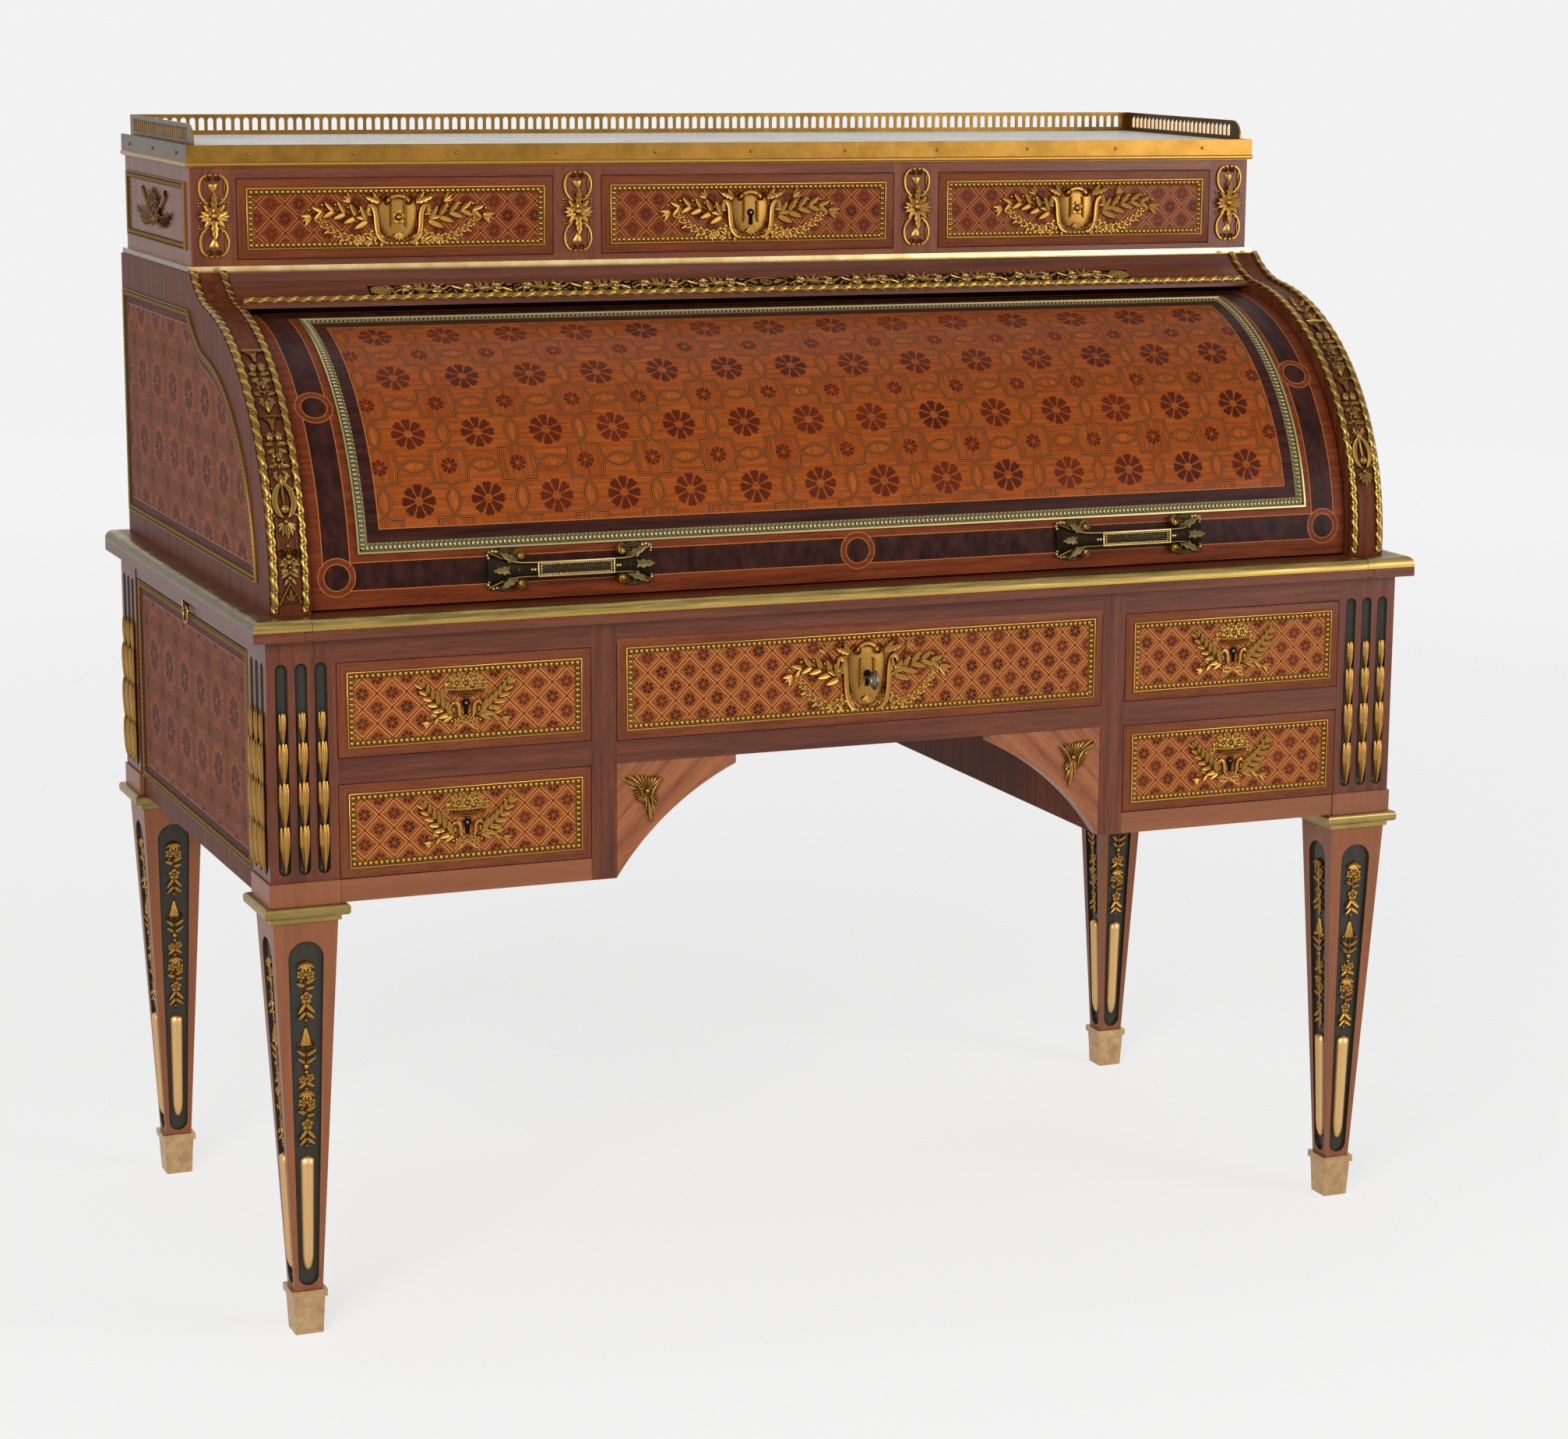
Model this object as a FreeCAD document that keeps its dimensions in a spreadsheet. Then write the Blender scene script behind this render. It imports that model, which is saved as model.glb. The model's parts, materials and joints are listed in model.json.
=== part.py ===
import FreeCAD
import Part
import math
import os
from types import SimpleNamespace

# Cylinder desk: two pedestals of drawers under a writing level, a quarter cylinder fall between
# shaped cheeks, and a case of three drawers under a marble slab with a pierced gallery.
# Millimetres. X runs to the right, Y to the back, Z up; the origin is under the middle of the box.

DIMENSIONS = {
    # plan of the base
    "base_width": 1346,
    "base_depth": 676,
    "key_reach": 34,
    "top_rear_overhang": 10,
    "top_overhang": 16,
    "post_side": 74,
    # legs
    "leg_height": 462,
    "leg_top_side": 70,
    "leg_foot_side": 26,
    "leg_tenon_side": 40,
    "leg_floor_gap": 3,
    "sabot_height": 42,
    "sabot_wall": 2.2,
    "sabot_flange_height": 8,
    "sabot_flange": 2,
    "leg_panel_depth": 4,
    "leg_panel_foot_z": 66,
    "leg_panel_top_margin": 40,
    "leg_panel_foot_width": 22,
    "leg_panel_top_width": 38,
    "leg_rod_radius": 7,
    "leg_rod_top_z": 206,
    "leg_drop_width": 14,
    "leg_drop_relief": 5,
    # collars, blocks and posts
    "collar_height": 18,
    "collar_flare": 7,
    "collar_step": 6,
    "collar_step_flare": 3,
    "collar_round": 4,
    "block_height": 25,
    "block_proud": 2,
    "flute_radius": 6.5,
    "flute_pitch": 21,
    "flute_end_margin": 8,
    "flute_top_margin": 25,
    "husk_top_margin": 49,
    "husk_clearance": 0.3,
    # front of the base
    "drawer_opening_height": 102,
    "top_thickness": 23,
    "bottom_rail": 24.5,
    "middle_rail": 27,
    "top_rail": 26.5,
    "centre_rail": 24.5,
    "kneehole_width": 583,
    "front_stile_width": 28.5,
    "frame_thickness": 22,
    "wall_thickness": 14,
    "dust_board": 14,
    "side_panel_thickness": 16,
    "side_panel_sink": 3,
    "back_thickness": 14,
    "back_sink": 4,
    "spandrel_length": 138,
    "spandrel_nose": 9,
    "spandrel_sagitta": 13,
    "spandrel_thickness": 20,
    "spandrel_sink": 1,
    "spandrel_mount_side": 42,
    "spandrel_mount_margin": 14,
    # base drawers
    "drawer_gap": 0.7,
    "runner_gap": 0.3,
    "drawer_front_thickness": 20,
    "drawer_wall": 10,
    "drawer_bottom": 7,
    "drawer_side_drop": 14,
    "drawer_rear_gap": 98,
    "bead_margin": 10,
    "bead_width": 8,
    "bead_relief": 3,
    "escutcheon_relief": 4,
    "mount_clearance": 1.5,
    "pedestal_mount_width": 106,
    "centre_mount_width": 190,
    "keyhole_radius": 5,
    # lock, bolt and key of the centre drawer
    "lock_width": 50,
    "lock_depth": 14,
    "lock_wall": 3,
    "lock_below_key": 20,
    "lock_top_margin": 2,
    "bolt_width": 20,
    "bolt_thickness": 6,
    "bolt_length": 28,
    "bolt_gap": 0.4,
    "key_radius": 2.6,
    "key_gap": 0.4,
    "key_bow_radius": 9,
    "key_bow_wire": 2,
    "key_bit_height": 9,
    "key_bit_thickness": 2.4,
    "key_bit_length": 6,
    # side slides
    "slide_bed_thickness": 5,
    "slide_thickness": 18,
    "slide_wall_gap": 37,
    "slide_gap": 1,
    "slide_lip": 17,
    "slide_lip_sink": 1,
    "ring_radius": 11,
    "ring_wire": 1.4,
    "ring_eye_gap": 1,
    "ring_knob_radius": 4,
    "ring_knob_reach": 7.5,
    # writing level
    "edge_moulding_height": 12,
    "edge_moulding_width": 14,
    "edge_moulding_round": 9,
    "seam_inset": 46,
    "writing_slide_length": 425,
    "writing_slide_gap": 0.5,
    "tongue_thickness": 8,
    "tongue_reach": 8,
    "leather_margin": 60,
    "leather_thickness": 1.5,
    # cylinder
    "cheek_inset": 10,
    "stile_width": 43.5,
    "stile_setback": 15,
    "stile_radius": 285,
    "axis_rise": 12,
    "ogee_start": 37,
    "ogee_radius": 125,
    "ogee_rise": 31,
    "cheek_rear_inset": 7,
    "rope_radius": 4.8,
    "rope_inset": 5.5,
    "rope_seat_gap": 0.3,
    "chute_width": 22,
    "chute_relief": 6,
    "chute_foot_angle": 1,
    "chute_top_angle": 60,
    "short_chute_foot_angle": 13,
    "short_chute_top_angle": 72,
    "cheek_frame_inset": 50,
    "cheek_frame_foot": 28,
    "cheek_frame_top": 40,
    "cheek_frame_rear": 10,
    "fall_inset": 11,
    "fall_thickness": 18,
    "fall_side_gap": 2.5,
    "fall_foot_gap": 2,
    "fall_top_angle": 92,
    "fall_frame_side_margin": 51,
    "fall_frame_width": 12,
    "fall_frame_relief": 3,
    "fall_frame_foot_angle": 9.5,
    "fall_frame_top_angle": 79.5,
    "handle_side_margin": 283,
    "handle_length": 186,
    "handle_end_width": 46,
    "handle_end_height": 42,
    "handle_plate": 5,
    "handle_reach": 24,
    "handle_grip_height": 15,
    "handle_grip_depth": 8,
    "handle_angle": 4.7,
    "arm_thickness": 6,
    "arm_width": 20,
    "arm_side_gap": 10,
    "arm_boss_radius": 10,
    "arm_angle": 42,
    "pivot_radius": 5,
    "pivot_gap": 0.06,
    "frieze_lip_setback": 24,
    "frieze_clearance": 7,
    "frieze_back": 46,
    "frieze_rope_y": 11,
    "frieze_mount_margin": 149.5,
    "frieze_mount_width": 22,
    "frieze_mount_relief": 5,
    # nest behind the fall
    "nest_side_gap": 31.5,
    "nest_depth": 140,
    "nest_height": 150,
    "nest_front": 60,
    "nest_board": 8,
    "nest_shelf_height": 62,
    "nest_back": 5,
    "nest_drawer_gap": 0.6,
    "nest_drawer_wall": 6,
    "nest_knob_radius": 6,
    "nest_knob_reach": 12,
    # upper case
    "case_inset": 8,
    "case_setback": 53,
    "case_height": 113,
    "case_board": 14,
    "case_rail": 12,
    "case_top_board": 10,
    "case_outer_stile": 51,
    "case_inner_stile": 57,
    "case_drawer_rear_gap": 17,
    "case_mount_width": 36,
    "case_mount_height": 90,
    "case_mount_relief": 4,
    "cartouche_width": 216,
    "string_height": 6,
    "string_reach": 6,
    "side_trophy_width": 150,
    "side_trophy_height": 54,
    # marble and gallery
    "band_height": 24,
    "band_thickness": 4,
    "marble_sink": 1.5,
    "gallery_height": 22,
    "gallery_plate": 2,
    "gallery_inset": 6,
    "gallery_pitch": 10.6,
    "gallery_hole_width": 7,
    "gallery_hole_foot": 3.5,
    "gallery_hole_head": 4,
    "gallery_end_radius": 20,
}

doc = FreeCAD.newDocument("cylinder_desk")
sheet = doc.addObject("Spreadsheet::Sheet", "dims")
for row, (alias, number) in enumerate(DIMENSIONS.items(), start=1):
    sheet.set(f"A{row}", alias)
    sheet.set(f"B{row}", str(number))
    sheet.setAlias(f"B{row}", alias)
doc.recompute()


class Size:
    """A length with its number and the sheet expression that it comes from."""

    def __init__(self, number, text):
        self.number = float(number)
        self.text = text

    def combine(self, other, sign, number):
        return Size(number, f"({self.text} {sign} {as_size(other).text})")

    def __add__(self, other):
        return self.combine(other, "+", self.number + float(other))

    def __sub__(self, other):
        return self.combine(other, "-", self.number - float(other))

    def __mul__(self, other):
        return self.combine(other, "*", self.number * float(other))

    def __truediv__(self, other):
        return self.combine(other, "/", self.number / float(other))

    def __rsub__(self, other):
        return as_size(other) - self

    def __rmul__(self, other):
        return as_size(other) * self

    def __neg__(self):
        return Size(-self.number, f"(0 - {self.text})")

    def __float__(self):
        return self.number


def as_size(item):
    return item if isinstance(item, Size) else Size(item, f"{float(item):.6f}")


dim = SimpleNamespace(**{alias: Size(sheet.get(alias), f"dims.{alias}") for alias in DIMENSIONS})
ZERO = Size(0, "0")
LEFT_RIGHT = (("left", -1), ("right", 1))
nodes = {}


def vector(x, y, z):
    return FreeCAD.Vector(float(x), float(y), float(z))


def span(side, near, far):
    """The two X planes of a piece that lies between near and far on one side of the middle."""
    return (near, far) if side > 0 else (-far, -near)


def board(name, x, y, z):
    """A rectangular board between two planes on each axis, tied to the sheet."""
    item = doc.addObject("Part::Box", name)
    for axis, size, (low, high) in zip("xyz", ("Length", "Width", "Height"), (x, y, z)):
        item.setExpression(size, (as_size(high) - low).text)
        item.setExpression(f"Placement.Base.{axis}", as_size(low).text)
    return item


def drum(name, radius, start, length, turn):
    """A round bar from a start point; turn says which way its length runs."""
    item = doc.addObject("Part::Cylinder", name)
    item.setExpression("Radius", as_size(radius).text)
    item.setExpression("Height", as_size(length).text)
    item.Placement.Rotation = turn
    for axis, place in zip("xyz", start):
        item.setExpression(f"Placement.Base.{axis}", as_size(place).text)
    return item


ALONG_X = FreeCAD.Rotation(FreeCAD.Vector(0, 1, 0), 90)
ALONG_Y = FreeCAD.Rotation(FreeCAD.Vector(1, 0, 0), -90)


def cut(name, base, tool):
    item = doc.addObject("Part::Cut", name)
    item.Base = base
    item.Tool = tool
    return item


def joined(name, parts):
    item = doc.addObject("Part::MultiFuse", name)
    item.Shapes = parts
    return item


def formed(name, shape):
    """A piece whose form no primitive gives; its sizes are read from the sheet."""
    item = doc.addObject("Part::Feature", name)
    item.Shape = shape
    return item


def node(label, item):
    item.Label = label
    nodes[label] = item
    return item


def group(label, parts):
    """Separate solids of one kind that share a node."""
    item = doc.addObject("Part::Compound", label)
    item.Links = parts
    return node(label, item)


def face_of(edges):
    return Part.Face(Part.Wire(edges))


def line(start, end):
    return Part.LineSegment(start, end).toShape()


def arc(start, middle, end):
    return Part.Arc(start, middle, end).toShape()


def polygon(points):
    return Part.Face(Part.makePolygon(points + points[:1]))


def half_round(radius):
    """A half disc on the plane z = 0 with its flat side on y = 0, bulging to the front."""
    left = FreeCAD.Vector(-radius, 0, 0)
    right = FreeCAD.Vector(radius, 0, 0)
    return face_of([arc(left, FreeCAD.Vector(0, -radius, 0), right), line(right, left)])


# Planes that the pieces share
half_base = dim.base_width / 2
front = (dim.key_reach - dim.top_rear_overhang - dim.base_depth) / 2
rear = front + dim.base_depth
post_inner = half_base - dim.post_side
collar_foot = dim.leg_height
base_foot = collar_foot + dim.collar_height
block_top = base_foot + dim.block_height
kneehole_half = dim.kneehole_width / 2
bay_inner = kneehole_half + dim.front_stile_width
frame_back = front + dim.frame_thickness
lower_floor = base_foot + dim.bottom_rail
lower_roof = lower_floor + dim.drawer_opening_height
upper_floor = lower_roof + dim.middle_rail
upper_roof = upper_floor + dim.drawer_opening_height
top_under = upper_roof + dim.top_rail
desk_level = top_under + dim.top_thickness
centre_floor = lower_roof + dim.centre_rail
back_outer = rear - dim.back_sink
back_inner = back_outer - dim.back_thickness
panel_outer = half_base - dim.side_panel_sink
panel_inner = panel_outer - dim.side_panel_thickness
slide_bed_top = upper_roof + dim.slide_bed_thickness
post_rear_of_front = front + dim.post_side
post_front_of_rear = rear - dim.post_side
corners = [(side, end) for side in (-1, 1) for end in (-1, 1)]


def post_centre(side, end):
    middle_y = front + dim.post_side / 2 if end < 0 else rear - dim.post_side / 2
    return (half_base - dim.post_side / 2) * side, middle_y


# Legs: a square taper with a tenon above it and an arched sunk panel on each face
leg_panel_top = dim.leg_height - dim.leg_panel_top_margin
leg_slope = float((dim.leg_top_side - dim.leg_foot_side) / 2 / dim.leg_height)
leg_tilt = math.degrees(math.atan(leg_slope))


def on_leg_face(shape, quarter):
    """Carry a shape from the upright plane y = 0 onto one sloping face of the leg."""
    moved = shape.copy()
    moved.rotate(FreeCAD.Vector(), FreeCAD.Vector(1, 0, 0), leg_tilt)
    moved.translate(vector(0, -dim.leg_foot_side / 2, 0))
    moved.rotate(FreeCAD.Vector(), FreeCAD.Vector(0, 0, 1), 90 * quarter)
    return moved


def leg_panel_outline(inset):
    """The tall outline with two round ends, drawn on the plane y = -inset."""
    foot_half = float(dim.leg_panel_foot_width / 2)
    top_half = float(dim.leg_panel_top_width / 2)
    foot_z = float(dim.leg_panel_foot_z)
    top_z = float(leg_panel_top)
    at = lambda x, z: FreeCAD.Vector(x, -inset, z)
    return face_of([
        line(at(-foot_half, foot_z), at(-top_half, top_z)),
        arc(at(-top_half, top_z), at(0, top_z + top_half), at(top_half, top_z)),
        line(at(top_half, top_z), at(foot_half, foot_z)),
        arc(at(foot_half, foot_z), at(0, foot_z - foot_half), at(-foot_half, foot_z)),
    ])


def square_at(side, z):
    half = float(side) / 2
    points = [vector(x, y, z) for x, y in ((-half, -half), (half, -half), (half, half), (-half, half))]
    return Part.makePolygon(points + points[:1])


def leg_side_at(z):
    return dim.leg_foot_side + (dim.leg_top_side - dim.leg_foot_side) * z / dim.leg_height


def tapered(foot_side, top_side, foot_z, top_z):
    return Part.makeLoft([square_at(foot_side, foot_z), square_at(top_side, top_z)], True, True)


def at_corners(shape):
    """One copy of a shape under each corner post."""
    copies = []
    for side, end in corners:
        copy = shape.copy()
        middle_x, middle_y = post_centre(side, end)
        copy.translate(vector(middle_x, middle_y, 0))
        copies.append(copy)
    return Part.makeCompound(copies)


leg_depth = float(dim.leg_panel_depth)
leg_core = tapered(leg_side_at(dim.leg_floor_gap), dim.leg_top_side, dim.leg_floor_gap, dim.leg_height)
panel_tool = leg_panel_outline(leg_depth).extrude(vector(0, 2 * leg_depth, 0))
leg_body = leg_core.cut([on_leg_face(panel_tool, quarter) for quarter in range(4)])
leg_tenon = tapered(dim.leg_tenon_side, dim.leg_tenon_side, dim.leg_height, base_foot)
node("legs", formed("legs_form", at_corners(leg_body.fuse(leg_tenon).removeSplitter())))

rod_face = half_round(float(dim.leg_rod_radius))
rod_face.translate(vector(0, leg_depth, dim.leg_panel_foot_z))
rod_shape = rod_face.extrude(vector(0, 0, dim.leg_rod_top_z - dim.leg_panel_foot_z))
drop_half = float(dim.leg_drop_width / 2)
drop_foot = float(dim.leg_rod_top_z)
drop_head = float(leg_panel_top)
drop_face = polygon([FreeCAD.Vector(x, leg_depth, z) for x, z in (
    (-drop_half / 2, drop_foot), (drop_half / 2, drop_foot), (drop_half, (drop_foot + drop_head) / 2),
    (drop_half / 2, drop_head), (-drop_half / 2, drop_head), (-drop_half, (drop_foot + drop_head) / 2))])
drop_shape = drop_face.extrude(vector(0, -dim.leg_drop_relief, 0))
leg_mount_set = Part.makeCompound(
    [on_leg_face(shape, quarter) for quarter in range(4) for shape in (rod_shape, drop_shape)])
node("leg_mounts", formed("leg_mounts_form", at_corners(leg_mount_set)))

# Brass shoes and collars
sabot_top = dim.sabot_height + dim.sabot_flange_height
shoe_outer = tapered(leg_side_at(ZERO) + 2 * dim.sabot_wall,
                     leg_side_at(dim.sabot_height) + 2 * dim.sabot_wall, ZERO, dim.sabot_height)
flange_side = leg_side_at(sabot_top) + 2 * (dim.sabot_wall + dim.sabot_flange)
flange = tapered(flange_side, flange_side, dim.sabot_height, sabot_top)
shoe = shoe_outer.fuse(flange).cut(leg_core).removeSplitter()
node("sabots", formed("sabots_form", at_corners(shoe)))

block_side = dim.post_side + 2 * dim.block_proud
collar_side = block_side + 2 * dim.collar_flare
step_side = dim.leg_top_side + 2 * dim.collar_step_flare
step_top = collar_foot + dim.collar_step
collar_slab = tapered(collar_side, collar_side, step_top, base_foot)
rim = [edge for edge in collar_slab.Edges if math.isclose(edge.Vertexes[0].Z, edge.Vertexes[1].Z)]
collar_slab = collar_slab.makeFillet(float(dim.collar_round), rim)
collar = collar_slab.fuse(tapered(step_side, step_side, collar_foot, step_top)).cut(leg_tenon)
node("leg_collars", formed("leg_collars_form", at_corners(collar.removeSplitter())))

# Corner posts on their blocks, fluted on the faces that show
flute_foot = block_top + dim.flute_end_margin + dim.flute_radius
flute_head = top_under - dim.flute_top_margin - dim.flute_radius


def capsule(radius, foot_z, head_z):
    """A round bar with two round ends, standing on the Z axis."""
    bar = Part.makeCylinder(radius, head_z - foot_z, FreeCAD.Vector(0, 0, foot_z))
    ends = [Part.makeSphere(radius, FreeCAD.Vector(0, 0, z)) for z in (foot_z, head_z)]
    return bar.fuse(ends).removeSplitter()


def corner_box(side, end, proud, foot_z, head_z):
    """A box on a post's plan that stands proud of its two outer faces only."""
    low_x, high_x = span(side, post_inner, half_base + proud)
    low_y, high_y = (front - proud, post_rear_of_front) if end < 0 else (post_front_of_rear, rear + proud)
    return Part.makeBox(float(high_x - low_x), float(high_y - low_y), float(head_z - foot_z),
                        vector(low_x, low_y, foot_z))


def flute_places(side, end):
    """Centres of the flutes of one post: three on its outer side and, in front, three on its face."""
    middle_x, middle_y = post_centre(side, end)
    half = float(dim.post_side / 2)
    steps = [float(dim.flute_pitch) * k for k in (-1, 0, 1)]
    places = [(float(middle_x) + side * half, float(middle_y) + step) for step in steps]
    if end < 0:
        places += [(float(middle_x) + step, float(middle_y) - half) for step in steps]
    return places


posts = []
husks = []
flute = capsule(float(dim.flute_radius), float(flute_foot), float(flute_head))
husk_radius = float(dim.flute_radius - dim.husk_clearance)
husk = capsule(husk_radius, float(flute_foot), float(flute_head - dim.husk_top_margin))
for side, end in corners:
    post = corner_box(side, end, ZERO, block_top, top_under)
    post = post.fuse(corner_box(side, end, dim.block_proud, base_foot, block_top))
    flutes = []
    for x, y in flute_places(side, end):
        for model, copies in ((flute, flutes), (husk, husks)):
            copy = model.copy()
            copy.translate(FreeCAD.Vector(x, y, 0))
            copies.append(copy)
    posts.append(post.cut(flutes).removeSplitter())
node("corner_posts", formed("corner_posts_form", Part.makeCompound(posts)))

# Spandrels: a board whose lower edge is a shallow arc from the nose to the pedestal foot
spandrel_front = front + dim.spandrel_sink


def spandrel_shape(side):
    corner_x = float(kneehole_half)
    tip_x = float(kneehole_half - dim.spandrel_length)
    roof = float(lower_roof)
    nose = roof - float(dim.spandrel_nose)
    foot = float(base_foot)
    middle = FreeCAD.Vector((tip_x + corner_x) / 2, 0, (nose + foot) / 2)
    chord = FreeCAD.Vector(corner_x - tip_x, 0, foot - nose)
    outward = FreeCAD.Vector(-chord.z, 0, chord.x).normalize()
    bow = middle + outward * float(dim.spandrel_sagitta)
    at = lambda x, z: FreeCAD.Vector(side * x, float(spandrel_front), z)
    edges = [line(at(corner_x, roof), at(tip_x, roof)),
             line(at(tip_x, roof), at(tip_x, nose)),
             arc(at(tip_x, nose), at(bow.x, bow.z), at(corner_x, foot)),
             line(at(corner_x, foot), at(corner_x, roof))]
    return face_of(edges).extrude(vector(0, dim.spandrel_thickness, 0))


def spandrel_mount(side):
    outer = float(kneehole_half - dim.spandrel_mount_margin)
    leg = float(dim.spandrel_mount_side)
    head = float(lower_roof - dim.spandrel_mount_margin)
    at = lambda x, z: FreeCAD.Vector(side * x, float(spandrel_front), z)
    corner = polygon([at(outer, head), at(outer - leg, head), at(outer, head - leg)])
    return corner.extrude(vector(0, -dim.escutcheon_relief, 0))


spandrels = [spandrel_shape(side) for _, side in LEFT_RIGHT]
node("spandrels", formed("spandrels_form", Part.makeCompound(spandrels)))
spandrel_mounts = [spandrel_mount(side) for _, side in LEFT_RIGHT]
node("base_mounts", formed("base_mounts_form", Part.makeCompound(husks + spandrel_mounts)))

# Front frame, walls, dust boards and back boards of the base
frame_y = (front, frame_back)
inside_y = (frame_back, back_inner)
frame_parts = [board("top_rail", (-post_inner, post_inner), frame_y, (upper_roof, top_under)),
               board("centre_rail", (-kneehole_half, kneehole_half), frame_y, (lower_roof, centre_floor))]
wall_parts = []
dust_parts = [board("centre_dust_board", (-kneehole_half, kneehole_half), inside_y,
                    (centre_floor - dim.dust_board, centre_floor))]
side_panels = []
back_parts = [board("kneehole_back", (-kneehole_half, kneehole_half), (back_inner, back_outer),
                    (lower_roof, top_under))]
for name, side in LEFT_RIGHT:
    bay_x = span(side, bay_inner, post_inner)
    stile_x = span(side, kneehole_half, bay_inner)
    frame_parts.append(board(f"front_stile_{name}", stile_x, frame_y, (base_foot, upper_roof)))
    frame_parts.append(board(f"bottom_rail_{name}", bay_x, frame_y, (base_foot, lower_floor)))
    frame_parts.append(board(f"middle_rail_{name}", bay_x, frame_y, (lower_roof, upper_floor)))
    wall_inner = kneehole_half + dim.wall_thickness
    wall_parts.append(board(f"pedestal_wall_{name}", span(side, kneehole_half, wall_inner), inside_y,
                            (base_foot, top_under)))
    carried_x = span(side, wall_inner, post_inner)
    for level, floor in (("lower", lower_floor), ("upper", upper_floor)):
        dust_parts.append(board(f"{level}_dust_board_{name}", carried_x, inside_y,
                                (floor - dim.dust_board, floor)))
    panel_y = (post_rear_of_front, post_front_of_rear)
    dust_parts.append(board(f"slide_bed_{name}", span(side, wall_inner, panel_inner), panel_y,
                            (upper_roof, slide_bed_top)))
    side_panels.append(board(f"side_panel_{name}", span(side, panel_inner, panel_outer), panel_y,
                             (base_foot, slide_bed_top)))
    back_parts.append(board(f"pedestal_back_{name}", span(side, kneehole_half, post_inner),
                            (back_inner, back_outer), (base_foot, top_under)))
group("front_frame", frame_parts)
group("pedestal_walls", wall_parts)
group("dust_boards", dust_parts)
group("base_side_panels", side_panels)


def bead_ring(name, x, y, z, width, flat):
    """A flat rectangular ring; flat names the axis that it is thin along."""
    outer = board(f"{name}_outer", x, y, z)
    spans = {"x": x, "y": y, "z": z}
    for axis, (low, high) in spans.items():
        inset = -width if axis == flat else width
        spans[axis] = (low + inset, high - inset)
    inner = board(f"{name}_inner", spans["x"], spans["y"], spans["z"])
    return cut(name, outer, inner)


# Base drawers: five boards each, with a bead frame, an escutcheon and a lock
def drawer(label, x, floor, roof, face_y, back, mount_width):
    """A drawer whose front fills its opening with the drawer gap all round."""
    left, right = x[0] + dim.drawer_gap, x[1] - dim.drawer_gap
    foot, head = floor + dim.drawer_gap, roof - dim.drawer_gap
    inner_face = face_y + dim.drawer_front_thickness
    side_head = head - dim.drawer_side_drop
    side_foot = floor + dim.runner_gap
    walls_y = (inner_face, back)
    parts = [
        board(f"{label}_front", (left, right), (face_y, inner_face), (foot, head)),
        board(f"{label}_left_side", (left, left + dim.drawer_wall), walls_y, (side_foot, side_head)),
        board(f"{label}_right_side", (right - dim.drawer_wall, right), walls_y, (side_foot, side_head)),
        board(f"{label}_back", (left + dim.drawer_wall, right - dim.drawer_wall),
              (back - dim.drawer_wall, back), (side_foot + dim.drawer_bottom, side_head)),
        board(f"{label}_bottom", (left + dim.drawer_wall, right - dim.drawer_wall), walls_y,
              (side_foot, side_foot + dim.drawer_bottom)),
    ]
    middle_x = (left + right) / 2
    middle_z = (foot + head) / 2
    bead = bead_ring(f"{label}_bead", (left + dim.bead_margin, right - dim.bead_margin),
                     (face_y - dim.bead_relief, face_y), (foot + dim.bead_margin, head - dim.bead_margin),
                     dim.bead_width, "y")
    plate_front = face_y - dim.escutcheon_relief
    frame_reach = dim.bead_margin + dim.bead_width + dim.mount_clearance
    plate = board(f"{label}_plate", (middle_x - mount_width / 2, middle_x + mount_width / 2),
                  (plate_front, face_y), (foot + frame_reach, head - frame_reach))
    hole = drum(f"{label}_keyhole", dim.keyhole_radius, (middle_x, plate_front, middle_z),
                dim.escutcheon_relief, ALONG_Y)
    return parts, [bead, cut(f"{label}_escutcheon", plate, hole)], middle_z


drawer_back = back_inner - dim.drawer_rear_gap
base_drawers = {}
for name, side in LEFT_RIGHT:
    for level, floor, roof in (("upper", upper_floor, upper_roof), ("lower", lower_floor, lower_roof)):
        base_drawers[f"drawer_{name}_{level}"] = (span(side, bay_inner, post_inner), floor, roof)
for label, (x, floor, roof) in base_drawers.items():
    parts, mounts, _ = drawer(label, x, floor, roof, front, drawer_back, dim.pedestal_mount_width)
    group(label, parts)
    group(f"{label}_mounts", mounts)

# Centre drawer: its front is bored for the key, and a lock case with a sliding bolt is behind it
parts, mounts, key_z = drawer("drawer_centre", (-kneehole_half, kneehole_half), centre_floor, upper_roof,
                              front, drawer_back, dim.centre_mount_width)
lock_front = front + dim.drawer_front_thickness
lock_back = lock_front + dim.lock_depth
lock_top = upper_roof - dim.drawer_gap - dim.lock_top_margin
key_bore = drum("key_bore", dim.key_radius + dim.key_gap, (ZERO, front - dim.lock_depth, key_z),
                dim.drawer_front_thickness + 2 * dim.lock_depth - dim.lock_wall, ALONG_Y)
parts[0] = cut("drawer_centre_bored_front", parts[0], key_bore)
group("drawer_centre", parts)
lock_block = board("lock_block", (-dim.lock_width / 2, dim.lock_width / 2), (lock_front, lock_back),
                   (key_z - dim.lock_below_key, lock_top))
bolt_front = lock_front + dim.lock_wall
bolt_back = bolt_front + dim.bolt_thickness
bolt_foot = lock_top - dim.bolt_length
bolt_way = board("bolt_way", (-dim.bolt_width / 2 - dim.bolt_gap, dim.bolt_width / 2 + dim.bolt_gap),
                 (bolt_front - dim.bolt_gap, bolt_back + dim.bolt_gap),
                 (bolt_foot - dim.bolt_gap, lock_top + dim.lock_wall))
bit_room = drum("bit_room", dim.key_bit_height + dim.key_radius, (ZERO, bolt_front - dim.bolt_gap, key_z),
                dim.bolt_thickness + 2 * dim.bolt_gap, ALONG_Y)
lock_hollow = joined("lock_hollow", [bolt_way, bit_room, key_bore])
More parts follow.
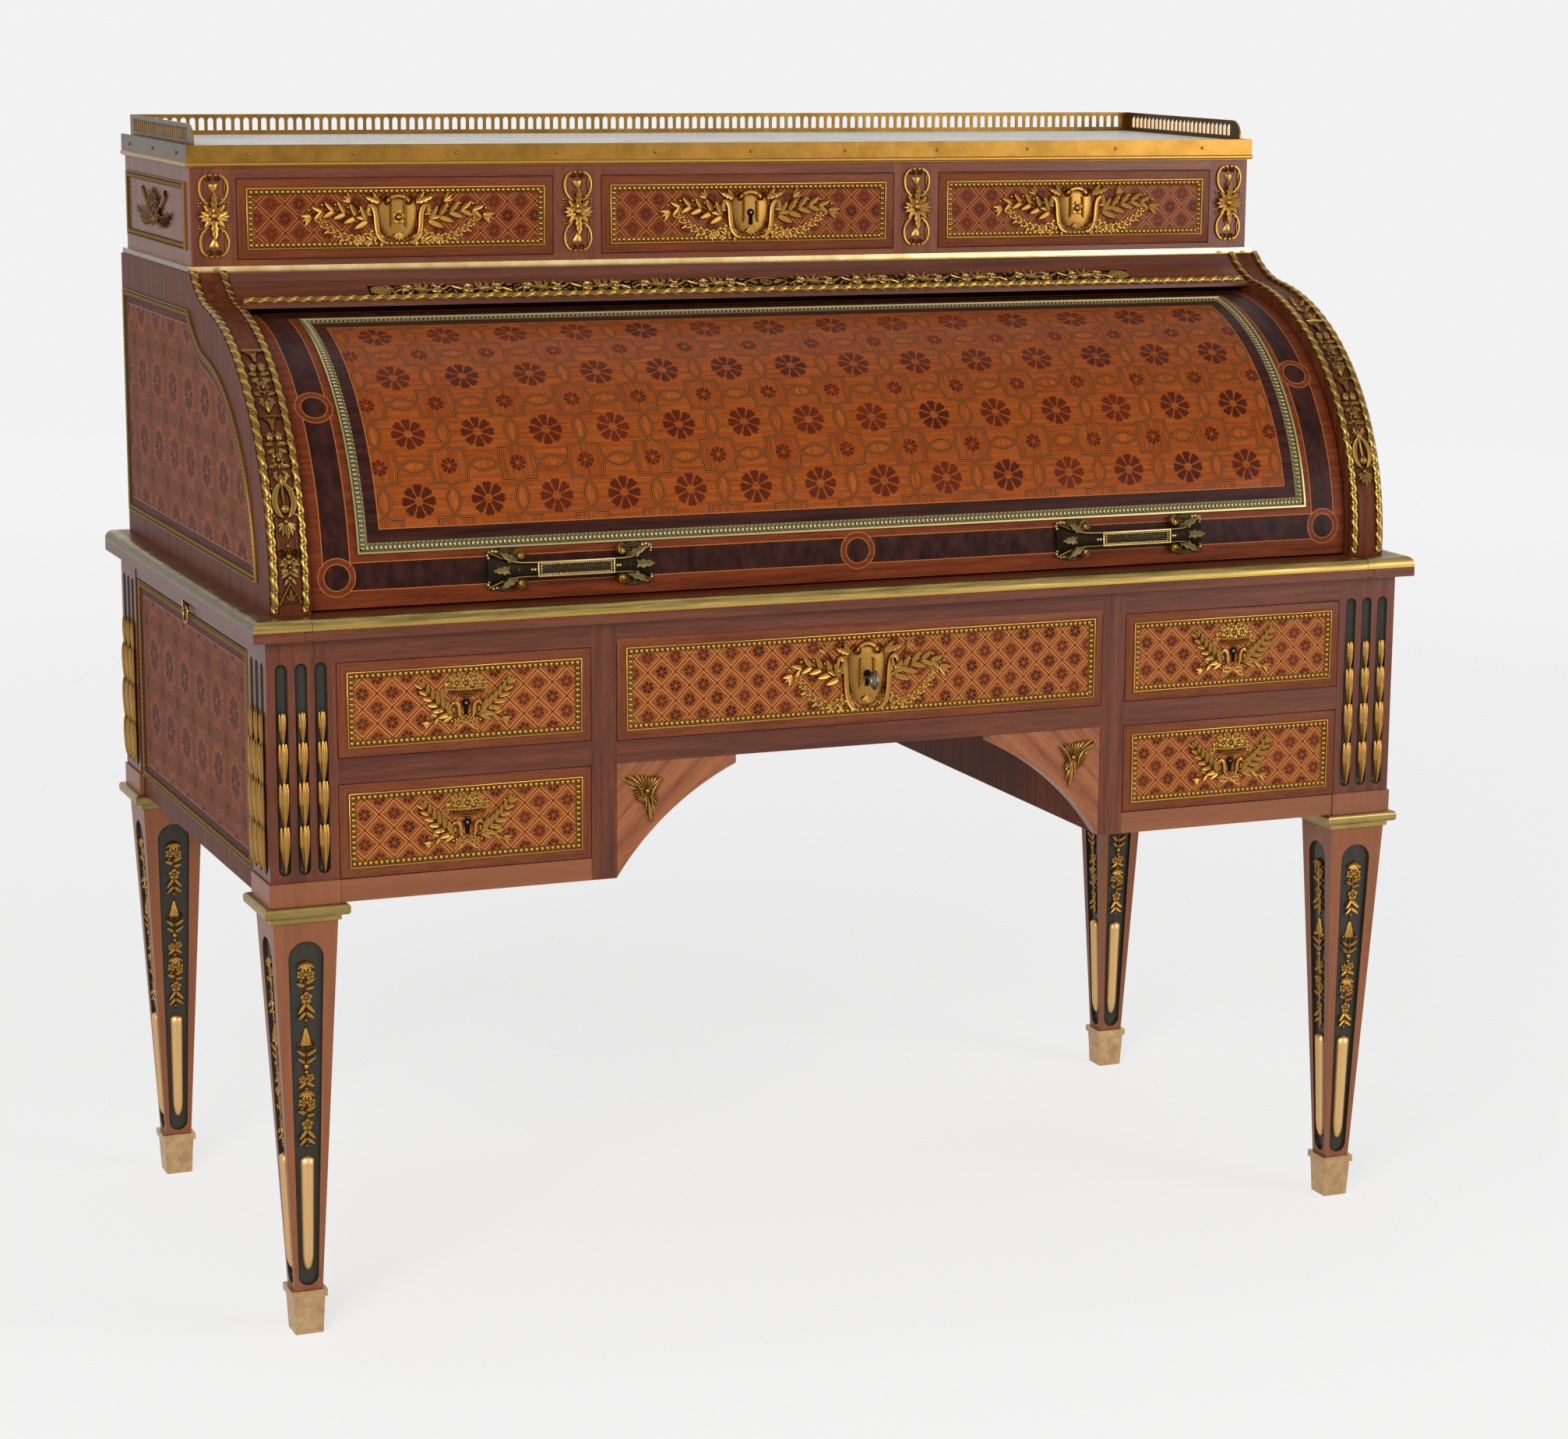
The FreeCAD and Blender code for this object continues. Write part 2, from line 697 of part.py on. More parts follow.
group("drawer_centre_mounts", mounts + [cut("lock_case", lock_block, lock_hollow)])
node("lock_bolt", board("bolt", (-dim.bolt_width / 2, dim.bolt_width / 2), (bolt_front, bolt_back),
                        (bolt_foot, lock_top)))
bow_centre = front - dim.key_reach + dim.key_bow_radius + dim.key_bow_wire
shank_start = bow_centre + dim.key_bow_radius - dim.key_bow_wire / 2
shank = drum("key_shank", dim.key_radius, (ZERO, shank_start, key_z), bolt_back - shank_start, ALONG_Y)
bow = doc.addObject("Part::Torus", "key_bow")
bow.setExpression("Radius1", dim.key_bow_radius.text)
bow.setExpression("Radius2", dim.key_bow_wire.text)
bow.Placement.Rotation = ALONG_X
bow.setExpression("Placement.Base.y", bow_centre.text)
bow.setExpression("Placement.Base.z", key_z.text)
bit = board("key_bit", (-dim.key_bit_thickness / 2, dim.key_bit_thickness / 2),
            (bolt_back - dim.key_bit_length, bolt_back), (key_z - dim.key_bit_height, key_z))
node("key", joined("key_form", [shank, bow, bit]))

# Side slides: a board that runs on its bed, a lip that closes the end, a knob and a ring
for name, side in LEFT_RIGHT:
    lip_outer = half_base - dim.slide_lip_sink
    lip_inner = lip_outer - dim.slide_lip
    slide_inner = kneehole_half + dim.wall_thickness + dim.slide_wall_gap
    slide_y = (post_rear_of_front + dim.slide_gap, post_front_of_rear - dim.slide_gap)
    lip_z = (slide_bed_top + dim.runner_gap, top_under - dim.slide_gap)
    slide_z = (slide_bed_top + dim.runner_gap, slide_bed_top + dim.runner_gap + dim.slide_thickness)
    group(f"side_slide_{name}", [
        board(f"slide_board_{name}", span(side, slide_inner, lip_inner), slide_y, slide_z),
        board(f"slide_lip_{name}", span(side, lip_inner, lip_outer), slide_y, lip_z)])
    knob_z = (lip_z[0] + lip_z[1]) / 2
    knob_y = (slide_y[0] + slide_y[1]) / 2
    stem = drum(f"knob_stem_{name}", dim.ring_knob_radius,
                (lip_outer if side > 0 else -lip_outer - dim.ring_knob_reach, knob_y, knob_z),
                dim.ring_knob_reach, ALONG_X)
    eye_x = (lip_outer + dim.ring_knob_reach / 2) * side
    eye = drum(f"knob_eye_{name}", dim.ring_wire + dim.ring_eye_gap,
               (eye_x, knob_y - 2 * dim.ring_knob_radius, knob_z), 4 * dim.ring_knob_radius, ALONG_Y)
    node(f"slide_knob_{name}", cut(f"slide_knob_form_{name}", stem, eye))
    ring = doc.addObject("Part::Torus", f"ring_form_{name}")
    ring.setExpression("Radius1", dim.ring_radius.text)
    ring.setExpression("Radius2", dim.ring_wire.text)
    ring.Placement.Rotation = ALONG_X
    for axis, place in (("x", eye_x), ("y", knob_y), ("z", knob_z - dim.ring_radius)):
        ring.setExpression(f"Placement.Base.{axis}", place.text)
    node(f"ring_pull_{name}", ring)

# Writing level: a fixed frame with a brass ovolo, and a slide that runs in its grooves
top_side = half_base + dim.top_overhang
top_front = front - dim.top_overhang
top_rear = rear + dim.top_rear_overhang
slide_rear = top_front + dim.writing_slide_length
seam_x = half_base - dim.seam_inset
ledge_z = desk_level - dim.edge_moulding_height
brass_inner_y = top_front + dim.edge_moulding_width
brass_inner_x = top_side - dim.edge_moulding_width
tongue_middle = (top_under + ledge_z) / 2
tongue_z = (tongue_middle - dim.tongue_thickness / 2, tongue_middle + dim.tongue_thickness / 2)


def rounded_bar(name, x, y, z, outward):
    """A bar whose upper outer edges are rounded; outward holds the rounded faces' axes and signs."""
    low = vector(x[0], y[0], z[0])
    high = vector(x[1], y[1], z[1])
    bar = Part.makeBox(high.x - low.x, high.y - low.y, high.z - low.z, low)
    chosen = []
    for edge in bar.Edges:
        middle = edge.CenterOfMass
        near_top = abs(middle.z - high.z) < 1e-6
        for axis, sign in outward:
            limit = getattr(high if sign > 0 else low, axis)
            if near_top and abs(getattr(middle, axis) - limit) < 1e-6:
                chosen.append(edge)
    return formed(name, bar.makeFillet(float(dim.edge_moulding_round), chosen))


top_parts = [board("rear_top", (-seam_x, seam_x), (slide_rear + dim.writing_slide_gap, top_rear),
                   (top_under, desk_level))]
brass_parts = []
brass_z = (ledge_z, desk_level)
for name, side in LEFT_RIGHT:
    lower = board(f"top_strip_lower_{name}", span(side, seam_x, top_side), (top_front, top_rear),
                  (top_under, ledge_z))
    upper = board(f"top_strip_upper_{name}", span(side, seam_x, brass_inner_x), (brass_inner_y, top_rear),
                  brass_z)
    groove = board(f"top_groove_{name}", span(side, seam_x, seam_x + dim.tongue_reach),
                   (top_front, slide_rear + dim.writing_slide_gap),
                   (tongue_z[0] - dim.writing_slide_gap, tongue_z[1] + dim.writing_slide_gap))
    strip = joined(f"top_strip_{name}", [lower, upper])
    top_parts.append(cut(f"grooved_strip_{name}", strip, groove))
    brass_parts.append(rounded_bar(f"ovolo_corner_{name}", span(side, seam_x, top_side),
                                   (top_front, brass_inner_y), brass_z, (("y", -1), ("x", side))))
    brass_parts.append(rounded_bar(f"ovolo_side_{name}", span(side, brass_inner_x, top_side),
                                   (brass_inner_y, top_rear), brass_z, (("x", side),)))
group("desk_top", top_parts)
group("desk_edge_moulding", brass_parts)

slide_half = seam_x - dim.writing_slide_gap
slide_foot = top_under + dim.writing_slide_gap
slide_head = desk_level - dim.writing_slide_gap
lower = board("slide_lower", (-slide_half, slide_half), (top_front, slide_rear), (slide_foot, ledge_z))
upper = board("slide_upper", (-slide_half, slide_half), (brass_inner_y, slide_rear), (ledge_z, slide_head))
tongue = board("slide_tongue", (-slide_half - dim.tongue_reach, slide_half + dim.tongue_reach),
               (brass_inner_y, slide_rear), tongue_z)
leather_x = (dim.leather_margin - slide_half, slide_half - dim.leather_margin)
leather_y = (brass_inner_y + dim.leather_margin, slide_rear - dim.writing_slide_gap)
leather_z = (slide_head - dim.leather_thickness, slide_head)
leather_bed = board("leather_bed", leather_x, leather_y, (leather_z[0], slide_head + dim.leather_thickness))
node("writing_slide", cut("writing_slide_form", joined("slide_solid", [lower, upper, tongue]), leather_bed))
node("writing_leather", board("leather", leather_x, leather_y, leather_z))
node("writing_slide_moulding", rounded_bar("slide_ovolo", (-slide_half, slide_half),
                                           (top_front, brass_inner_y), (ledge_z, slide_head), (("y", -1),)))

# Cylinder: the axis, the S curve of the cheeks and everything that follows it
axis_y = front + dim.stile_setback + dim.stile_radius
axis_z = desk_level + dim.axis_rise
case_foot = axis_z + dim.stile_radius + dim.ogee_rise
cheek_outer = half_base - dim.cheek_inset
cheek_inner = cheek_outer - dim.stile_width
cheek_rear = rear - dim.cheek_rear_inset
fall_radius = dim.stile_radius - dim.fall_inset
axis_point = vector(0, axis_y, axis_z)
TURN_UP = FreeCAD.Vector(-1, 0, 0)


def on_cylinder(radius, degrees):
    """The point at a radius and an angle above the horizontal, on the front of the cylinder."""
    angle = math.radians(degrees)
    return FreeCAD.Vector(0, float(axis_y) - float(radius) * math.cos(angle),
                          float(axis_z) + float(radius) * math.sin(angle))


def angle_at(radius, z):
    return math.degrees(math.asin(float(z - axis_z) / float(radius)))


def between(shape, x_low, x_high):
    """Run a face that stands in the plane x = 0 from one X plane to another."""
    moved = shape.copy()
    moved.translate(vector(x_low, 0, 0))
    return moved.extrude(vector(x_high - x_low, 0, 0))


def sector(inner, outer, start, end, x_low, x_high):
    """A curved board between two radii, two angles and two X planes."""
    middle = (start + end) / 2
    edges = [arc(on_cylinder(outer, start), on_cylinder(outer, middle), on_cylinder(outer, end)),
             line(on_cylinder(outer, end), on_cylinder(inner, end)),
             arc(on_cylinder(inner, end), on_cylinder(inner, middle), on_cylinder(inner, start)),
             line(on_cylinder(inner, start), on_cylinder(outer, start))]
    return between(face_of(edges), as_size(x_low), as_size(x_high))


def s_curve(radius, top_z):
    """The round of the cylinder and the hollow above it: their angles, hollow centre and end point."""
    lean = math.asin(float(dim.ogee_start) / float(radius))
    start = on_cylinder(radius, 90 - math.degrees(lean))
    hollow_radius = float(dim.ogee_radius)
    away = FreeCAD.Vector(0, -math.sin(lean), math.cos(lean))
    hollow = start + away * hollow_radius
    end_lean = math.acos(math.cos(lean) - (float(top_z) - start.z) / hollow_radius)

    def at(turn):
        return hollow + FreeCAD.Vector(0, math.sin(turn), -math.cos(turn)) * hollow_radius

    return SimpleNamespace(join_angle=90 - math.degrees(lean), join=start, hollow=hollow, end=at(end_lean),
                           hollow_middle=at((lean + end_lean) / 2), hollow_turn=math.degrees(end_lean - lean))


def s_edges(radius, foot_z, top_z):
    """Edges from the foot of the round to the top of the hollow, and the two end points."""
    curve = s_curve(radius, top_z)
    foot_angle = angle_at(radius, foot_z)
    foot = on_cylinder(radius, foot_angle)
    edges = [arc(foot, on_cylinder(radius, (foot_angle + curve.join_angle) / 2), curve.join),
             arc(curve.join, curve.hollow_middle, curve.end)]
    return edges, foot, curve.end


def s_panel(radius, foot_z, top_z, rear_y, x_low, x_high):
    """A flat panel whose front edge is the S curve."""
    edges, foot, end = s_edges(radius, foot_z, top_z)
    high = vector(0, rear_y, top_z)
    low = vector(0, rear_y, foot_z)
    return between(face_of(edges + [line(end, high), line(high, low), line(low, foot)]), x_low, x_high)


# The cheeks carry the pivot pins on their inner faces
cheek_parts = []
for name, side in LEFT_RIGHT:
    low, high = span(side, cheek_inner, cheek_outer)
    cheek_parts.append(s_panel(dim.stile_radius, desk_level, case_foot, cheek_rear, low, high))
node("cheeks", formed("cheeks_form", Part.makeCompound(cheek_parts)))
pin_length = dim.arm_side_gap + dim.arm_thickness + dim.fall_side_gap
pins = [drum(f"pivot_pin_{name}", dim.pivot_radius,
             (cheek_inner - pin_length if side > 0 else -cheek_inner, axis_y, axis_z), pin_length, ALONG_X)
        for name, side in LEFT_RIGHT]
group("fall_pivots", pins)


# Rope mouldings: half-round on the two edges of each stile and along the frieze
def stile_rope(x):
    """A half-round bar that follows the S curve at one X plane."""
    curve = s_curve(dim.stile_radius, case_foot)
    foot_angle = angle_at(dim.stile_radius + dim.rope_radius, desk_level)
    round_face = half_round(float(dim.rope_radius))
    round_face.translate(vector(x, axis_y - dim.stile_radius, axis_z))
    round_face.rotate(axis_point, TURN_UP, foot_angle)
    lower = round_face.revolve(axis_point, TURN_UP, curve.join_angle - foot_angle)
    round_face.rotate(axis_point, TURN_UP, curve.join_angle - foot_angle)
    upper = round_face.revolve(curve.hollow, -TURN_UP, curve.hollow_turn)
    return lower.fuse(upper)


ropes = [stile_rope(x * side) for _, side in LEFT_RIGHT
         for x in (cheek_outer - dim.rope_inset, cheek_inner + dim.rope_inset)]
frieze_lip = axis_y - dim.frieze_lip_setback
frieze_foot = axis_z + fall_radius + dim.frieze_clearance
curve = s_curve(dim.stile_radius, case_foot)


def hollow_height(y):
    """Height of the hollow of the S curve at a place along Y."""
    return curve.hollow.z - math.sqrt(float(dim.ogee_radius) ** 2 - (curve.hollow.y - float(y)) ** 2)


def hollow_slope(y):
    return math.degrees(math.asin((float(y) - curve.hollow.y) / float(dim.ogee_radius)))


def laid_on_hollow(shape, y):
    """Carry a shape from the plane z = 0 onto the hollow at a place along Y."""
    shape.rotate(FreeCAD.Vector(), FreeCAD.Vector(1, 0, 0), hollow_slope(y))
    shape.translate(FreeCAD.Vector(0, float(y), hollow_height(y)))
    return shape


frieze_rope_half = cheek_inner - dim.runner_gap
flat_rope = half_round(float(dim.rope_radius)).extrude(vector(0, 0, 2 * frieze_rope_half))
flat_rope.rotate(FreeCAD.Vector(), FreeCAD.Vector(1, 1, 1), 120)
flat_rope.rotate(FreeCAD.Vector(), FreeCAD.Vector(1, 0, 0), 180)

# Frieze rail: the hollow carried on between the stiles, clear of the fall below it
lip_top = FreeCAD.Vector(0, float(frieze_lip), hollow_height(frieze_lip))
lip_middle_y = (float(frieze_lip) + curve.end.y) / 2
frieze_corners = [vector(0, frieze_lip + dim.frieze_back + dim.frieze_lip_setback, case_foot),
                  vector(0, frieze_lip + dim.frieze_back + dim.frieze_lip_setback, frieze_foot),
                  vector(0, frieze_lip, frieze_foot)]
frieze_face = face_of([
    arc(lip_top, FreeCAD.Vector(0, lip_middle_y, hollow_height(lip_middle_y)), curve.end),
    line(curve.end, frieze_corners[0]), line(frieze_corners[0], frieze_corners[1]),
    line(frieze_corners[1], frieze_corners[2]), line(frieze_corners[2], lip_top)])
frieze_shape = between(frieze_face, -cheek_inner, cheek_inner)
node("frieze_rail", formed("frieze_rail_form", frieze_shape))
flat_rope.translate(vector(-frieze_rope_half, 0, dim.rope_seat_gap))
ropes.append(laid_on_hollow(flat_rope, frieze_lip + dim.frieze_rope_y))
node("rope_mouldings", formed("rope_mouldings_form", Part.makeCompound(ropes)))

# Fall: curved panel, leaf-tip frame, handles and iron arms that turn on the pins
fall_half = cheek_inner - dim.fall_side_gap
fall_foot_angle = angle_at(fall_radius, desk_level + dim.fall_foot_gap)
fall_top_angle = float(dim.fall_top_angle)
fall_inner = fall_radius - dim.fall_thickness
node("fall_panel", formed("fall_panel_form", sector(fall_inner, fall_radius, fall_foot_angle, fall_top_angle,
                                                    -fall_half, fall_half)))
frame_half = fall_half - dim.fall_frame_side_margin
frame_outer = fall_radius + dim.fall_frame_relief
frame_low = float(dim.fall_frame_foot_angle)
frame_high = float(dim.fall_frame_top_angle)
frame_turn = math.degrees(float(dim.fall_frame_width) / float(fall_radius))
side_low = frame_low + frame_turn
side_high = frame_high - frame_turn
frame_pieces = [sector(fall_radius, frame_outer, frame_low, side_low, -frame_half, frame_half),
                sector(fall_radius, frame_outer, side_high, frame_high, -frame_half, frame_half)]
for _, side in LEFT_RIGHT:
    low, high = span(side, frame_half - dim.fall_frame_width, frame_half)
    frame_pieces.append(sector(fall_radius, frame_outer, side_low, side_high, low, high))
node("fall_frame", formed("fall_frame_form", Part.makeCompound(frame_pieces)))


def box_on_fall(x_low, x_high, z_low, z_high, reach_low, reach_high):
    """A box that stands out of the fall, drawn level with the axis."""
    face_y = axis_y - fall_radius
    return Part.makeBox(float(x_high - x_low), float(reach_high - reach_low), float(z_high - z_low),
                        vector(x_low, face_y - reach_high, axis_z + z_low))


def bar_handle(side):
    """Two end pieces on the fall with a grip between them."""
    middle = (fall_half - dim.handle_side_margin) * side
    half = dim.handle_length / 2
    half_height = dim.handle_end_height / 2
    grip_half = dim.handle_grip_height / 2
    pieces = [box_on_fall(middle - half + dim.handle_end_width / 2, middle + half - dim.handle_end_width / 2,
                          -grip_half, grip_half, dim.handle_reach - dim.handle_grip_depth, dim.handle_reach)]
    for _, end in LEFT_RIGHT:
        low, high = span(end, half - dim.handle_end_width, half)
        pieces.append(box_on_fall(middle + low, middle + high, -half_height, half_height,
                                  -dim.handle_plate, dim.handle_plate))
        neck = dim.handle_end_width / 4
        low, high = span(end, half - dim.handle_end_width / 2 - neck, half - dim.handle_end_width / 2 + neck)
        pieces.append(box_on_fall(middle + low, middle + high, -grip_half, grip_half, ZERO, dim.handle_reach))
    handle = pieces[0].fuse(pieces[1:])
    handle.rotate(axis_point, TURN_UP, float(dim.handle_angle))
    return handle.cut(sector(fall_inner, fall_radius, fall_foot_angle, fall_top_angle, -fall_half, fall_half))


node("fall_handles", formed("fall_handles_form", Part.makeCompound(
    [bar_handle(side).removeSplitter() for _, side in LEFT_RIGHT])))


def pivot_arm(side):
    """A flat iron bar from the pin to the inside of the fall."""
    outer = fall_half - dim.arm_side_gap
    low, high = span(side, outer - dim.arm_thickness, outer)
    half = dim.arm_width / 2
    length = math.sqrt(float(fall_inner) ** 2 - float(half) ** 2)
    bar = Part.makeBox(float(dim.arm_thickness), length, float(dim.arm_width),
                       vector(low, float(axis_y) - length, axis_z - half))
    bar.rotate(axis_point, TURN_UP, float(dim.arm_angle))
    start = vector(low, axis_y, axis_z)
    along = FreeCAD.Vector(1, 0, 0)
    boss = Part.makeCylinder(float(dim.arm_boss_radius), float(dim.arm_thickness), start, along)
    bore = Part.makeCylinder(float(dim.pivot_radius + dim.pivot_gap), float(dim.arm_thickness), start, along)
    return bar.fuse(boss).cut(bore).removeSplitter()


node("fall_arms", formed("fall_arms_form", Part.makeCompound([pivot_arm(side) for _, side in LEFT_RIGHT])))

# Nest behind the fall: shelves and partitions with three small drawers under the pigeonholes
nest_y = (axis_y + dim.nest_front, axis_y + dim.nest_front + dim.nest_depth)
nest_z = (desk_level, desk_level + dim.nest_height)
nest_half = cheek_inner - dim.nest_side_gap
nest_shelf = desk_level + dim.nest_board + dim.nest_shelf_height
nest_inner = nest_half - dim.nest_board
nest_front_y = (nest_y[0], nest_y[1] - dim.nest_back)
bay_width = (2 * nest_inner - 2 * dim.nest_board) / 3
nest_parts = [
    board("nest_floor", (-nest_half, nest_half), nest_y, (nest_z[0], nest_z[0] + dim.nest_board)),
    board("nest_roof", (-nest_half, nest_half), nest_y, (nest_z[1] - dim.nest_board, nest_z[1])),
    board("nest_shelf", (-nest_inner, nest_inner), nest_front_y, (nest_shelf, nest_shelf + dim.nest_board)),
    board("nest_back_board", (-nest_inner, nest_inner), (nest_front_y[1], nest_y[1]),
          (nest_z[0] + dim.nest_board, nest_z[1] - dim.nest_board)),
]
for name, side in LEFT_RIGHT:
    nest_parts.append(board(f"nest_end_{name}", span(side, nest_inner, nest_half), nest_y,
                            (nest_z[0] + dim.nest_board, nest_z[1] - dim.nest_board)))
    nest_parts.append(board(f"nest_drawer_partition_{name}",
                            span(side, bay_width / 2, bay_width / 2 + dim.nest_board),
                            nest_front_y, (nest_z[0] + dim.nest_board, nest_shelf)))
hole_width = (2 * nest_inner - 5 * dim.nest_board) / 6
for k in range(5):
    hole_left = (hole_width + dim.nest_board) * (k + 1) - nest_inner - dim.nest_board
    nest_parts.append(board(f"nest_partition_{k}", (hole_left, hole_left + dim.nest_board), nest_front_y,
                            (nest_shelf + dim.nest_board, nest_z[1] - dim.nest_board)))
group("nest", nest_parts)
for k, name in enumerate(("left", "middle", "right")):
    low = (bay_width + dim.nest_board) * k - nest_inner + dim.nest_drawer_gap
    high = low + bay_width - 2 * dim.nest_drawer_gap
    foot = nest_z[0] + dim.nest_board + dim.runner_gap
    head = nest_shelf - dim.nest_drawer_gap
    face = nest_y[0]
    back = nest_front_y[1] - dim.nest_drawer_gap
    wall = dim.nest_drawer_wall
    inside_x = (low + wall, high - wall)
    wall_z = (foot, head - wall)
    knob_start = ((low + high) / 2, face - dim.nest_knob_reach, (foot + head) / 2)
    knob = drum(f"nest_knob_{name}", dim.nest_knob_radius, knob_start, dim.nest_knob_reach, ALONG_Y)
    group(f"nest_drawer_{name}", [
        board(f"nest_drawer_front_{name}", (low, high), (face, face + wall), (foot, head)),
        board(f"nest_drawer_left_{name}", (low, low + wall), (face + wall, back), wall_z),
        board(f"nest_drawer_right_{name}", (high - wall, high), (face + wall, back), wall_z),
        board(f"nest_drawer_back_{name}", inside_x, (back - wall, back), wall_z),
        board(f"nest_drawer_floor_{name}", inside_x, (face + wall, back - wall), (foot, foot + wall)),
        knob])

# Upper case: boards, front stiles and rails, then three drawers
case_half = cheek_outer - dim.case_inset
case_front = axis_y + dim.case_setback
case_rear = cheek_rear
case_top = case_foot + dim.case_height
case_back = case_rear - dim.back_thickness
case_frame = case_front + dim.frame_thickness
case_floor = case_foot + dim.case_rail
case_roof = case_top - dim.case_rail
stile_edge = case_half - dim.case_outer_stile
inner_low = (stile_edge - dim.case_inner_stile) / 3
inner_high = inner_low + dim.case_inner_stile
inner_stile_middle = (inner_low + inner_high) / 2
case_y = (case_front, case_frame)
behind_y = (case_frame, case_back)
case_inner = case_half - dim.case_board
case_parts = [
    board("case_bottom_rail", (-stile_edge, stile_edge), case_y, (case_foot, case_floor)),
    board("case_top_rail", (-stile_edge, stile_edge), case_y, (case_roof, case_top)),
    board("case_bottom", (-case_inner, case_inner), behind_y, (case_foot, case_floor)),
    board("case_top_board", (-case_inner, case_inner), behind_y, (case_top - dim.case_top_board, case_top)),
]
for name, side in LEFT_RIGHT:
    case_parts.append(board(f"case_outer_stile_{name}", span(side, stile_edge, case_half), case_y,
                            (case_foot, case_top)))
    case_parts.append(board(f"case_inner_stile_{name}", span(side, inner_low, inner_high), case_y,
                            (case_floor, case_roof)))
    case_parts.append(board(f"case_end_{name}", span(side, case_inner, case_half), (case_frame, case_rear),
                            (case_foot, case_top)))
    middle_wall = inner_stile_middle - dim.case_board / 2
    case_parts.append(board(f"case_partition_{name}", span(side, middle_wall, middle_wall + dim.case_board),
                            behind_y, (case_floor, case_top - dim.case_top_board)))
group("upper_case", case_parts)
back_parts.append(board("cylinder_back", (-cheek_inner, cheek_inner), (case_back, case_rear),
                        (desk_level, case_foot)))
back_parts.append(board("case_back", (-case_inner, case_inner), (case_back, case_rear),
                        (case_foot, case_top)))
group("back_boards", back_parts)

case_bays = {"case_drawer_left": (-stile_edge, -inner_high), "case_drawer_centre": (-inner_low, inner_low),
             "case_drawer_right": (inner_high, stile_edge)}
for label, x in case_bays.items():
    parts, mounts, _ = drawer(label, x, case_floor, case_roof, case_front,
                              case_back - dim.case_drawer_rear_gap, dim.cartouche_width)
    group(label, parts)
    group(f"{label}_mounts", mounts)

# Brass string round the foot of the case
string_z = (case_foot, case_foot + dim.string_height)
string_front = case_front - dim.string_reach
string_side = case_half + dim.string_reach
string_parts = [board("string_front", (-string_side, string_side), (string_front, case_front), string_z)]
for name, side in LEFT_RIGHT:
    string_parts.append(board(f"string_side_{name}", span(side, case_half, string_side),
                              (case_front, case_rear), string_z))
group("string_moulding", string_parts)

# Bead frames on the ends: base panels, cheeks and case
frame_items = []
for name, side in LEFT_RIGHT:
    margin = dim.bead_margin
    frame_items.append(bead_ring(f"side_bead_{name}", span(side, panel_outer, panel_outer + dim.bead_relief),
                                 (post_rear_of_front + margin, post_front_of_rear - margin),
                                 (block_top, slide_bed_top - dim.slide_gap), dim.bead_width, "x"))
    frame_items.append(bead_ring(f"case_end_bead_{name}", span(side, case_half, case_half + dim.bead_relief),
                                 (case_frame, case_rear - margin),
                                 (case_floor + margin, case_roof - margin / 2), dim.bead_width, "x"))
    low, high = span(side, cheek_outer, cheek_outer + dim.bead_relief)
    radius = dim.stile_radius - dim.cheek_frame_inset
    foot_z = desk_level + dim.cheek_frame_foot
    head_z = case_foot - dim.cheek_frame_top
    back_y = cheek_rear - dim.cheek_frame_rear
    width = dim.bead_width
    ring_outer = s_panel(radius, foot_z, head_z, back_y, low, high)
    ring_inner = s_panel(radius - width, foot_z + width, head_z - width, back_y - width,
                         low - width, high + width)
    frame_items.append(formed(f"cheek_bead_{name}", ring_outer.cut(ring_inner)))
group("panel_frames", frame_items)

# Gilt mounts of the upper part: chutes, frieze, stile mounts and trophies on the ends
upper_mounts = []
stile_middle = (cheek_outer + cheek_inner) / 2
mount_middle = (case_foot + dim.string_height + case_top) / 2
case_mount_z = (mount_middle - dim.case_mount_height / 2, mount_middle + dim.case_mount_height / 2)
mount_front = case_front - dim.case_mount_relief
outer_stile_middle = case_half - dim.case_outer_stile / 2
trophy_y = (case_frame + case_rear) / 2
chute_angles = ((dim.chute_foot_angle, dim.chute_top_angle),
                (dim.short_chute_foot_angle, dim.short_chute_top_angle))
for (name, side), (foot_angle, top_angle) in zip(LEFT_RIGHT, chute_angles):
    low, high = span(side, stile_middle - dim.chute_width / 2, stile_middle + dim.chute_width / 2)
    chute = sector(dim.stile_radius, dim.stile_radius + dim.chute_relief, float(foot_angle),
                   float(top_angle), low, high)
    upper_mounts.append(formed(f"chute_{name}", chute))
    for place, middle in (("outer", outer_stile_middle), ("inner", inner_stile_middle)):
        low, high = span(side, middle - dim.case_mount_width / 2, middle + dim.case_mount_width / 2)
        upper_mounts.append(board(f"{place}_stile_mount_{name}", (low, high), (mount_front, case_front),
                                  case_mount_z))
    upper_mounts.append(board(f"trophy_{name}", span(side, case_half, case_half + dim.case_mount_relief),
                              (trophy_y - dim.side_trophy_width / 2, trophy_y + dim.side_trophy_width / 2),
                              (mount_middle - dim.side_trophy_height / 2,
                               mount_middle + dim.side_trophy_height / 2)))
frieze_mount_half = cheek_inner - dim.frieze_mount_margin
frieze_plate = Part.makeBox(float(2 * frieze_mount_half), float(dim.frieze_mount_width),
                            float(dim.frieze_mount_relief),
                            vector(-frieze_mount_half, -dim.frieze_mount_width / 2, 0))
frieze_mount_y = frieze_lip + dim.frieze_rope_y + dim.rope_radius + dim.frieze_mount_width / 2
upper_mounts.append(formed("frieze_mount", laid_on_hollow(frieze_plate, frieze_mount_y).cut(frieze_shape)))
group("upper_mounts", upper_mounts)

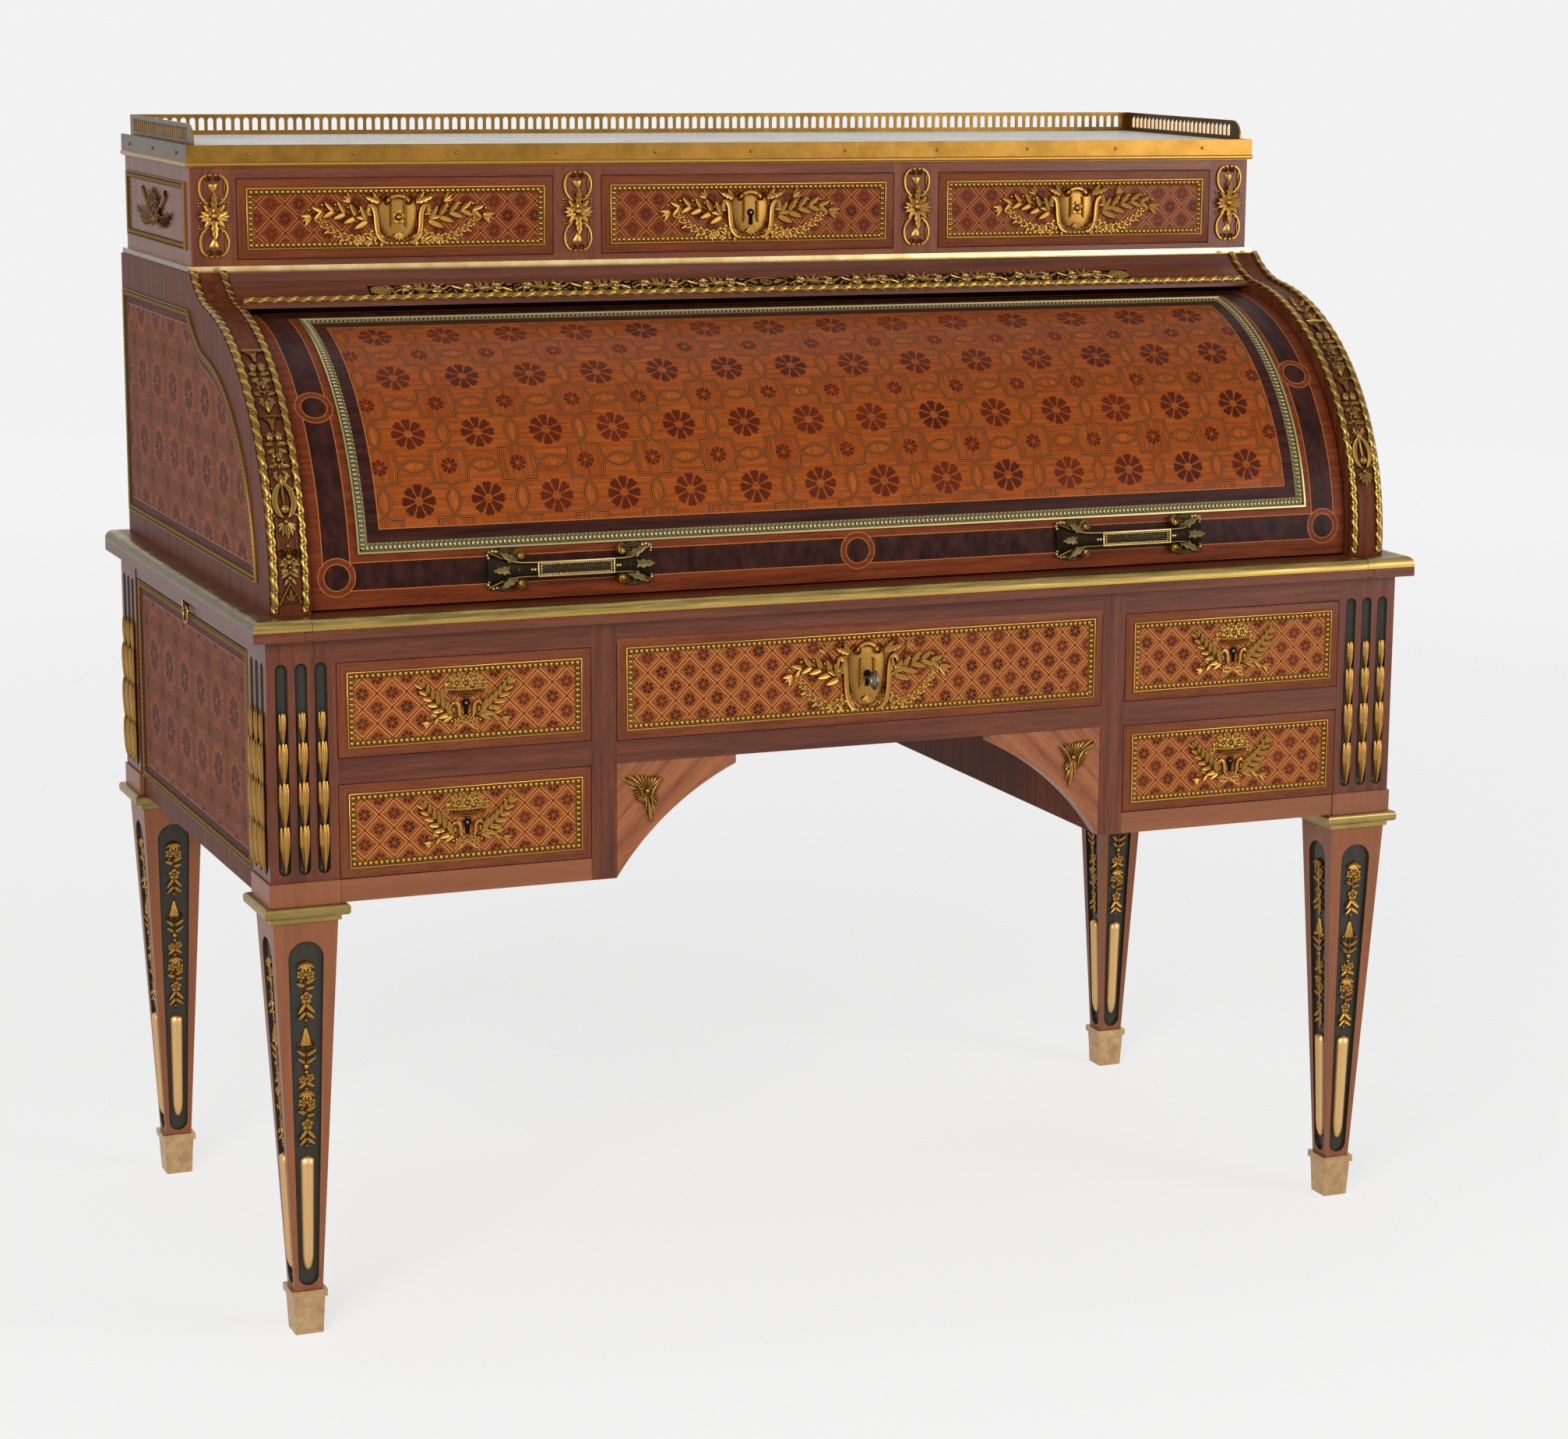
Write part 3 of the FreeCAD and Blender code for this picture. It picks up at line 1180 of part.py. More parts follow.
# Marble slab in its brass band, and the pierced gallery
band_side = case_half + dim.band_thickness
band_front = case_front - dim.band_thickness
band_top = case_top + dim.band_height
band_z = (case_top, band_top)
node("marble_top", board("marble", (-case_half, case_half), (case_front, case_rear),
                         (case_top, band_top - dim.marble_sink)))
band_parts = [board("band_front", (-band_side, band_side), (band_front, case_front), band_z)]
for name, side in LEFT_RIGHT:
    band_parts.append(board(f"band_side_{name}", span(side, case_half, band_side), (case_front, case_rear),
                            band_z))
group("top_edge_band", band_parts)


def arcade(length, front_end):
    """An upright plate pierced by round-headed holes; front_end rounds its upper corner at length zero."""
    foot = 0.0
    head = float(dim.gallery_height + dim.marble_sink)
    at = lambda u, z: FreeCAD.Vector(u, 0, z)
    bend = float(dim.gallery_end_radius) if front_end else 0.0
    if front_end:
        turn = bend * (1 - math.sqrt(0.5))
        start = [line(at(0, foot), at(0, head - bend)),
                 arc(at(0, head - bend), at(turn, head - turn), at(bend, head))]
    else:
        start = [line(at(0, foot), at(0, head))]
    outline = Part.Wire(start + [line(at(bend, head), at(length, head)),
                                 line(at(length, head), at(length, foot)),
                                 line(at(length, foot), at(0, foot))])
    pitch = float(dim.gallery_pitch)
    half = float(dim.gallery_hole_width / 2)
    first = bend + pitch / 2
    count = int((length - first - half) / pitch)
    low = float(dim.gallery_hole_foot + dim.marble_sink)
    spring = head - float(dim.gallery_hole_head) - half
    holes = []
    for k in range(count):
        u = first + half + pitch * k
        holes.append(Part.Wire([line(at(u - half, low), at(u - half, spring)),
                                arc(at(u - half, spring), at(u, spring + half), at(u + half, spring)),
                                line(at(u + half, spring), at(u + half, low)),
                                line(at(u + half, low), at(u - half, low))]))
    plate = Part.Face([outline] + holes)
    plate.validate()
    return plate.extrude(vector(0, dim.gallery_plate, 0))


gallery_foot = band_top - dim.marble_sink
gallery_half = case_half - dim.gallery_inset
gallery_rear = case_rear - dim.gallery_inset
gallery_back = arcade(float(2 * gallery_half), False)
gallery_back.translate(vector(-gallery_half, gallery_rear - dim.gallery_plate, gallery_foot))
gallery_parts = [gallery_back]
for name, side in LEFT_RIGHT:
    end = arcade(float(gallery_rear - dim.gallery_plate - case_front - dim.gallery_inset), True)
    end.rotate(FreeCAD.Vector(), FreeCAD.Vector(0, 0, 1), 90)
    end_x = gallery_half if side > 0 else dim.gallery_plate - gallery_half
    end.translate(vector(end_x, case_front + dim.gallery_inset, gallery_foot))
    gallery_parts.append(end)
node("gallery", formed("gallery_form", Part.makeCompound(gallery_parts)))

# Check every object, then write one file for each node
doc.recompute()
for item in doc.Objects:
    if "Invalid" in item.State or "Error" in item.State:
        raise RuntimeError(f"{item.Name} failed: {item.State}")
for label, item in nodes.items():
    if item.Shape.isNull() or not item.Shape.isValid():
        raise RuntimeError(f"{label} has no valid shape")
os.makedirs("parts", exist_ok=True)
for label, item in nodes.items():
    item.Shape.exportStep(f"parts/{label}.step")
    print(label, len(item.Shape.Solids), round(item.Shape.Volume / 1000.0, 1))
print(len(nodes), "nodes")
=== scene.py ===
# %% [markdown]
# # A cylinder desk with marquetry and gilt bronze mounts
# The CAD model gives every board, drawer and moulding its true place. This lesson dresses it: it leaves
# the boards where they are, lays veneer and inlay on them, and replaces the plain trim with cast ornament.
# Loading comes first, because each later piece is measured from the boards that carry it.

# %% Load the frame
import json
import math
from collections import namedtuple

import bmesh
import bpy
import numpy as np
from mathutils import Matrix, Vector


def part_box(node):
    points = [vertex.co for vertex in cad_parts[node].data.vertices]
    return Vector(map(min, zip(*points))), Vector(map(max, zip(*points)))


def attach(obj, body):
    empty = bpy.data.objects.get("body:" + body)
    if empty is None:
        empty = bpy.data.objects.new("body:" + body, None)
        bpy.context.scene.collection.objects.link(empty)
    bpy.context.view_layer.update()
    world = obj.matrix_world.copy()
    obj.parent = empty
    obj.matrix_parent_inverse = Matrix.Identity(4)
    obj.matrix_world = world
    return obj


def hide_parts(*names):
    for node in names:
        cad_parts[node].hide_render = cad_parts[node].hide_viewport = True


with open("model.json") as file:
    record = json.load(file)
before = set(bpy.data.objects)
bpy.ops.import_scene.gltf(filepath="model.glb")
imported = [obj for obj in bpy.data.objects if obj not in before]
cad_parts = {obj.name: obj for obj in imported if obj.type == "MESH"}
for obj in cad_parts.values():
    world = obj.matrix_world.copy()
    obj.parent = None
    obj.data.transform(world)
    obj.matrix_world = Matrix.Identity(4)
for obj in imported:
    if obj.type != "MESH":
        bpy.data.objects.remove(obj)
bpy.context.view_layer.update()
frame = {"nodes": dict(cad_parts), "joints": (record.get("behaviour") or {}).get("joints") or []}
nodes = frame["nodes"]
MM = 0.001


def extent(node):
    """Lowest and highest corner of a CAD node, in millimetres."""
    low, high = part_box(node)
    return np.array(low) / MM, np.array(high) / MM


# %% [markdown]
# The camera stands where the photographer stood: a little to the left of the desk, above eye level for a
# seated person, with a long lens. Its place was worked out from corners of known size. The axes are
# written as three unit vectors, because a matrix from them has no doubt about the order of rotations.

# %% Camera
yaw, pitch, roll = np.radians([24.138, 11.994, 0.723])
eye = np.array([-1.6168, -4.0540, 1.4280])
focal_px, centre_px, image_px = 4809.5, np.array([1167.6, 1004.5]), np.array([2013.0, 1848.0])
level_right = np.array([math.cos(yaw), -math.sin(yaw), 0])
level_ahead = np.array([math.sin(yaw), math.cos(yaw), 0])
plumb = np.array([0, 0, 1.0])
ahead = level_ahead * math.cos(pitch) - plumb * math.sin(pitch)
above = plumb * math.cos(pitch) + level_ahead * math.sin(pitch)
view_right = level_right * math.cos(roll) + above * math.sin(roll)
view_up = above * math.cos(roll) - level_right * math.sin(roll)

lens = bpy.data.cameras.new("photo_camera")
lens.sensor_width = 36
lens.lens = focal_px / image_px[0] * lens.sensor_width
lens.shift_x = (image_px[0] / 2 - centre_px[0]) / image_px[0]
lens.shift_y = (centre_px[1] - image_px[1] / 2) / image_px[0]
camera = bpy.data.objects.new("photo_camera", lens)
camera.matrix_world = Matrix(np.vstack([np.column_stack([view_right, view_up, -ahead, eye]), [0, 0, 0, 1]]))
bpy.context.scene.collection.objects.link(camera)
bpy.context.scene.camera = camera
print(f"lens {lens.lens:.1f} mm, shift {lens.shift_x:.3f} {lens.shift_y:.3f}")

# %% [markdown]
# A finish is a small graph of nodes. One helper turns the sRGB colour that a painter would read off a
# sample into the linear numbers that light is added up in, and one adds a node, sets it, links it and
# returns its output as a signal. Signals are added, multiplied and compared with the usual signs. A few
# graphs that come up again and again, such as clouds of noise, have a function of their own.

# %% Helpers for finishes
def linear(code):
    """sRGB hex to linear RGBA: below 0.04045 divide by 12.92, above it a power of 2.4."""
    share = np.array([int(code[i:i + 2], 16) for i in (1, 3, 5)]) / 255
    light = np.where(share <= 0.04045, share / 12.92, ((share + 0.055) / 1.055) ** 2.4)
    return (*light, 1.0)


def fed(value):
    """What a socket takes: a colour code becomes linear light, anything else stays."""
    return linear(value) if isinstance(value, str) else value


class Signal:
    """A node's output that can be reckoned with: each sign adds one node of arithmetic. A comparison gives
    a mask, 1 where it holds and 0 elsewhere."""

    def __init__(self, tree, socket):
        self.tree = tree
        self.socket = socket

    def __abs__(self):
        return wire(self.tree, "ABSOLUTE", self)

    def __add__(self, other):
        return wire(self.tree, "ADD", self, other)

    def __sub__(self, other):
        return wire(self.tree, "SUBTRACT", self, other)

    def __rsub__(self, other):
        return wire(self.tree, "SUBTRACT", other, self)

    def __mul__(self, other):
        return wire(self.tree, "MULTIPLY", self, other)

    def __truediv__(self, other):
        return wire(self.tree, "DIVIDE", self, other)

    def __lt__(self, other):
        return wire(self.tree, "LESS_THAN", self, other)

    def __gt__(self, other):
        return wire(self.tree, "GREATER_THAN", self, other)


def wire(tree, kind, *inputs, out=0, **settings):
    """Add a node, feed its inputs in order or by capitalised name, set the rest and return an output."""
    arithmetic = kind.isupper()
    node = tree.nodes.new("ShaderNodeMath" if arithmetic else f"ShaderNode{kind}")
    if arithmetic:
        node.operation = kind
    named = {name: value for name, value in settings.items() if name[0].isupper()}
    for name in settings.keys() - named.keys():
        setattr(node, name, settings[name])
    sockets = list(zip(node.inputs, inputs))
    sockets += [(node.inputs[name.replace("_", " ")], value) for name, value in named.items()]
    for socket, value in sockets:
        if isinstance(value, Signal):
            tree.links.new(value.socket, socket)
        elif value is not None:
            socket.default_value = fed(value)
    found = node.outputs[out]
    return [Signal(tree, socket) for socket in found] if isinstance(out, slice) else Signal(tree, found)


def finish(name, **sockets):
    """A material with one Principled shader whose named sockets hold values; its tree is ready for more."""
    material = bpy.data.materials.new(name)
    material.use_nodes = True
    shader = material.node_tree.nodes["Principled BSDF"]
    for socket, value in sockets.items():
        shader.inputs[socket.replace("_", " ")].default_value = fed(value)
    return material, material.node_tree


def drive(material, **sockets):
    """Link signals to the Principled shader's named sockets and return the material."""
    shader = material.node_tree.nodes["Principled BSDF"]
    for socket, value in sockets.items():
        material.node_tree.links.new(value.socket, shader.inputs[socket.replace("_", " ")])
    return material


def larger(a, b):
    """The larger of two signals, or the area inside either of two masks."""
    return wire(a.tree, "MAXIMUM", a, b)


def smaller(a, b):
    """The smaller of two signals."""
    return wire(a.tree, "MINIMUM", a, b)


def mix(share, first, second):
    """The first colour where the share is 0, the second where it is 1."""
    return wire(share.tree, "MixRGB", share, first, second)


def ramp(signal, *limits):
    """Stretch the range between the first two limits to 0 and 1, or to the next two, and clamp the rest."""
    return wire(signal.tree, "MapRange", signal, *limits)


def turned(vector, rotation):
    """A vector turned about the three axes."""
    return wire(vector.tree, "Mapping", vector, Rotation=rotation)


def axes_of(vector):
    """The three numbers of a vector."""
    return wire(vector.tree, "SeparateXYZ", vector, out=slice(None))


def hypotenuse(a, b):
    """The length of a vector in the plane."""
    return wire(a.tree, "VectorMath", wire(a.tree, "CombineXYZ", a, b), operation="LENGTH", out="Value")


def noise(vector, size, detail, roughness=0.5, **settings):
    """Clouds from 0 to 1 whose size, in millimetres, is one number or one for each axis."""
    scale = tuple(1 / np.broadcast_to(np.array(size, float), 3))
    spread = wire(vector.tree, "Mapping", vector, Scale=scale)
    return wire(vector.tree, "TexNoise", spread, None, 1.0, detail, roughness, **settings)


MID_GREY = "#808080"
print("mid grey is", round(linear(MID_GREY)[0], 3), "in linear light")

# %% [markdown]
# The setting is a photographer's pale floor under broad soft lamps. A wall would hide the back of the desk
# from other views, so there is only a floor, and the sky above it is the same near-white to the camera and
# to polished surfaces. The floor adds plain white to what they see, more with distance. So it runs into the
# sky without a line, and near the desk it still takes the shadow.

# %% Floor and light
def ray(tree, kind):
    """1 for a ray of the kind."""
    return wire(tree, "LightPath", out=f"Is {kind} Ray")


reach, BACKDROP, AMBIENT = 30.0, "#f2f2f2", 0.3
floor_mesh = bpy.data.meshes.new("floor")
floor_mesh.from_pydata([(-reach, -reach, 0), (reach, -reach, 0), (reach, reach, 0), (-reach, reach, 0)], [],
                       [(0, 1, 2, 3)])
floor = bpy.data.objects.new("floor", floor_mesh)
bpy.context.scene.collection.objects.link(floor)

floor_paint, tree = finish("matt_white_paint", Base_Color="#f2f2f1", Roughness=0.9, Specular_IOR_Level=0.1)
painted = Signal(tree, tree.nodes["Principled BSDF"].outputs[0])
seen = larger(ray(tree, "Camera"), ray(tree, "Glossy"))
distance = wire(tree, "VectorMath", wire(tree, "TexCoord", out="Object"), operation="LENGTH", out="Value")
share = ramp(distance, 1.0, 7.0, 0.7, 1.0)
dimmed = ramp(distance, 2.0, 8.0, 1.0, linear(BACKDROP)[0])
glow = wire(tree, "Emission", "#ffffff", dimmed)
mixed = wire(tree, "MixShader", seen * share, painted, glow)
tree.links.new(mixed.socket, tree.nodes["Material Output"].inputs["Surface"])
floor_mesh.materials.append(floor_paint)

world = bpy.data.worlds.new("studio")
bpy.context.scene.world = world
world.use_nodes = True
tree = world.node_tree
seen = larger(larger(ray(tree, "Camera"), ray(tree, "Transmission")), ray(tree, "Glossy"))
strength = wire(tree, "MULTIPLY_ADD", seen, 1.0 - AMBIENT, AMBIENT)
tree.links.new(strength.socket, tree.nodes["Background"].inputs["Strength"])
tree.nodes["Background"].inputs["Color"].default_value = linear(BACKDROP)


def soft_lamp(name, place, aim, width, height, watts):
    """A rectangular lamp at a place in metres, turned towards a point."""
    lamp = bpy.data.lights.new(name, "AREA")
    lamp.shape, lamp.size, lamp.size_y, lamp.energy = "RECTANGLE", width, height, watts
    thing = bpy.data.objects.new(name, lamp)
    away = np.array(place) - np.array(aim)
    away = away / np.linalg.norm(away)
    across = np.cross(plumb, away)
    across = across / np.linalg.norm(across)
    axes = np.column_stack([across, np.cross(away, across), away, place])
    thing.matrix_world = Matrix(np.vstack([axes, [0, 0, 0, 1]]))
    bpy.context.scene.collection.objects.link(thing)


soft_lamp("key_lamp", (-3.0, -3.8, 2.5), (0, 0, 0.6), 2.2, 1.8, 150)
soft_lamp("fill_lamp", (3.2, -3.4, 1.5), (0, 0, 0.6), 2.2, 2.0, 85)
soft_lamp("top_lamp", (0.3, 1.2, 4.2), (0, 0, 0.8), 3.0, 2.4, 16)
bpy.context.scene.view_settings.view_transform = "Standard"
print("floor and three lamps")

# %% [markdown]
# Every new piece is a sheet of points on a grid, joined by four-sided faces. A patch holds its points in
# millimetres, the corner numbers of its faces and, for each point, a place on the flat sheet: two lengths
# that a veneer pattern follows, and a third number for how far the spot stands out, which the gilding uses.

# %% Patches and pieces
Patch = namedtuple("Patch", "points quads flat")


def grid(*coordinates):
    """Points from coordinates whose shapes are matched first."""
    return np.stack(np.broadcast_arrays(*coordinates), axis=-1)


def patch(points, flat=None):
    """A grid of points (rows, columns, 3) with each row's last point joined to its first."""
    rows, columns = points.shape[:2]
    row = np.arange(rows - 1)[:, None] * columns
    column = np.arange(columns)
    after = (column + 1) % columns
    quads = np.stack([row + column, row + after, row + columns + after, row + columns + column], axis=-1)
    flat = np.zeros(points.shape) if flat is None else np.broadcast_to(flat, points.shape)
    return Patch(points.reshape(-1, 3), quads.reshape(-1, 4), flat.reshape(-1, 3))


def joined(patches):
    """Several patches as one, their corner numbers moved along."""
    starts = np.cumsum([0] + [len(p.points) for p in patches[:-1]])
    return Patch(np.concatenate([p.points for p in patches]),
                 np.concatenate([p.quads + start for p, start in zip(patches, starts)]),
                 np.concatenate([p.flat for p in patches]))


def lay(shape, origin, right=(1, 0, 0), up=(0, 0, 1)):
    """Carry a patch from sheet axes (right, up, out) to a place on the desk; out is right cross up."""
    axes = np.array([right, up, np.cross(right, up)], float)
    return shape._replace(points=np.array(origin, float) + shape.points @ axes)


def laid(patches, *place):
    """Several patches carried to the same place."""
    return [lay(shape, *place) for shape in patches]


def moved(shape, scale=1.0, shift=0.0):
    """A patch scaled and then shifted, both given as one number or as one for each axis."""
    return shape._replace(points=shape.points * np.array(scale) + np.array(shift))


CHASED = 60


def piece(name, patches, body, material, replaced=(), sharp=40):
    """Make one mesh object of closed patches: doubles merged, faces turned outwards, riding on a body.
    Edges that bend by more than the sharp angle, in degrees, keep a crease; chased bronze has fewer."""
    whole = joined(patches)
    mesh = bpy.data.meshes.new(name)
    mesh.from_pydata((whole.points * MM).tolist(), [], whole.quads.tolist())
    mesh.attributes.new("flat", "FLOAT_VECTOR", "POINT").data.foreach_set("vector", whole.flat.ravel())
    work = bmesh.new()
    work.from_mesh(mesh)
    bmesh.ops.remove_doubles(work, verts=work.verts, dist=1e-6)
    bmesh.ops.recalc_face_normals(work, faces=work.faces)
    work.to_mesh(mesh)
    work.free()
    mesh.shade_smooth()
    mesh.set_sharp_from_angle(angle=math.radians(sharp))
    mesh.materials.append(material)
    thing = bpy.data.objects.new(name, mesh)
    bpy.context.scene.collection.objects.link(thing)
    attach(thing, body)
    if replaced:
        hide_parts(*replaced)
    print(f"{name}: {len(mesh.polygons)} faces")


def slab(front, back, flat):
    """A closed thin sheet between two grids; the first and last rows fold shut on their middle line."""
    ring = np.concatenate([front, back[:, ::-1]], axis=1)
    shut = (front + back) / 2
    shut = np.concatenate([shut, shut[:, ::-1]], axis=1)
    flat = np.concatenate([flat, flat[:, ::-1]], axis=1)
    return patch(np.concatenate([shut[:1], ring, shut[-1:]]), np.concatenate([flat[:1], flat, flat[-1:]]))


print("patch helpers ready")

# %% [markdown]
# Most of the desk is mahogany under French polish: many thin coats of shellac rubbed to a mirror. The wood
# gives long streaks of lighter and darker red-brown with short dark pores, and the shellac a clear gloss
# over them, so the shader has a rough wood base and a smooth coat. The streaks are one noise, stretched
# along the grain, and the pores a finer one.

# %% Mahogany
def grain(vector, dark, light, figure=11.0, length=230.0, pore=0.8):
    """Colour and pore height of wood whose grain runs along x of a vector in millimetres."""
    broad = noise(vector, (length, figure, figure), 4.0, 0.62)
    fine = noise(vector, (22 * pore, pore, pore), 2.0)
    colour = mix(ramp(broad, 0.32, 0.68), dark, light)
    pores = ramp(fine, 0.32, 0.46, 0.45, 0.0)
    return mix(pores, colour, "#2a120c"), fine


def bevelled_light(height, depth):
    """Normals from a height map whose relief is so many millimetres deep."""
    return wire(height.tree, "Bump", Strength=0.5, Distance=depth * MM, Height=height)


UPRIGHT, ACROSS, BACKWARD = (0, math.pi / 2, 0), (0, 0, 0), (0, 0, -math.pi / 2)
APRON_LEVEL, BLOCK_LEVEL = 504.0, 505.0
POLISH = dict(Roughness=0.4, Specular_IOR_Level=0.25, Coat_Weight=0.1, Coat_Roughness=0.1)


def board_vector(tree, turn):
    """Object coordinates in millimetres, turned so that the grain runs along x."""
    return wire(tree, "Mapping", wire(tree, "TexCoord", out="Object"), Rotation=turn,
                Scale=(1000, 1000, 1000))


def solid_wood(name, turn, dark, light, **polish):
    """Polished wood on a CAD board, its grain along the axis that the turn brings to x."""
    material, tree = finish(name, **(POLISH | polish))
    colour, pores = grain(board_vector(tree, turn), dark, light)
    return drive(material, Base_Color=colour, Normal=bevelled_light(pores, 0.05))


def dress(material, *names):
    """Give CAD nodes a finish through their own material slots."""
    for name in names:
        for holder in nodes[name].material_slots:
            holder.material = material


def painted_floor_bounce(height, level, colour):
    """Wood under a level is painted paler for the floor's bounced light: the colour mixed with light brown.
    """
    return mix((height < level) * 0.3, colour, "#c07a4e")


def framed_wood(name, stiles, dark, light):
    """Polished wood with the grain across on rails and upright on stiles, each a range of distances from
    x 0; outside the first stile the foot of the board is painted paler for the floor's bounced light."""
    material, tree = finish(name, **POLISH)
    x, _, z = axes_of(board_vector(tree, ACROSS))
    away = abs(x)
    colour, pores = grain(board_vector(tree, ACROSS), dark, light)
    upright, _ = grain(board_vector(tree, UPRIGHT), dark, light)
    for low, high in stiles:
        inside = wire(tree, "COMPARE", away, (low + high) / 2, (high - low) / 2)
        colour = mix(inside, colour, upright)
    beyond = away > stiles[0][1]
    colour = mix(beyond, colour, painted_floor_bounce(z, APRON_LEVEL, colour))
    return drive(material, Base_Color=colour, Normal=bevelled_light(pores, 0.05))


def slanted_wood(name, dark, light):
    """Polished veneer whose grain climbs at 45 degrees, mirrored about the middle of the desk."""
    material, tree = finish(name, **POLISH)
    x, y, z = axes_of(board_vector(tree, ACROSS))
    folded = wire(tree, "CombineXYZ", abs(x), y, z)
    colour, pores = grain(turned(folded, (0, -math.pi / 4, 0)), dark, light)
    return drive(material, Base_Color=colour, Normal=bevelled_light(pores, 0.05))


MAHOGANY, CASE_MAHOGANY = ("#4c2213", "#6f3920"), ("#5a2914", "#7d4122")
mahogany_across = solid_wood("french_polished_mahogany_across", ACROSS, *MAHOGANY)
mahogany_upright = solid_wood("french_polished_mahogany_upright", UPRIGHT, *MAHOGANY,
                              Specular_IOR_Level=0.04, Coat_Weight=0.0)
mahogany_backward = solid_wood("french_polished_mahogany_backward", BACKWARD, *MAHOGANY)
dress(mahogany_upright, "cheeks", "base_side_panels", "pedestal_walls")
dress(mahogany_across, "desk_top", "frieze_rail", "writing_slide")
dress(slanted_wood("french_polished_mahogany_slanted", "#7c4226", "#a0623a"), "spandrels")
kneehole_half, bay_inner = extent("drawer_centre")[1][0], extent("drawer_right_upper")[0][0]
dress(framed_wood("mahogany_front_frame", [(kneehole_half, bay_inner)], *MAHOGANY), "front_frame")
inner_stile = extent("case_drawer_centre")[1][0], extent("case_drawer_right")[0][0]
outer_stile = extent("case_drawer_right")[1][0], extent("upper_case")[1][0] + 1
dress(framed_wood("mahogany_case_frame", [inner_stile, outer_stile], *CASE_MAHOGANY), "upper_case")
dress(mahogany_backward, "side_slide_left", "side_slide_right")
print("mahogany laid; the frame has", len(nodes), "nodes")

# %% [markdown]
# Marquetry is a jigsaw of thin veneers. Each wood has its own colour and its grain turns from piece to
# piece, so the patterns below first work out which piece a spot lies in, from lengths on the sheet, and
# then colour it with grain along the right direction. The flowers fold the plane into one petal: the angle
# runs up and down between two petals, and a stretched circle in that wedge is the petal.

# %% Veneer patterns
def sheet_place(tree):
    """The point's place on its flat sheet: two lengths in millimetres and the code of its zone."""
    place = wire(tree, "Attribute", attribute_name="flat", out="Vector")
    return place, *axes_of(place)


STRAP, BAR_END, BAR_HALF = 0.03, 0.33, 0.26


def flower(a, b, reach, petals=8):
    """1 inside a flower's petals: a stretched circle, less a bite from its tip and the gap to the next."""
    tree = a.tree
    wedge = wire(tree, "PINGPONG", wire(tree, "ARCTAN2", b, a), math.pi / petals)
    radius = hypotenuse(a, b)
    along = radius * wire(tree, "COSINE", wedge)
    across = radius * wire(tree, "SINE", wedge)
    length = wire(tree, "MULTIPLY_ADD", along, 1 / (0.38 * reach), -0.62 / 0.38)
    width = across * (1 / (0.72 * math.tan(math.pi / petals) * reach))
    petal = hypotenuse(length, width)
    tip = hypotenuse(along - 1.05 * reach, across)
    inside = (petal < 1.0) * (tip > 0.13 * reach)
    return inside * (wedge < 0.8 * math.pi / petals)


def veneer(place, dark, light, upright=False):
    """Colour of a veneer whose grain runs along the sheet's first length, or its second."""
    turn = BACKWARD if upright else ACROSS
    return grain(turned(place, turn), dark, light, 3.2, 60.0, 0.5)[0]


def lattice(tree, place, u, v, woods):
    """Strapwork of linked rings, one per pitch: rosettes in the rings and in the gaps between them.

    A ring is a cross of two bars with round ends, 0.26 pitch to each side of its axes; the ends reach past
    the cell's edge, so two neighbours share a lens. The plane is folded to one eighth of a cell, where the
    distance to the ring's edge is that to the axis's end, less 0.26. The strap runs along the edges; where
    two cross, the sign of the two lengths from the ring's middle, multiplied, says which lies on top."""
    a, b = wire(tree, "PINGPONG", u, 0.5), wire(tree, "PINGPONG", v, 0.5)
    far, near = larger(a, b), smaller(a, b)
    past_end = larger(far - BAR_END, 0.0)
    own = hypotenuse(past_end, near) - BAR_HALF
    before_next = 1 - BAR_END - far
    other = hypotenuse(before_next, near) - BAR_HALF
    ring = own < 0.0
    lens = larger(own, other) < 0.0
    column, row = wire(tree, "ROUND", u), wire(tree, "ROUND", v)
    chance = wire(tree, "TexWhiteNoise", wire(tree, "CombineXYZ", column, row), out="Value",
                  noise_dimensions="2D")
    gap = veneer(place, *woods["gap"], upright=True)
    colour = mix(ring, gap, veneer(place, *woods["ring"]))
    colour = mix(lens, colour, veneer(place, *woods["lens"], upright=True))
    blossom = larger(flower(a, b, 0.255), flower(0.5 - a, 0.5 - b, 0.125))
    dark = mix(chance, *woods["flower"])
    colour = mix(blossom * 0.9, colour, dark)
    corner = (u - column) * (v - row)
    top = corner > 0.0
    upper, lower = (abs(wire(tree, "Mix", top, None, *pair)) for pair in ((other, own), (own, other)))
    strap = wire(tree, "Mix", upper < STRAP, None, lower, upper)
    colour = mix(strap < STRAP, colour, woods["line"])
    tan = abs(strap - 0.5 * STRAP) < 0.24 * STRAP
    return mix(tan, colour, woods["strap"])


print("veneer patterns ready")

# %% [markdown]
# The cylinder is the show piece: a field of satinwood and tulipwood strapwork inside a gilt frame, and
# round it dark kingwood panels between light strings, with a small roundel at the corners and half way up.
# The distance from the frame, the larger of its two parts, tells the band; circles cut in over the bands.

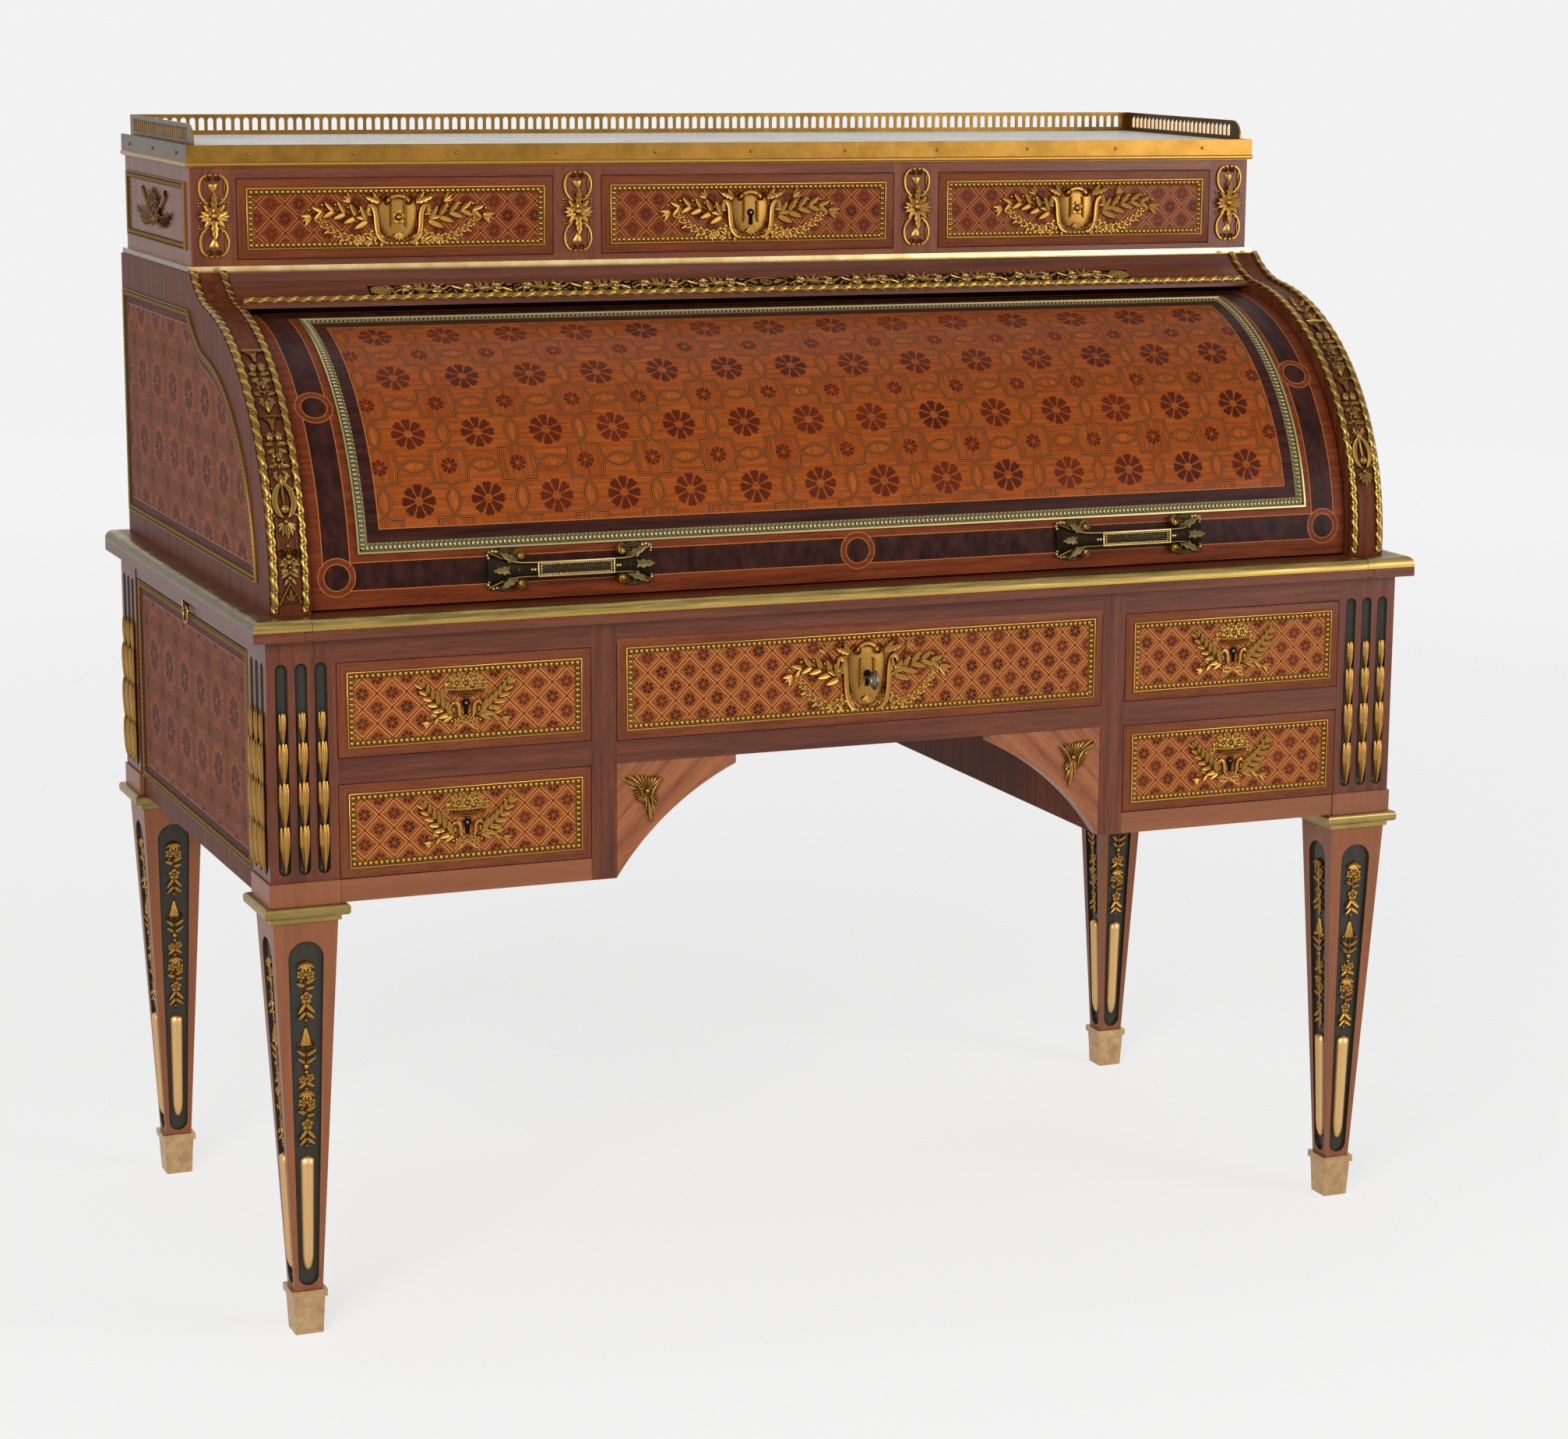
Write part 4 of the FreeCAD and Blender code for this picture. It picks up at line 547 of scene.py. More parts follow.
# %% Cylinder marquetry
fall_low, fall_high = extent("fall_panel")
pivot = np.array(next(j for j in frame["joints"] if j["name"] == "fall_turn")["pos_m"]) / MM
axis_y, axis_z = pivot[1], pivot[2]
fall_radius = axis_y - fall_low[1]
fall_half = fall_high[0]
fall_foot = math.asin((fall_low[2] - axis_z) / fall_radius)
frame_half = extent("fall_frame")[1][0]
FRAME_ANGLES, FALL_TOP_ANGLE, FALL_THICKNESS = (9.5, 79.5), 92, 18
frame_arc = fall_radius * np.radians(FRAME_ANGLES)
frame_middle, frame_rise = frame_arc.mean(), np.ptp(frame_arc) / 2
PITCH, BAND_MIDDLE = 76.0, 22.5
CYLINDER_WOODS = dict(ring=("#7c3711", "#9f501d"), gap=("#783511", "#984c1c"), lens=("#853b12", "#a7571f"),
                      flower=("#35100a", "#571f0e"), strap="#965626", line="#300f07")


def band(value, low, high):
    """1 where a value lies between two limits."""
    middle, half = (low + high) / 2, (high - low) / 2
    return abs(value - middle) < half


SATIN = dict(Specular_IOR_Level=0.05, Coat_Weight=0.03, Coat_Roughness=0.2)


def cylinder_finish():
    """Marquetry of the cylinder from its place on the unrolled sheet."""
    material, tree = finish("cylinder_marquetry", **(POLISH | SATIN))
    place, x, arc, outside = sheet_place(tree)
    rise = arc - frame_middle
    u = wire(tree, "MULTIPLY_ADD", x, 1 / PITCH, 0.5)
    v = wire(tree, "MULTIPLY_ADD", rise, 1 / PITCH, 0.5)
    field = lattice(tree, place, u, v, CYLINDER_WOODS)
    beyond_x = abs(x) - frame_half
    beyond = larger(beyond_x, abs(rise) - frame_rise)
    kingwood = grain(turned(place, BACKWARD), "#180b09", "#40201a", 16.0, 30.0)[0]
    mahogany = grain(place, "#56240f", "#7d3a1c", 7.0, 120.0)[0]
    end_x = abs(x) - (frame_half + BAND_MIDDLE)
    low_arc = arc - (frame_arc[0] - BAND_MIDDLE)
    near_rise = smaller(abs(low_arc), abs(rise))
    roundel = smaller(hypotenuse(end_x, near_rise), hypotenuse(x, low_arc))
    dark = band(beyond, 8, 37) * (1.0 - band(roundel, 14, 20))
    colour = mix(dark, mahogany, kingwood)
    string = larger(band(beyond, 7.4, 8.4), band(beyond, 36.6, 37.6))
    string = string * (roundel > 20.0)
    circles = larger(band(roundel, 13.5, 14.4), band(roundel, 19.6, 20.5))
    string = larger(string, circles * band(beyond, 0, 50))
    shade = grain(place, "#22100c", "#43211a", 7.0, 120.0)[0]
    colour = mix(beyond < 0.0, colour, shade)
    colour = mix(beyond < -26.0, colour, field)
    string = larger(string, band(beyond, -26.4, -25.4))
    colour = mix(string, colour, "#a8622c")
    colour = mix(outside, mahogany, colour)
    wave = noise(place, (160, 60, 1), 1.0)
    return drive(material, Base_Color=colour, Normal=bevelled_light(wave, 0.5))


def cylinder_sheet():
    """A quarter tube: radius and angle give each point, outer skin and inner skin closed at the rims."""
    angle = np.linspace(fall_foot, math.radians(FALL_TOP_ANGLE), 90)[:, None]
    x = np.linspace(-fall_half, fall_half, 25)[None, :]
    skins = []
    for radius in (fall_radius, fall_radius - FALL_THICKNESS):
        skins.append(grid(x, axis_y - radius * np.cos(angle), axis_z + radius * np.sin(angle)))
    flat = grid(x, fall_radius * angle, np.ones(1))
    return slab(skins[0], skins[1], flat)


piece("cylinder_shell", [cylinder_sheet()], "fall", cylinder_finish(), ["fall_panel"])
print(f"cylinder radius {fall_radius:.0f}, frame from {frame_arc[0]:.0f} to {frame_arc[1]:.0f} mm of arc")

# %% [markdown]
# Frames, borders and strings are mouldings: one profile carried round a closed line, mitred at the corners.
# At each point of the line the two neighbouring edges give inward normals, and their mitre is the sum
# divided by one plus their product. The profile is a list of (inset, height) pairs.

# %% Carrying a profile round a line
def inward(path):
    """Mitre vectors of a closed anticlockwise line, one inward unit of inset long at each edge."""
    edge = np.roll(path, -1, axis=0) - path
    edge = edge / np.linalg.norm(edge, axis=1, keepdims=True)
    normal = np.stack([-edge[:, 1], edge[:, 0]], axis=1)
    before = np.roll(normal, 1, axis=0)
    return (normal + before) / (1 + (normal * before).sum(axis=1, keepdims=True))


def inset_line(path, inset):
    """A closed line moved inwards: a function of the inset is called, an array of points is mitred."""
    return path(inset) if callable(path) else path + inward(path) * inset


def lengths(path):
    """Length along a line up to each of its points."""
    return np.concatenate([[0], np.cumsum(np.linalg.norm(np.diff(path, axis=0), axis=1))])


def carried(path, profile, codes=0.0):
    """A closed moulding: each point of the line moved in by the profile's inset and up by its height."""
    inset, height = np.array(profile, float).T
    line = np.stack([inset_line(path, distance) for distance in inset], axis=1)
    line = np.concatenate([line, line[:1]])
    run = lengths(line[:, 0])
    points = np.dstack([line, np.broadcast_to(height, line.shape[:2])])
    flat = grid(run[:, None], inset[None, :], np.broadcast_to(codes, inset.shape))
    return patch(points, flat)


def rectangle(left, right, low, high):
    """The four corners, anticlockwise."""
    return np.array([(left, low), (right, low), (right, high), (left, high)], float)


SUNK = 0.3


def strip(start, end, height, code):
    """A flat strip's profile, sunk a little into what carries it."""
    return [(start, -SUNK), (start, height), (end, height), (end, -SUNK)], code


def field_sheet(left, right, low, high, height, code, centre=(0, 0)):
    """A flat rectangle of veneer; its lengths are counted from a centre."""
    u, v = np.meshgrid([left, right], [low, high])
    top = np.stack([u, v, np.full(u.shape, float(height))], axis=-1)
    flat = np.stack([u - centre[0], v - centre[1], np.full(u.shape, float(code))], axis=-1)
    return slab(top, top - [0, 0, height + SUNK], flat)


BORDER, STRING, FIELD = 0.0, 1.0, 2.0
print("a mitre at a square corner:", inward(rectangle(0, 10, 0, 10))[0])

# %% [markdown]
# The ends of the desk wear the same strapwork in quieter, sun-bleached woods. On the base it fills a
# rectangle, on the cheek a shape whose front edge is the S line of the desk's own profile: the round of the
# cylinder and then a hollow. Each has a dark border and a light string inside its gilt frame.

# %% End panels
HOLLOW_START, HOLLOW_RADIUS = 37.0, 125.0
END_WOODS = dict(ring=("#74351a", "#94502c"), gap=("#6a3114", "#7f401b"), lens=("#6c3012", "#834318"),
                 flower=("#31120a", "#43190d"), strap="#8a4e28", line="#2c1007")
END_PITCH = 75.0


def s_line(radius, foot_z, top_z, steps=48, inset=0.0):
    """Points (y, z) of the desk's profile at a radius: an arc about the pivot, then the hollow's arc; an
    inset makes the first radius shorter and the second longer, so the lines stay parallel."""
    lean = math.asin(HOLLOW_START / radius)
    inner, hollow = radius - inset, HOLLOW_RADIUS + inset
    turn = np.linspace(math.asin((foot_z + inset - axis_z) / inner), math.pi / 2 - lean, steps)
    round_part = np.stack([axis_y - inner * np.cos(turn), axis_z + inner * np.sin(turn)], axis=1)
    centre = np.array([axis_y, axis_z]) + (inner + hollow) * np.array([-math.sin(lean), math.cos(lean)])
    last = math.acos((centre[1] - top_z + inset) / hollow)
    swing = np.linspace(lean, last, steps // 3)[1:]
    hollow_part = centre + hollow * np.stack([np.sin(swing), -np.cos(swing)], axis=1)
    return np.concatenate([round_part, hollow_part])


def end_finish():
    """Strapwork in its field, a light line for the string and dark wood for the border."""
    material, tree = finish("end_marquetry", Roughness=0.5, Specular_IOR_Level=0.05)
    place, u, v, zone = sheet_place(tree)
    field = lattice(tree, place, wire(tree, "MULTIPLY_ADD", u, 1 / END_PITCH, 0.5),
                    wire(tree, "MULTIPLY_ADD", v, 1 / END_PITCH, 0.5), END_WOODS)
    border = grain(place, "#38191a", "#5b2d28", 6.0, 90.0)[0]
    colour = mix(zone > 0.5, border, "#a06a48")
    colour = mix(zone > 1.5, colour, field)
    return drive(material, Base_Color=colour)


def end_border(path):
    """Dark border and light string inside the gilt frame that follows the line."""
    start = FRAME_WIDTH
    return [carried(path, *strip(start, start + 8, 0.3, BORDER)),
            carried(path, *strip(start + 8, start + 9.2, 0.35, STRING))]


def anticlockwise(path):
    """The line in the order that has its inside on the left."""
    x, y = path.T
    area = np.sum(x * np.roll(y, -1) - np.roll(x, -1) * y)
    return path if area > 0 else path[::-1]


FRAME_WIDTH = 8.0
FIELD_INSET = FRAME_WIDTH + 9
CHEEK_FRAME = dict(radius=235.0, foot_z=813.0, top_z=1073.0)
CHEEK_REAR, CHEEK_CENTRE = 333.0, (60, 943)
side_low, side_high = np.array([-242.0, 505.0]), np.array([266.0, 739.5])


def cheek_loop(inset):
    """The outline of the cheek's panel, (y, z), moved inwards: the S line, then down the rear edge."""
    line = s_line(**CHEEK_FRAME, inset=inset)
    rear = CHEEK_REAR - inset
    return np.concatenate([line,
                           [(rear, CHEEK_FRAME["top_z"] - inset), (rear, CHEEK_FRAME["foot_z"] + inset)]])


def cheek_field(sign, inset):
    """The cheek's field: rows at equal heights, each from the S line to the rear edge."""
    front_line = cheek_loop(inset)[:-2]
    z = np.linspace(front_line[0, 1], front_line[-1, 1], 60)[:, None]
    front_y = np.interp(z, front_line[:, 1], front_line[:, 0])
    y = front_y + (CHEEK_REAR - inset - front_y) * np.linspace(0, 1, 9)
    top = np.stack([sign * y, np.broadcast_to(z, y.shape), np.full(y.shape, SUNK)], axis=-1)
    flat = np.stack([y - CHEEK_CENTRE[0], np.broadcast_to(z, y.shape) - CHEEK_CENTRE[1],
                     np.full(y.shape, FIELD)], axis=-1)
    return slab(top, top - [0, 0, 2 * SUNK], flat)


end_paint = end_finish()
end_patches = []
side_loop = rectangle(side_low[0], side_high[0], side_low[1], side_high[1])
low, high = side_low + FIELD_INSET, side_high - FIELD_INSET
for sign in (-1, 1):
    out = (0, sign, 0)
    cheek = end_border(lambda inset: cheek_loop(inset) * [sign, 1]) + [cheek_field(sign, FIELD_INSET)]
    end_patches += laid(cheek, (sign * extent("cheeks")[1][0], 0, 0), out)
    sides = sorted((sign * low[0], sign * high[0]))
    panel = end_border(anticlockwise(side_loop * [sign, 1])) + [
        field_sheet(*sides, low[1], high[1], 0.3, FIELD,
                    ((sides[0] + sides[1]) / 2, (low[1] + high[1]) / 2))]
    end_patches += laid(panel, (sign * extent("base_side_panels")[1][0], 0, 0), out)
piece("end_veneers", end_patches, "desk", end_paint)

# %% [markdown]
# Drawer fronts have a mitred mahogany border, a gilt bead frame and, inside it, parquetry: squares set on
# their points, each with a small flower, between double strings. Turning the plane by an eighth of a turn
# makes the squares a plain grid, so the same fold as before finds the flower and the trellis.

# %% Drawer fronts
LOZENGE = 32.0


def parquetry_finish(name, ground, flowers, lines, edging):
    """Lozenges with flowers in the field, plain mahogany in the border."""
    material, tree = finish(name, **(POLISH | dict(Specular_IOR_Level=0.1, Coat_Weight=0.03)))
    place, u, v, zone = sheet_place(tree)
    a = wire(tree, "PINGPONG", (u + v) / LOZENGE, 0.5)
    b = wire(tree, "PINGPONG", (u - v) / LOZENGE, 0.5)
    edge = larger(a, b)
    colour = veneer(place, *ground)
    cell = wire(tree, "CombineXYZ", wire(tree, "ROUND", (u + v) / LOZENGE),
                wire(tree, "ROUND", (u - v) / LOZENGE))
    chance = wire(tree, "TexWhiteNoise", cell, out="Value", noise_dimensions="2D")
    dark = mix(chance, *flowers)
    colour = mix(flower(a, b, 0.3, 6), colour, dark)
    colour = mix(edge > 0.408, colour, lines[1])
    colour = mix(edge > 0.466, colour, lines[0])
    border, pores = grain(place, *edging, 8.0, 150.0)
    colour = mix(zone > 1.5, border, colour)
    return drive(material, Base_Color=colour, Normal=bevelled_light(pores, 0.05))


BASE_DRAWERS = ["drawer_left_upper", "drawer_left_lower", "drawer_centre", "drawer_right_upper",
                "drawer_right_lower"]
CASE_DRAWERS = ["case_drawer_left", "case_drawer_centre", "case_drawer_right"]
BEAD_MARGIN = 10.0


def front_face(node):
    """Centre of a drawer's front face and its half width and half height."""
    low, high = extent(node)
    foot = extent(f"{node}_mounts")[0][2] - BEAD_MARGIN
    head = extent(f"{node}_mounts")[1][2] + BEAD_MARGIN
    middle = np.array([(low[0] + high[0]) / 2, low[1], (foot + head) / 2])
    return middle, (high[0] - low[0]) / 2, (head - foot) / 2


base_parquetry = parquetry_finish("base_drawer_parquetry", ("#7b3a17", "#9c5424"), ("#38160c", "#582812"),
                                  ("#5d2810", "#b9753a"), ("#5f2c18", "#80472b"))
case_parquetry = parquetry_finish("case_drawer_parquetry", ("#69280d", "#863c13"), ("#331309", "#572710"),
                                  ("#451b0b", "#a2602f"), CASE_MAHOGANY)
for drawer in BASE_DRAWERS + CASE_DRAWERS:
    middle, half_u, half_v = front_face(drawer)
    edge = rectangle(-half_u, half_u, -half_v, half_v)
    inner_u, inner_v = half_u - BEAD_MARGIN - FRAME_WIDTH / 2, half_v - BEAD_MARGIN - FRAME_WIDTH / 2
    border = carried(edge, [(0.2, -0.3), (0.2, 0.3), (0.7, 0.9), (1.6, 1.2), (12, 1.2), (12, -0.3)], BORDER)
    field = field_sheet(-inner_u, inner_u, -inner_v, inner_v, 0.4, FIELD)
    parquetry = base_parquetry if drawer in BASE_DRAWERS else case_parquetry
    piece(f"{drawer}_veneer", [lay(border, middle), lay(field, middle)], drawer, parquetry)

# %% [markdown]
# The mounts are gilt bronze: cast, chased with small punches, and fire-gilt. Rubbed high spots stay bright
# and warm while dark dirt and tarnish stay in the hollows, and that contrast is what makes the relief
# readable. The third number on each point, its height between hollow and crest, mixes the two.

# %% Gilt bronze and brass
WEAR_SPOT = 0.9


def gilding(name, crest, hollow, roughness):
    """Bright metal on the crests, brown tarnish in the hollows, and specks of wear a millimetre wide."""
    material, tree = finish(name, Metallic=1.0)
    height = sheet_place(tree)[-1]
    worn = noise(board_vector(tree, ACROSS), WEAR_SPOT, 3.0)
    dirt = wire(tree, "MULTIPLY_ADD", worn, 0.5, -0.25)
    lit = ramp(height + dirt, 0.1, 0.75)
    colour = mix(lit, hollow, crest)
    rough = wire(tree, "MULTIPLY_ADD", lit, roughness - 0.6, 0.6)
    return drive(material, Base_Color=colour, Roughness=rough)


def painted_end_shade(colour, limits, share, brown):
    """Painted shade on the ends of the desk: metal that faces sideways goes towards dark brown. The limits
    are the sideways part of the normal where that starts and where the full share is reached."""
    facing = axes_of(wire(colour.tree, "NewGeometry", out="Normal"))[0]
    sideways = ramp(abs(facing), *limits, 0.0, share)
    return mix(sideways, colour, brown)


def cast_brass(name, dark, light, cloud, roughness, ends=0.0):
    """Plain brass mouldings: rubbed metal clouded by tarnish over a length in millimetres; ends is the
    share of painted shade where the metal faces the desk's ends.
    """
    material, tree = finish(name, Metallic=1.0, Roughness=roughness)
    mottled = noise(board_vector(tree, ACROSS), cloud, 5.0, 0.65)
    colour = mix(ramp(mottled, 0.35, 0.65), dark, light)
    # Painted shade where the metal faces the ends of the desk.
    colour = painted_end_shade(colour, (0.55, 0.85), ends, "#33291c")
    return drive(material, Base_Color=colour, Normal=bevelled_light(mottled, 0.06))


gilt = gilding("fire_gilt_bronze", "#a87b3a", "#241508", 0.32)
bead_gilt = gilding("rubbed_gilt_beads", "#a67a37", "#2f1d0a", 0.32)
pale_gilt = gilding("matt_pale_gilding", "#d3aa72", "#8a6538", 0.45)
old_gilt = gilding("tarnished_gilt_bronze", "#94743f", "#20180e", 0.38)
grey_gilt = gilding("grey_tarnished_gilding", "#9a8c62", "#24201a", 0.36)
moulding_brass = cast_brass("tarnished_brass_moulding", "#857340", "#9c854c", 30.0, 0.36)
# The last number is the share of painted shade on the ends of the desk.
bright_brass = cast_brass("polished_brass", "#7d5a24", "#966e31", 30.0, 0.34, 0.8)
pale_brass = cast_brass("worn_pale_brass", "#a9865c", "#c7a377", 12.0, 0.4)
dress(moulding_brass, "leg_collars")


def ledge_finish(foot):
    """The desk's brass edge: streaked olive on its round, and brighter gold along its lowest 3 mm."""
    material, tree = finish("tarnished_brass_ledge", Metallic=1.0, Roughness=0.36)
    object_mm = board_vector(tree, ACROSS)
    streak = noise(object_mm, (60, 30, 2.5), 4.0, 0.6)
    colour = mix(ramp(streak, 0.35, 0.65), "#6f5f34", "#a28b52")
    # The lowest 3 mm is brighter gold, copying the bright line of a lower fillet that the bar lacks.
    rubbed = (axes_of(object_mm)[2] < foot + 3) * 0.8
    colour = mix(rubbed, colour, "#b08b3f")
    # Painted shade where the ledge faces the ends of the desk.
    return drive(material, Base_Color=painted_end_shade(colour, (0.3, 0.8), 0.7, "#332d1c"))


dress(ledge_finish(extent("desk_edge_moulding")[0][2]), "desk_edge_moulding", "writing_slide_moulding")
dress(pale_brass, "sabots")
# The string's last number is its share of painted shade on the ends of the desk.
dress(cast_brass("polished_brass_string", "#d2b270", "#ead29a", 30.0, 0.24, 0.85), "string_moulding")
dress(bright_brass, "top_edge_band", "gallery")
dress(cast_brass("rubbed_brass_pulls", "#8f6c30", "#b08a48", 30.0, 0.3), "slide_knob_left",
      "slide_knob_right", "ring_pull_left", "ring_pull_right")
print("gilding and brass ready")

# %% [markdown]
# Each drawer and end panel has a frame of beads: a bright plain fillet outside, a row of pearls inside. A
# bead is a flattened dome of a few dozen faces, and one array operation copies it to all its places: scale
# it, turn it in the plane, move it.

# %% Bead frames
def dome():
    """A unit dome: at angle t up from the rim the radius is the cosine of t and the height its sine."""
    t = np.linspace(0, math.pi / 2, 4)[:, None]
    turn = np.linspace(0, 2 * math.pi, 8, endpoint=False)[None, :]
    points = grid(np.cos(t) * np.cos(turn), np.cos(t) * np.sin(turn), np.sin(t))
    base = points[:1] * [0, 0, 0] - [0, 0, 0.15]
    flat = np.broadcast_to(np.sin(t)[..., None] * [0, 0, 1], points.shape)
    return patch(np.concatenate([base, points]), np.concatenate([flat[:1], flat]))


def scatter(template, u, v, turn=0.0, size=1.0, lift=0.0, stretch=1.0):
    """Copies of a small patch, all at once; stretch lengthens each along its own first axis."""
    u, v, turn, size, lift, stretch = np.broadcast_arrays(*(np.atleast_1d(x).astype(float) for x in
                                                            (u, v, turn, size, lift, stretch)))
    x, y, z = template.points.T
    along, across = np.outer(size * stretch, x), np.outer(size, y)
    cos, sin = np.cos(turn)[:, None], np.sin(turn)[:, None]
    points = np.stack([u[:, None] + cos * along - sin * across, v[:, None] + sin * along + cos * across,
                       lift[:, None] + np.outer(size, z)], axis=-1)
    quads = template.quads + len(template.points) * np.arange(len(u))[:, None, None]
    flat = np.broadcast_to(template.flat, points.shape)
    return Patch(points.reshape(-1, 3), quads.reshape(-1, 4), flat.reshape(-1, 3))


def paced(path, pace, closed=True):
    """Equal steps along a line: positions (k, 2) and the direction of the line at each."""
    line = np.concatenate([path, path[:1]]) if closed else path
    run = lengths(line)
    count = max(int(round(run[-1] / pace)), 2)
    at = np.arange(count) * run[-1] / count if closed else np.linspace(0, run[-1], count)
    spots = np.stack([np.interp(at, run, line[:, k]) for k in range(2)], axis=1)
    step = np.stack([np.interp((at + 0.5) % run[-1], run, line[:, k]) for k in range(2)], axis=1) - spots
    return spots, np.arctan2(step[:, 1], step[:, 0])


FILLET = [(0, -0.3), (0, 2.2), (0.3, 2.7), (1.3, 2.7), (1.6, 2.2), (1.8, 1.0), (7.7, 0.8), (8.0, 0.4),
          (8.0, -0.3)]
FILLET_LIGHT = np.array([0.5, 0.8, 1.0, 1.0, 0.8, 0.3, 0.3, 0.4, 0.1])
BEAD_PACE, BEAD_INSET, BEAD_RADIUS = 5.9, 4.8, 2.5
bead = dome()


def bead_frame(path):
    """The fillet moulding and its row of long beads, just inside a closed line."""
    spots, turn = paced(inset_line(path, BEAD_INSET), BEAD_PACE)
    return [carried(path, FILLET, FILLET_LIGHT),
            scatter(bead, *spots.T, turn + math.pi / 2, BEAD_RADIUS, 0.7, 1.22)]


CASE_END = 49, 333, 1135, 1209
frame_patches = []
for sign in (-1, 1):
    cheek = bead_frame(lambda inset: cheek_loop(inset) * [sign, 1])
    side = bead_frame(anticlockwise(side_loop * [sign, 1]))
    case = bead_frame(anticlockwise(rectangle(*CASE_END) * [sign, 1]))
    for patches, node in ((cheek, "cheeks"), (side, "base_side_panels"), (case, "upper_case")):
        carrier = (sign * extent(node)[1][0], 0, 0)
        frame_patches += laid(patches, carrier, (0, sign, 0))
# A darker copy of the gilding: painted shade for the bead frames on the ends of the desk.
shaded_end_gilt = gilding("end_gilding_painted_shade", "#7b5c2b", "#1d1308", 0.46)
piece("end_bead_frames", frame_patches, "desk", shaded_end_gilt, ["panel_frames"])

# %% [markdown]
# The curved stiles and the frieze are edged with rope mouldings: four strands, twisted, two of them smooth
# and two stippled with rows of tiny pearls. The surface is a tube whose radius dips between the strands:
# the strand number grows with the angle round the rope and with the length along it.

# %% Rope mouldings
ROPE_RADIUS, STRANDS, STRAND_PACE, SMOOTH, ROPE_STEP = 4.8, 4, 8.0, 1.15, 1.25


def rope(path, aside):
    """A twisted tube about a line in space; aside is one direction square to the line all along it."""
    run = lengths(path)[:, None]
    ahead_of = np.gradient(path, axis=0)
    ahead_of = ahead_of / np.linalg.norm(ahead_of, axis=1, keepdims=True)
    aside = np.array(aside, float)
    out_of = np.cross(ahead_of, aside)
    angle = np.linspace(-0.5, 1.5, 24, endpoint=False)[None, :] * math.pi
    strand = STRANDS * angle / (2 * math.pi) + run / STRAND_PACE
    phase = strand % 2
    stippled = 0.4 * np.sin(math.pi * (phase - SMOOTH) / (2 - SMOOTH))
    bulge = np.where(phase < SMOOTH, np.sin(math.pi * phase / SMOOTH), stippled)
    radius = (ROPE_RADIUS * (0.8 + 0.2 * bulge))[..., None]
    spoke = np.cos(angle)[..., None] * aside + np.sin(angle)[..., None] * out_of[:, None]
    points = path[:, None] + radius * spoke
    flat = grid(strand, run - 10 * angle / math.pi, bulge)
    ends = np.broadcast_to(path[[0, -1], None], (2, angle.size, 3))
    return patch(np.concatenate([ends[:1], points, ends[1:]]), np.concatenate([flat[:1], flat, flat[-1:]]))


def even_line(path, pace):
    """The same line with points at equal steps."""
    run = lengths(path)
    at = np.linspace(0, run[-1], int(run[-1] / pace))
    return np.stack([np.interp(at, run, path[:, k]) for k in range(path.shape[1])], axis=1)


def rope_finish():
    """Gilt strands; on every second strand small pearls of paler gold, a painted highlight, stand on a dark
    ground of painted shade and tarnish.
    """
    material, tree = finish("gilt_rope", Metallic=1.0, Roughness=0.28)
    _, strand, along, bulge = sheet_place(tree)
    phase = wire(tree, "FRACT", strand * 0.5) * 2.0
    stippled = phase > SMOOTH
    row = wire(tree, "MULTIPLY_ADD", phase, 2 / (2 - SMOOTH), -2 * SMOOTH / (2 - SMOOTH))
    row = wire(tree, "FRACT", row) - 0.5
    spot = wire(tree, "FRACT", along * 0.5) - 0.5
    pearl = hypotenuse(row, spot)
    ground = stippled * ramp(pearl, 0.2, 0.4)
    smooth = ramp(bulge, 0.05, 0.7)
    lit = larger(smooth, stippled) * (1.0 - ground)
    # The pearls' paler gold is a painted highlight; the dark round them and at the strands' edges is
    # painted shade and tarnish.
    metal = mix(stippled, "#b0883e", "#cba55c")
    return drive(material, Base_Color=mix(lit, "#1c1207", metal))


cheek_low, cheek_high = extent("cheeks")
stile_radius = axis_y - cheek_low[1]
desk_level, case_foot = cheek_low[2], cheek_high[2]
stile_profile = s_line(stile_radius, desk_level + 4, case_foot, 160)
stile_line = even_line(stile_profile, ROPE_STEP)
rope_x = cheek_high[0] - 5.5, cheek_high[0] - 38.0
ropes = []
for x in (*rope_x, *(-x for x in rope_x)):
    ropes.append(rope(np.column_stack([np.full(len(stile_line), x), stile_line]), (1, 0, 0)))
FRIEZE_ROPE_Y, FRIEZE_ROPE_HALF = -39.0, 616
hollow_part = stile_profile[-50:]
frieze_z = np.interp(FRIEZE_ROPE_Y, hollow_part[:, 0], hollow_part[:, 1])
frieze_x = np.arange(-FRIEZE_ROPE_HALF, FRIEZE_ROPE_HALF, ROPE_STEP)
frieze_line = np.stack(np.broadcast_arrays(frieze_x, FRIEZE_ROPE_Y, frieze_z + 0.3), axis=1)
ropes.append(rope(frieze_line, (0, 1, 0)))
piece("rope_edging", ropes, "desk", rope_finish(), ["rope_mouldings"], sharp=80)

# %% [markdown]
# On the cylinder the gilt frame is a row of leaf tips inside a plain fillet. It is drawn flat, as a
# rectangle on the unrolled sheet, and then rolled: the height on the sheet becomes an angle, the relief a
# longer radius.

# %% Frame on the cylinder
def rolled(shape, radius, x=0.0, arc=0.0):
    """Roll a flat patch onto a cylinder about the pivot, its origin at an x and a length of arc."""
    u, v, out = shape.points.T
    angle = (v + arc) / radius
    points = np.stack([u + x, axis_y - (radius + out) * np.cos(angle),
                       axis_z + (radius + out) * np.sin(angle)], axis=1)
    return shape._replace(points=points)


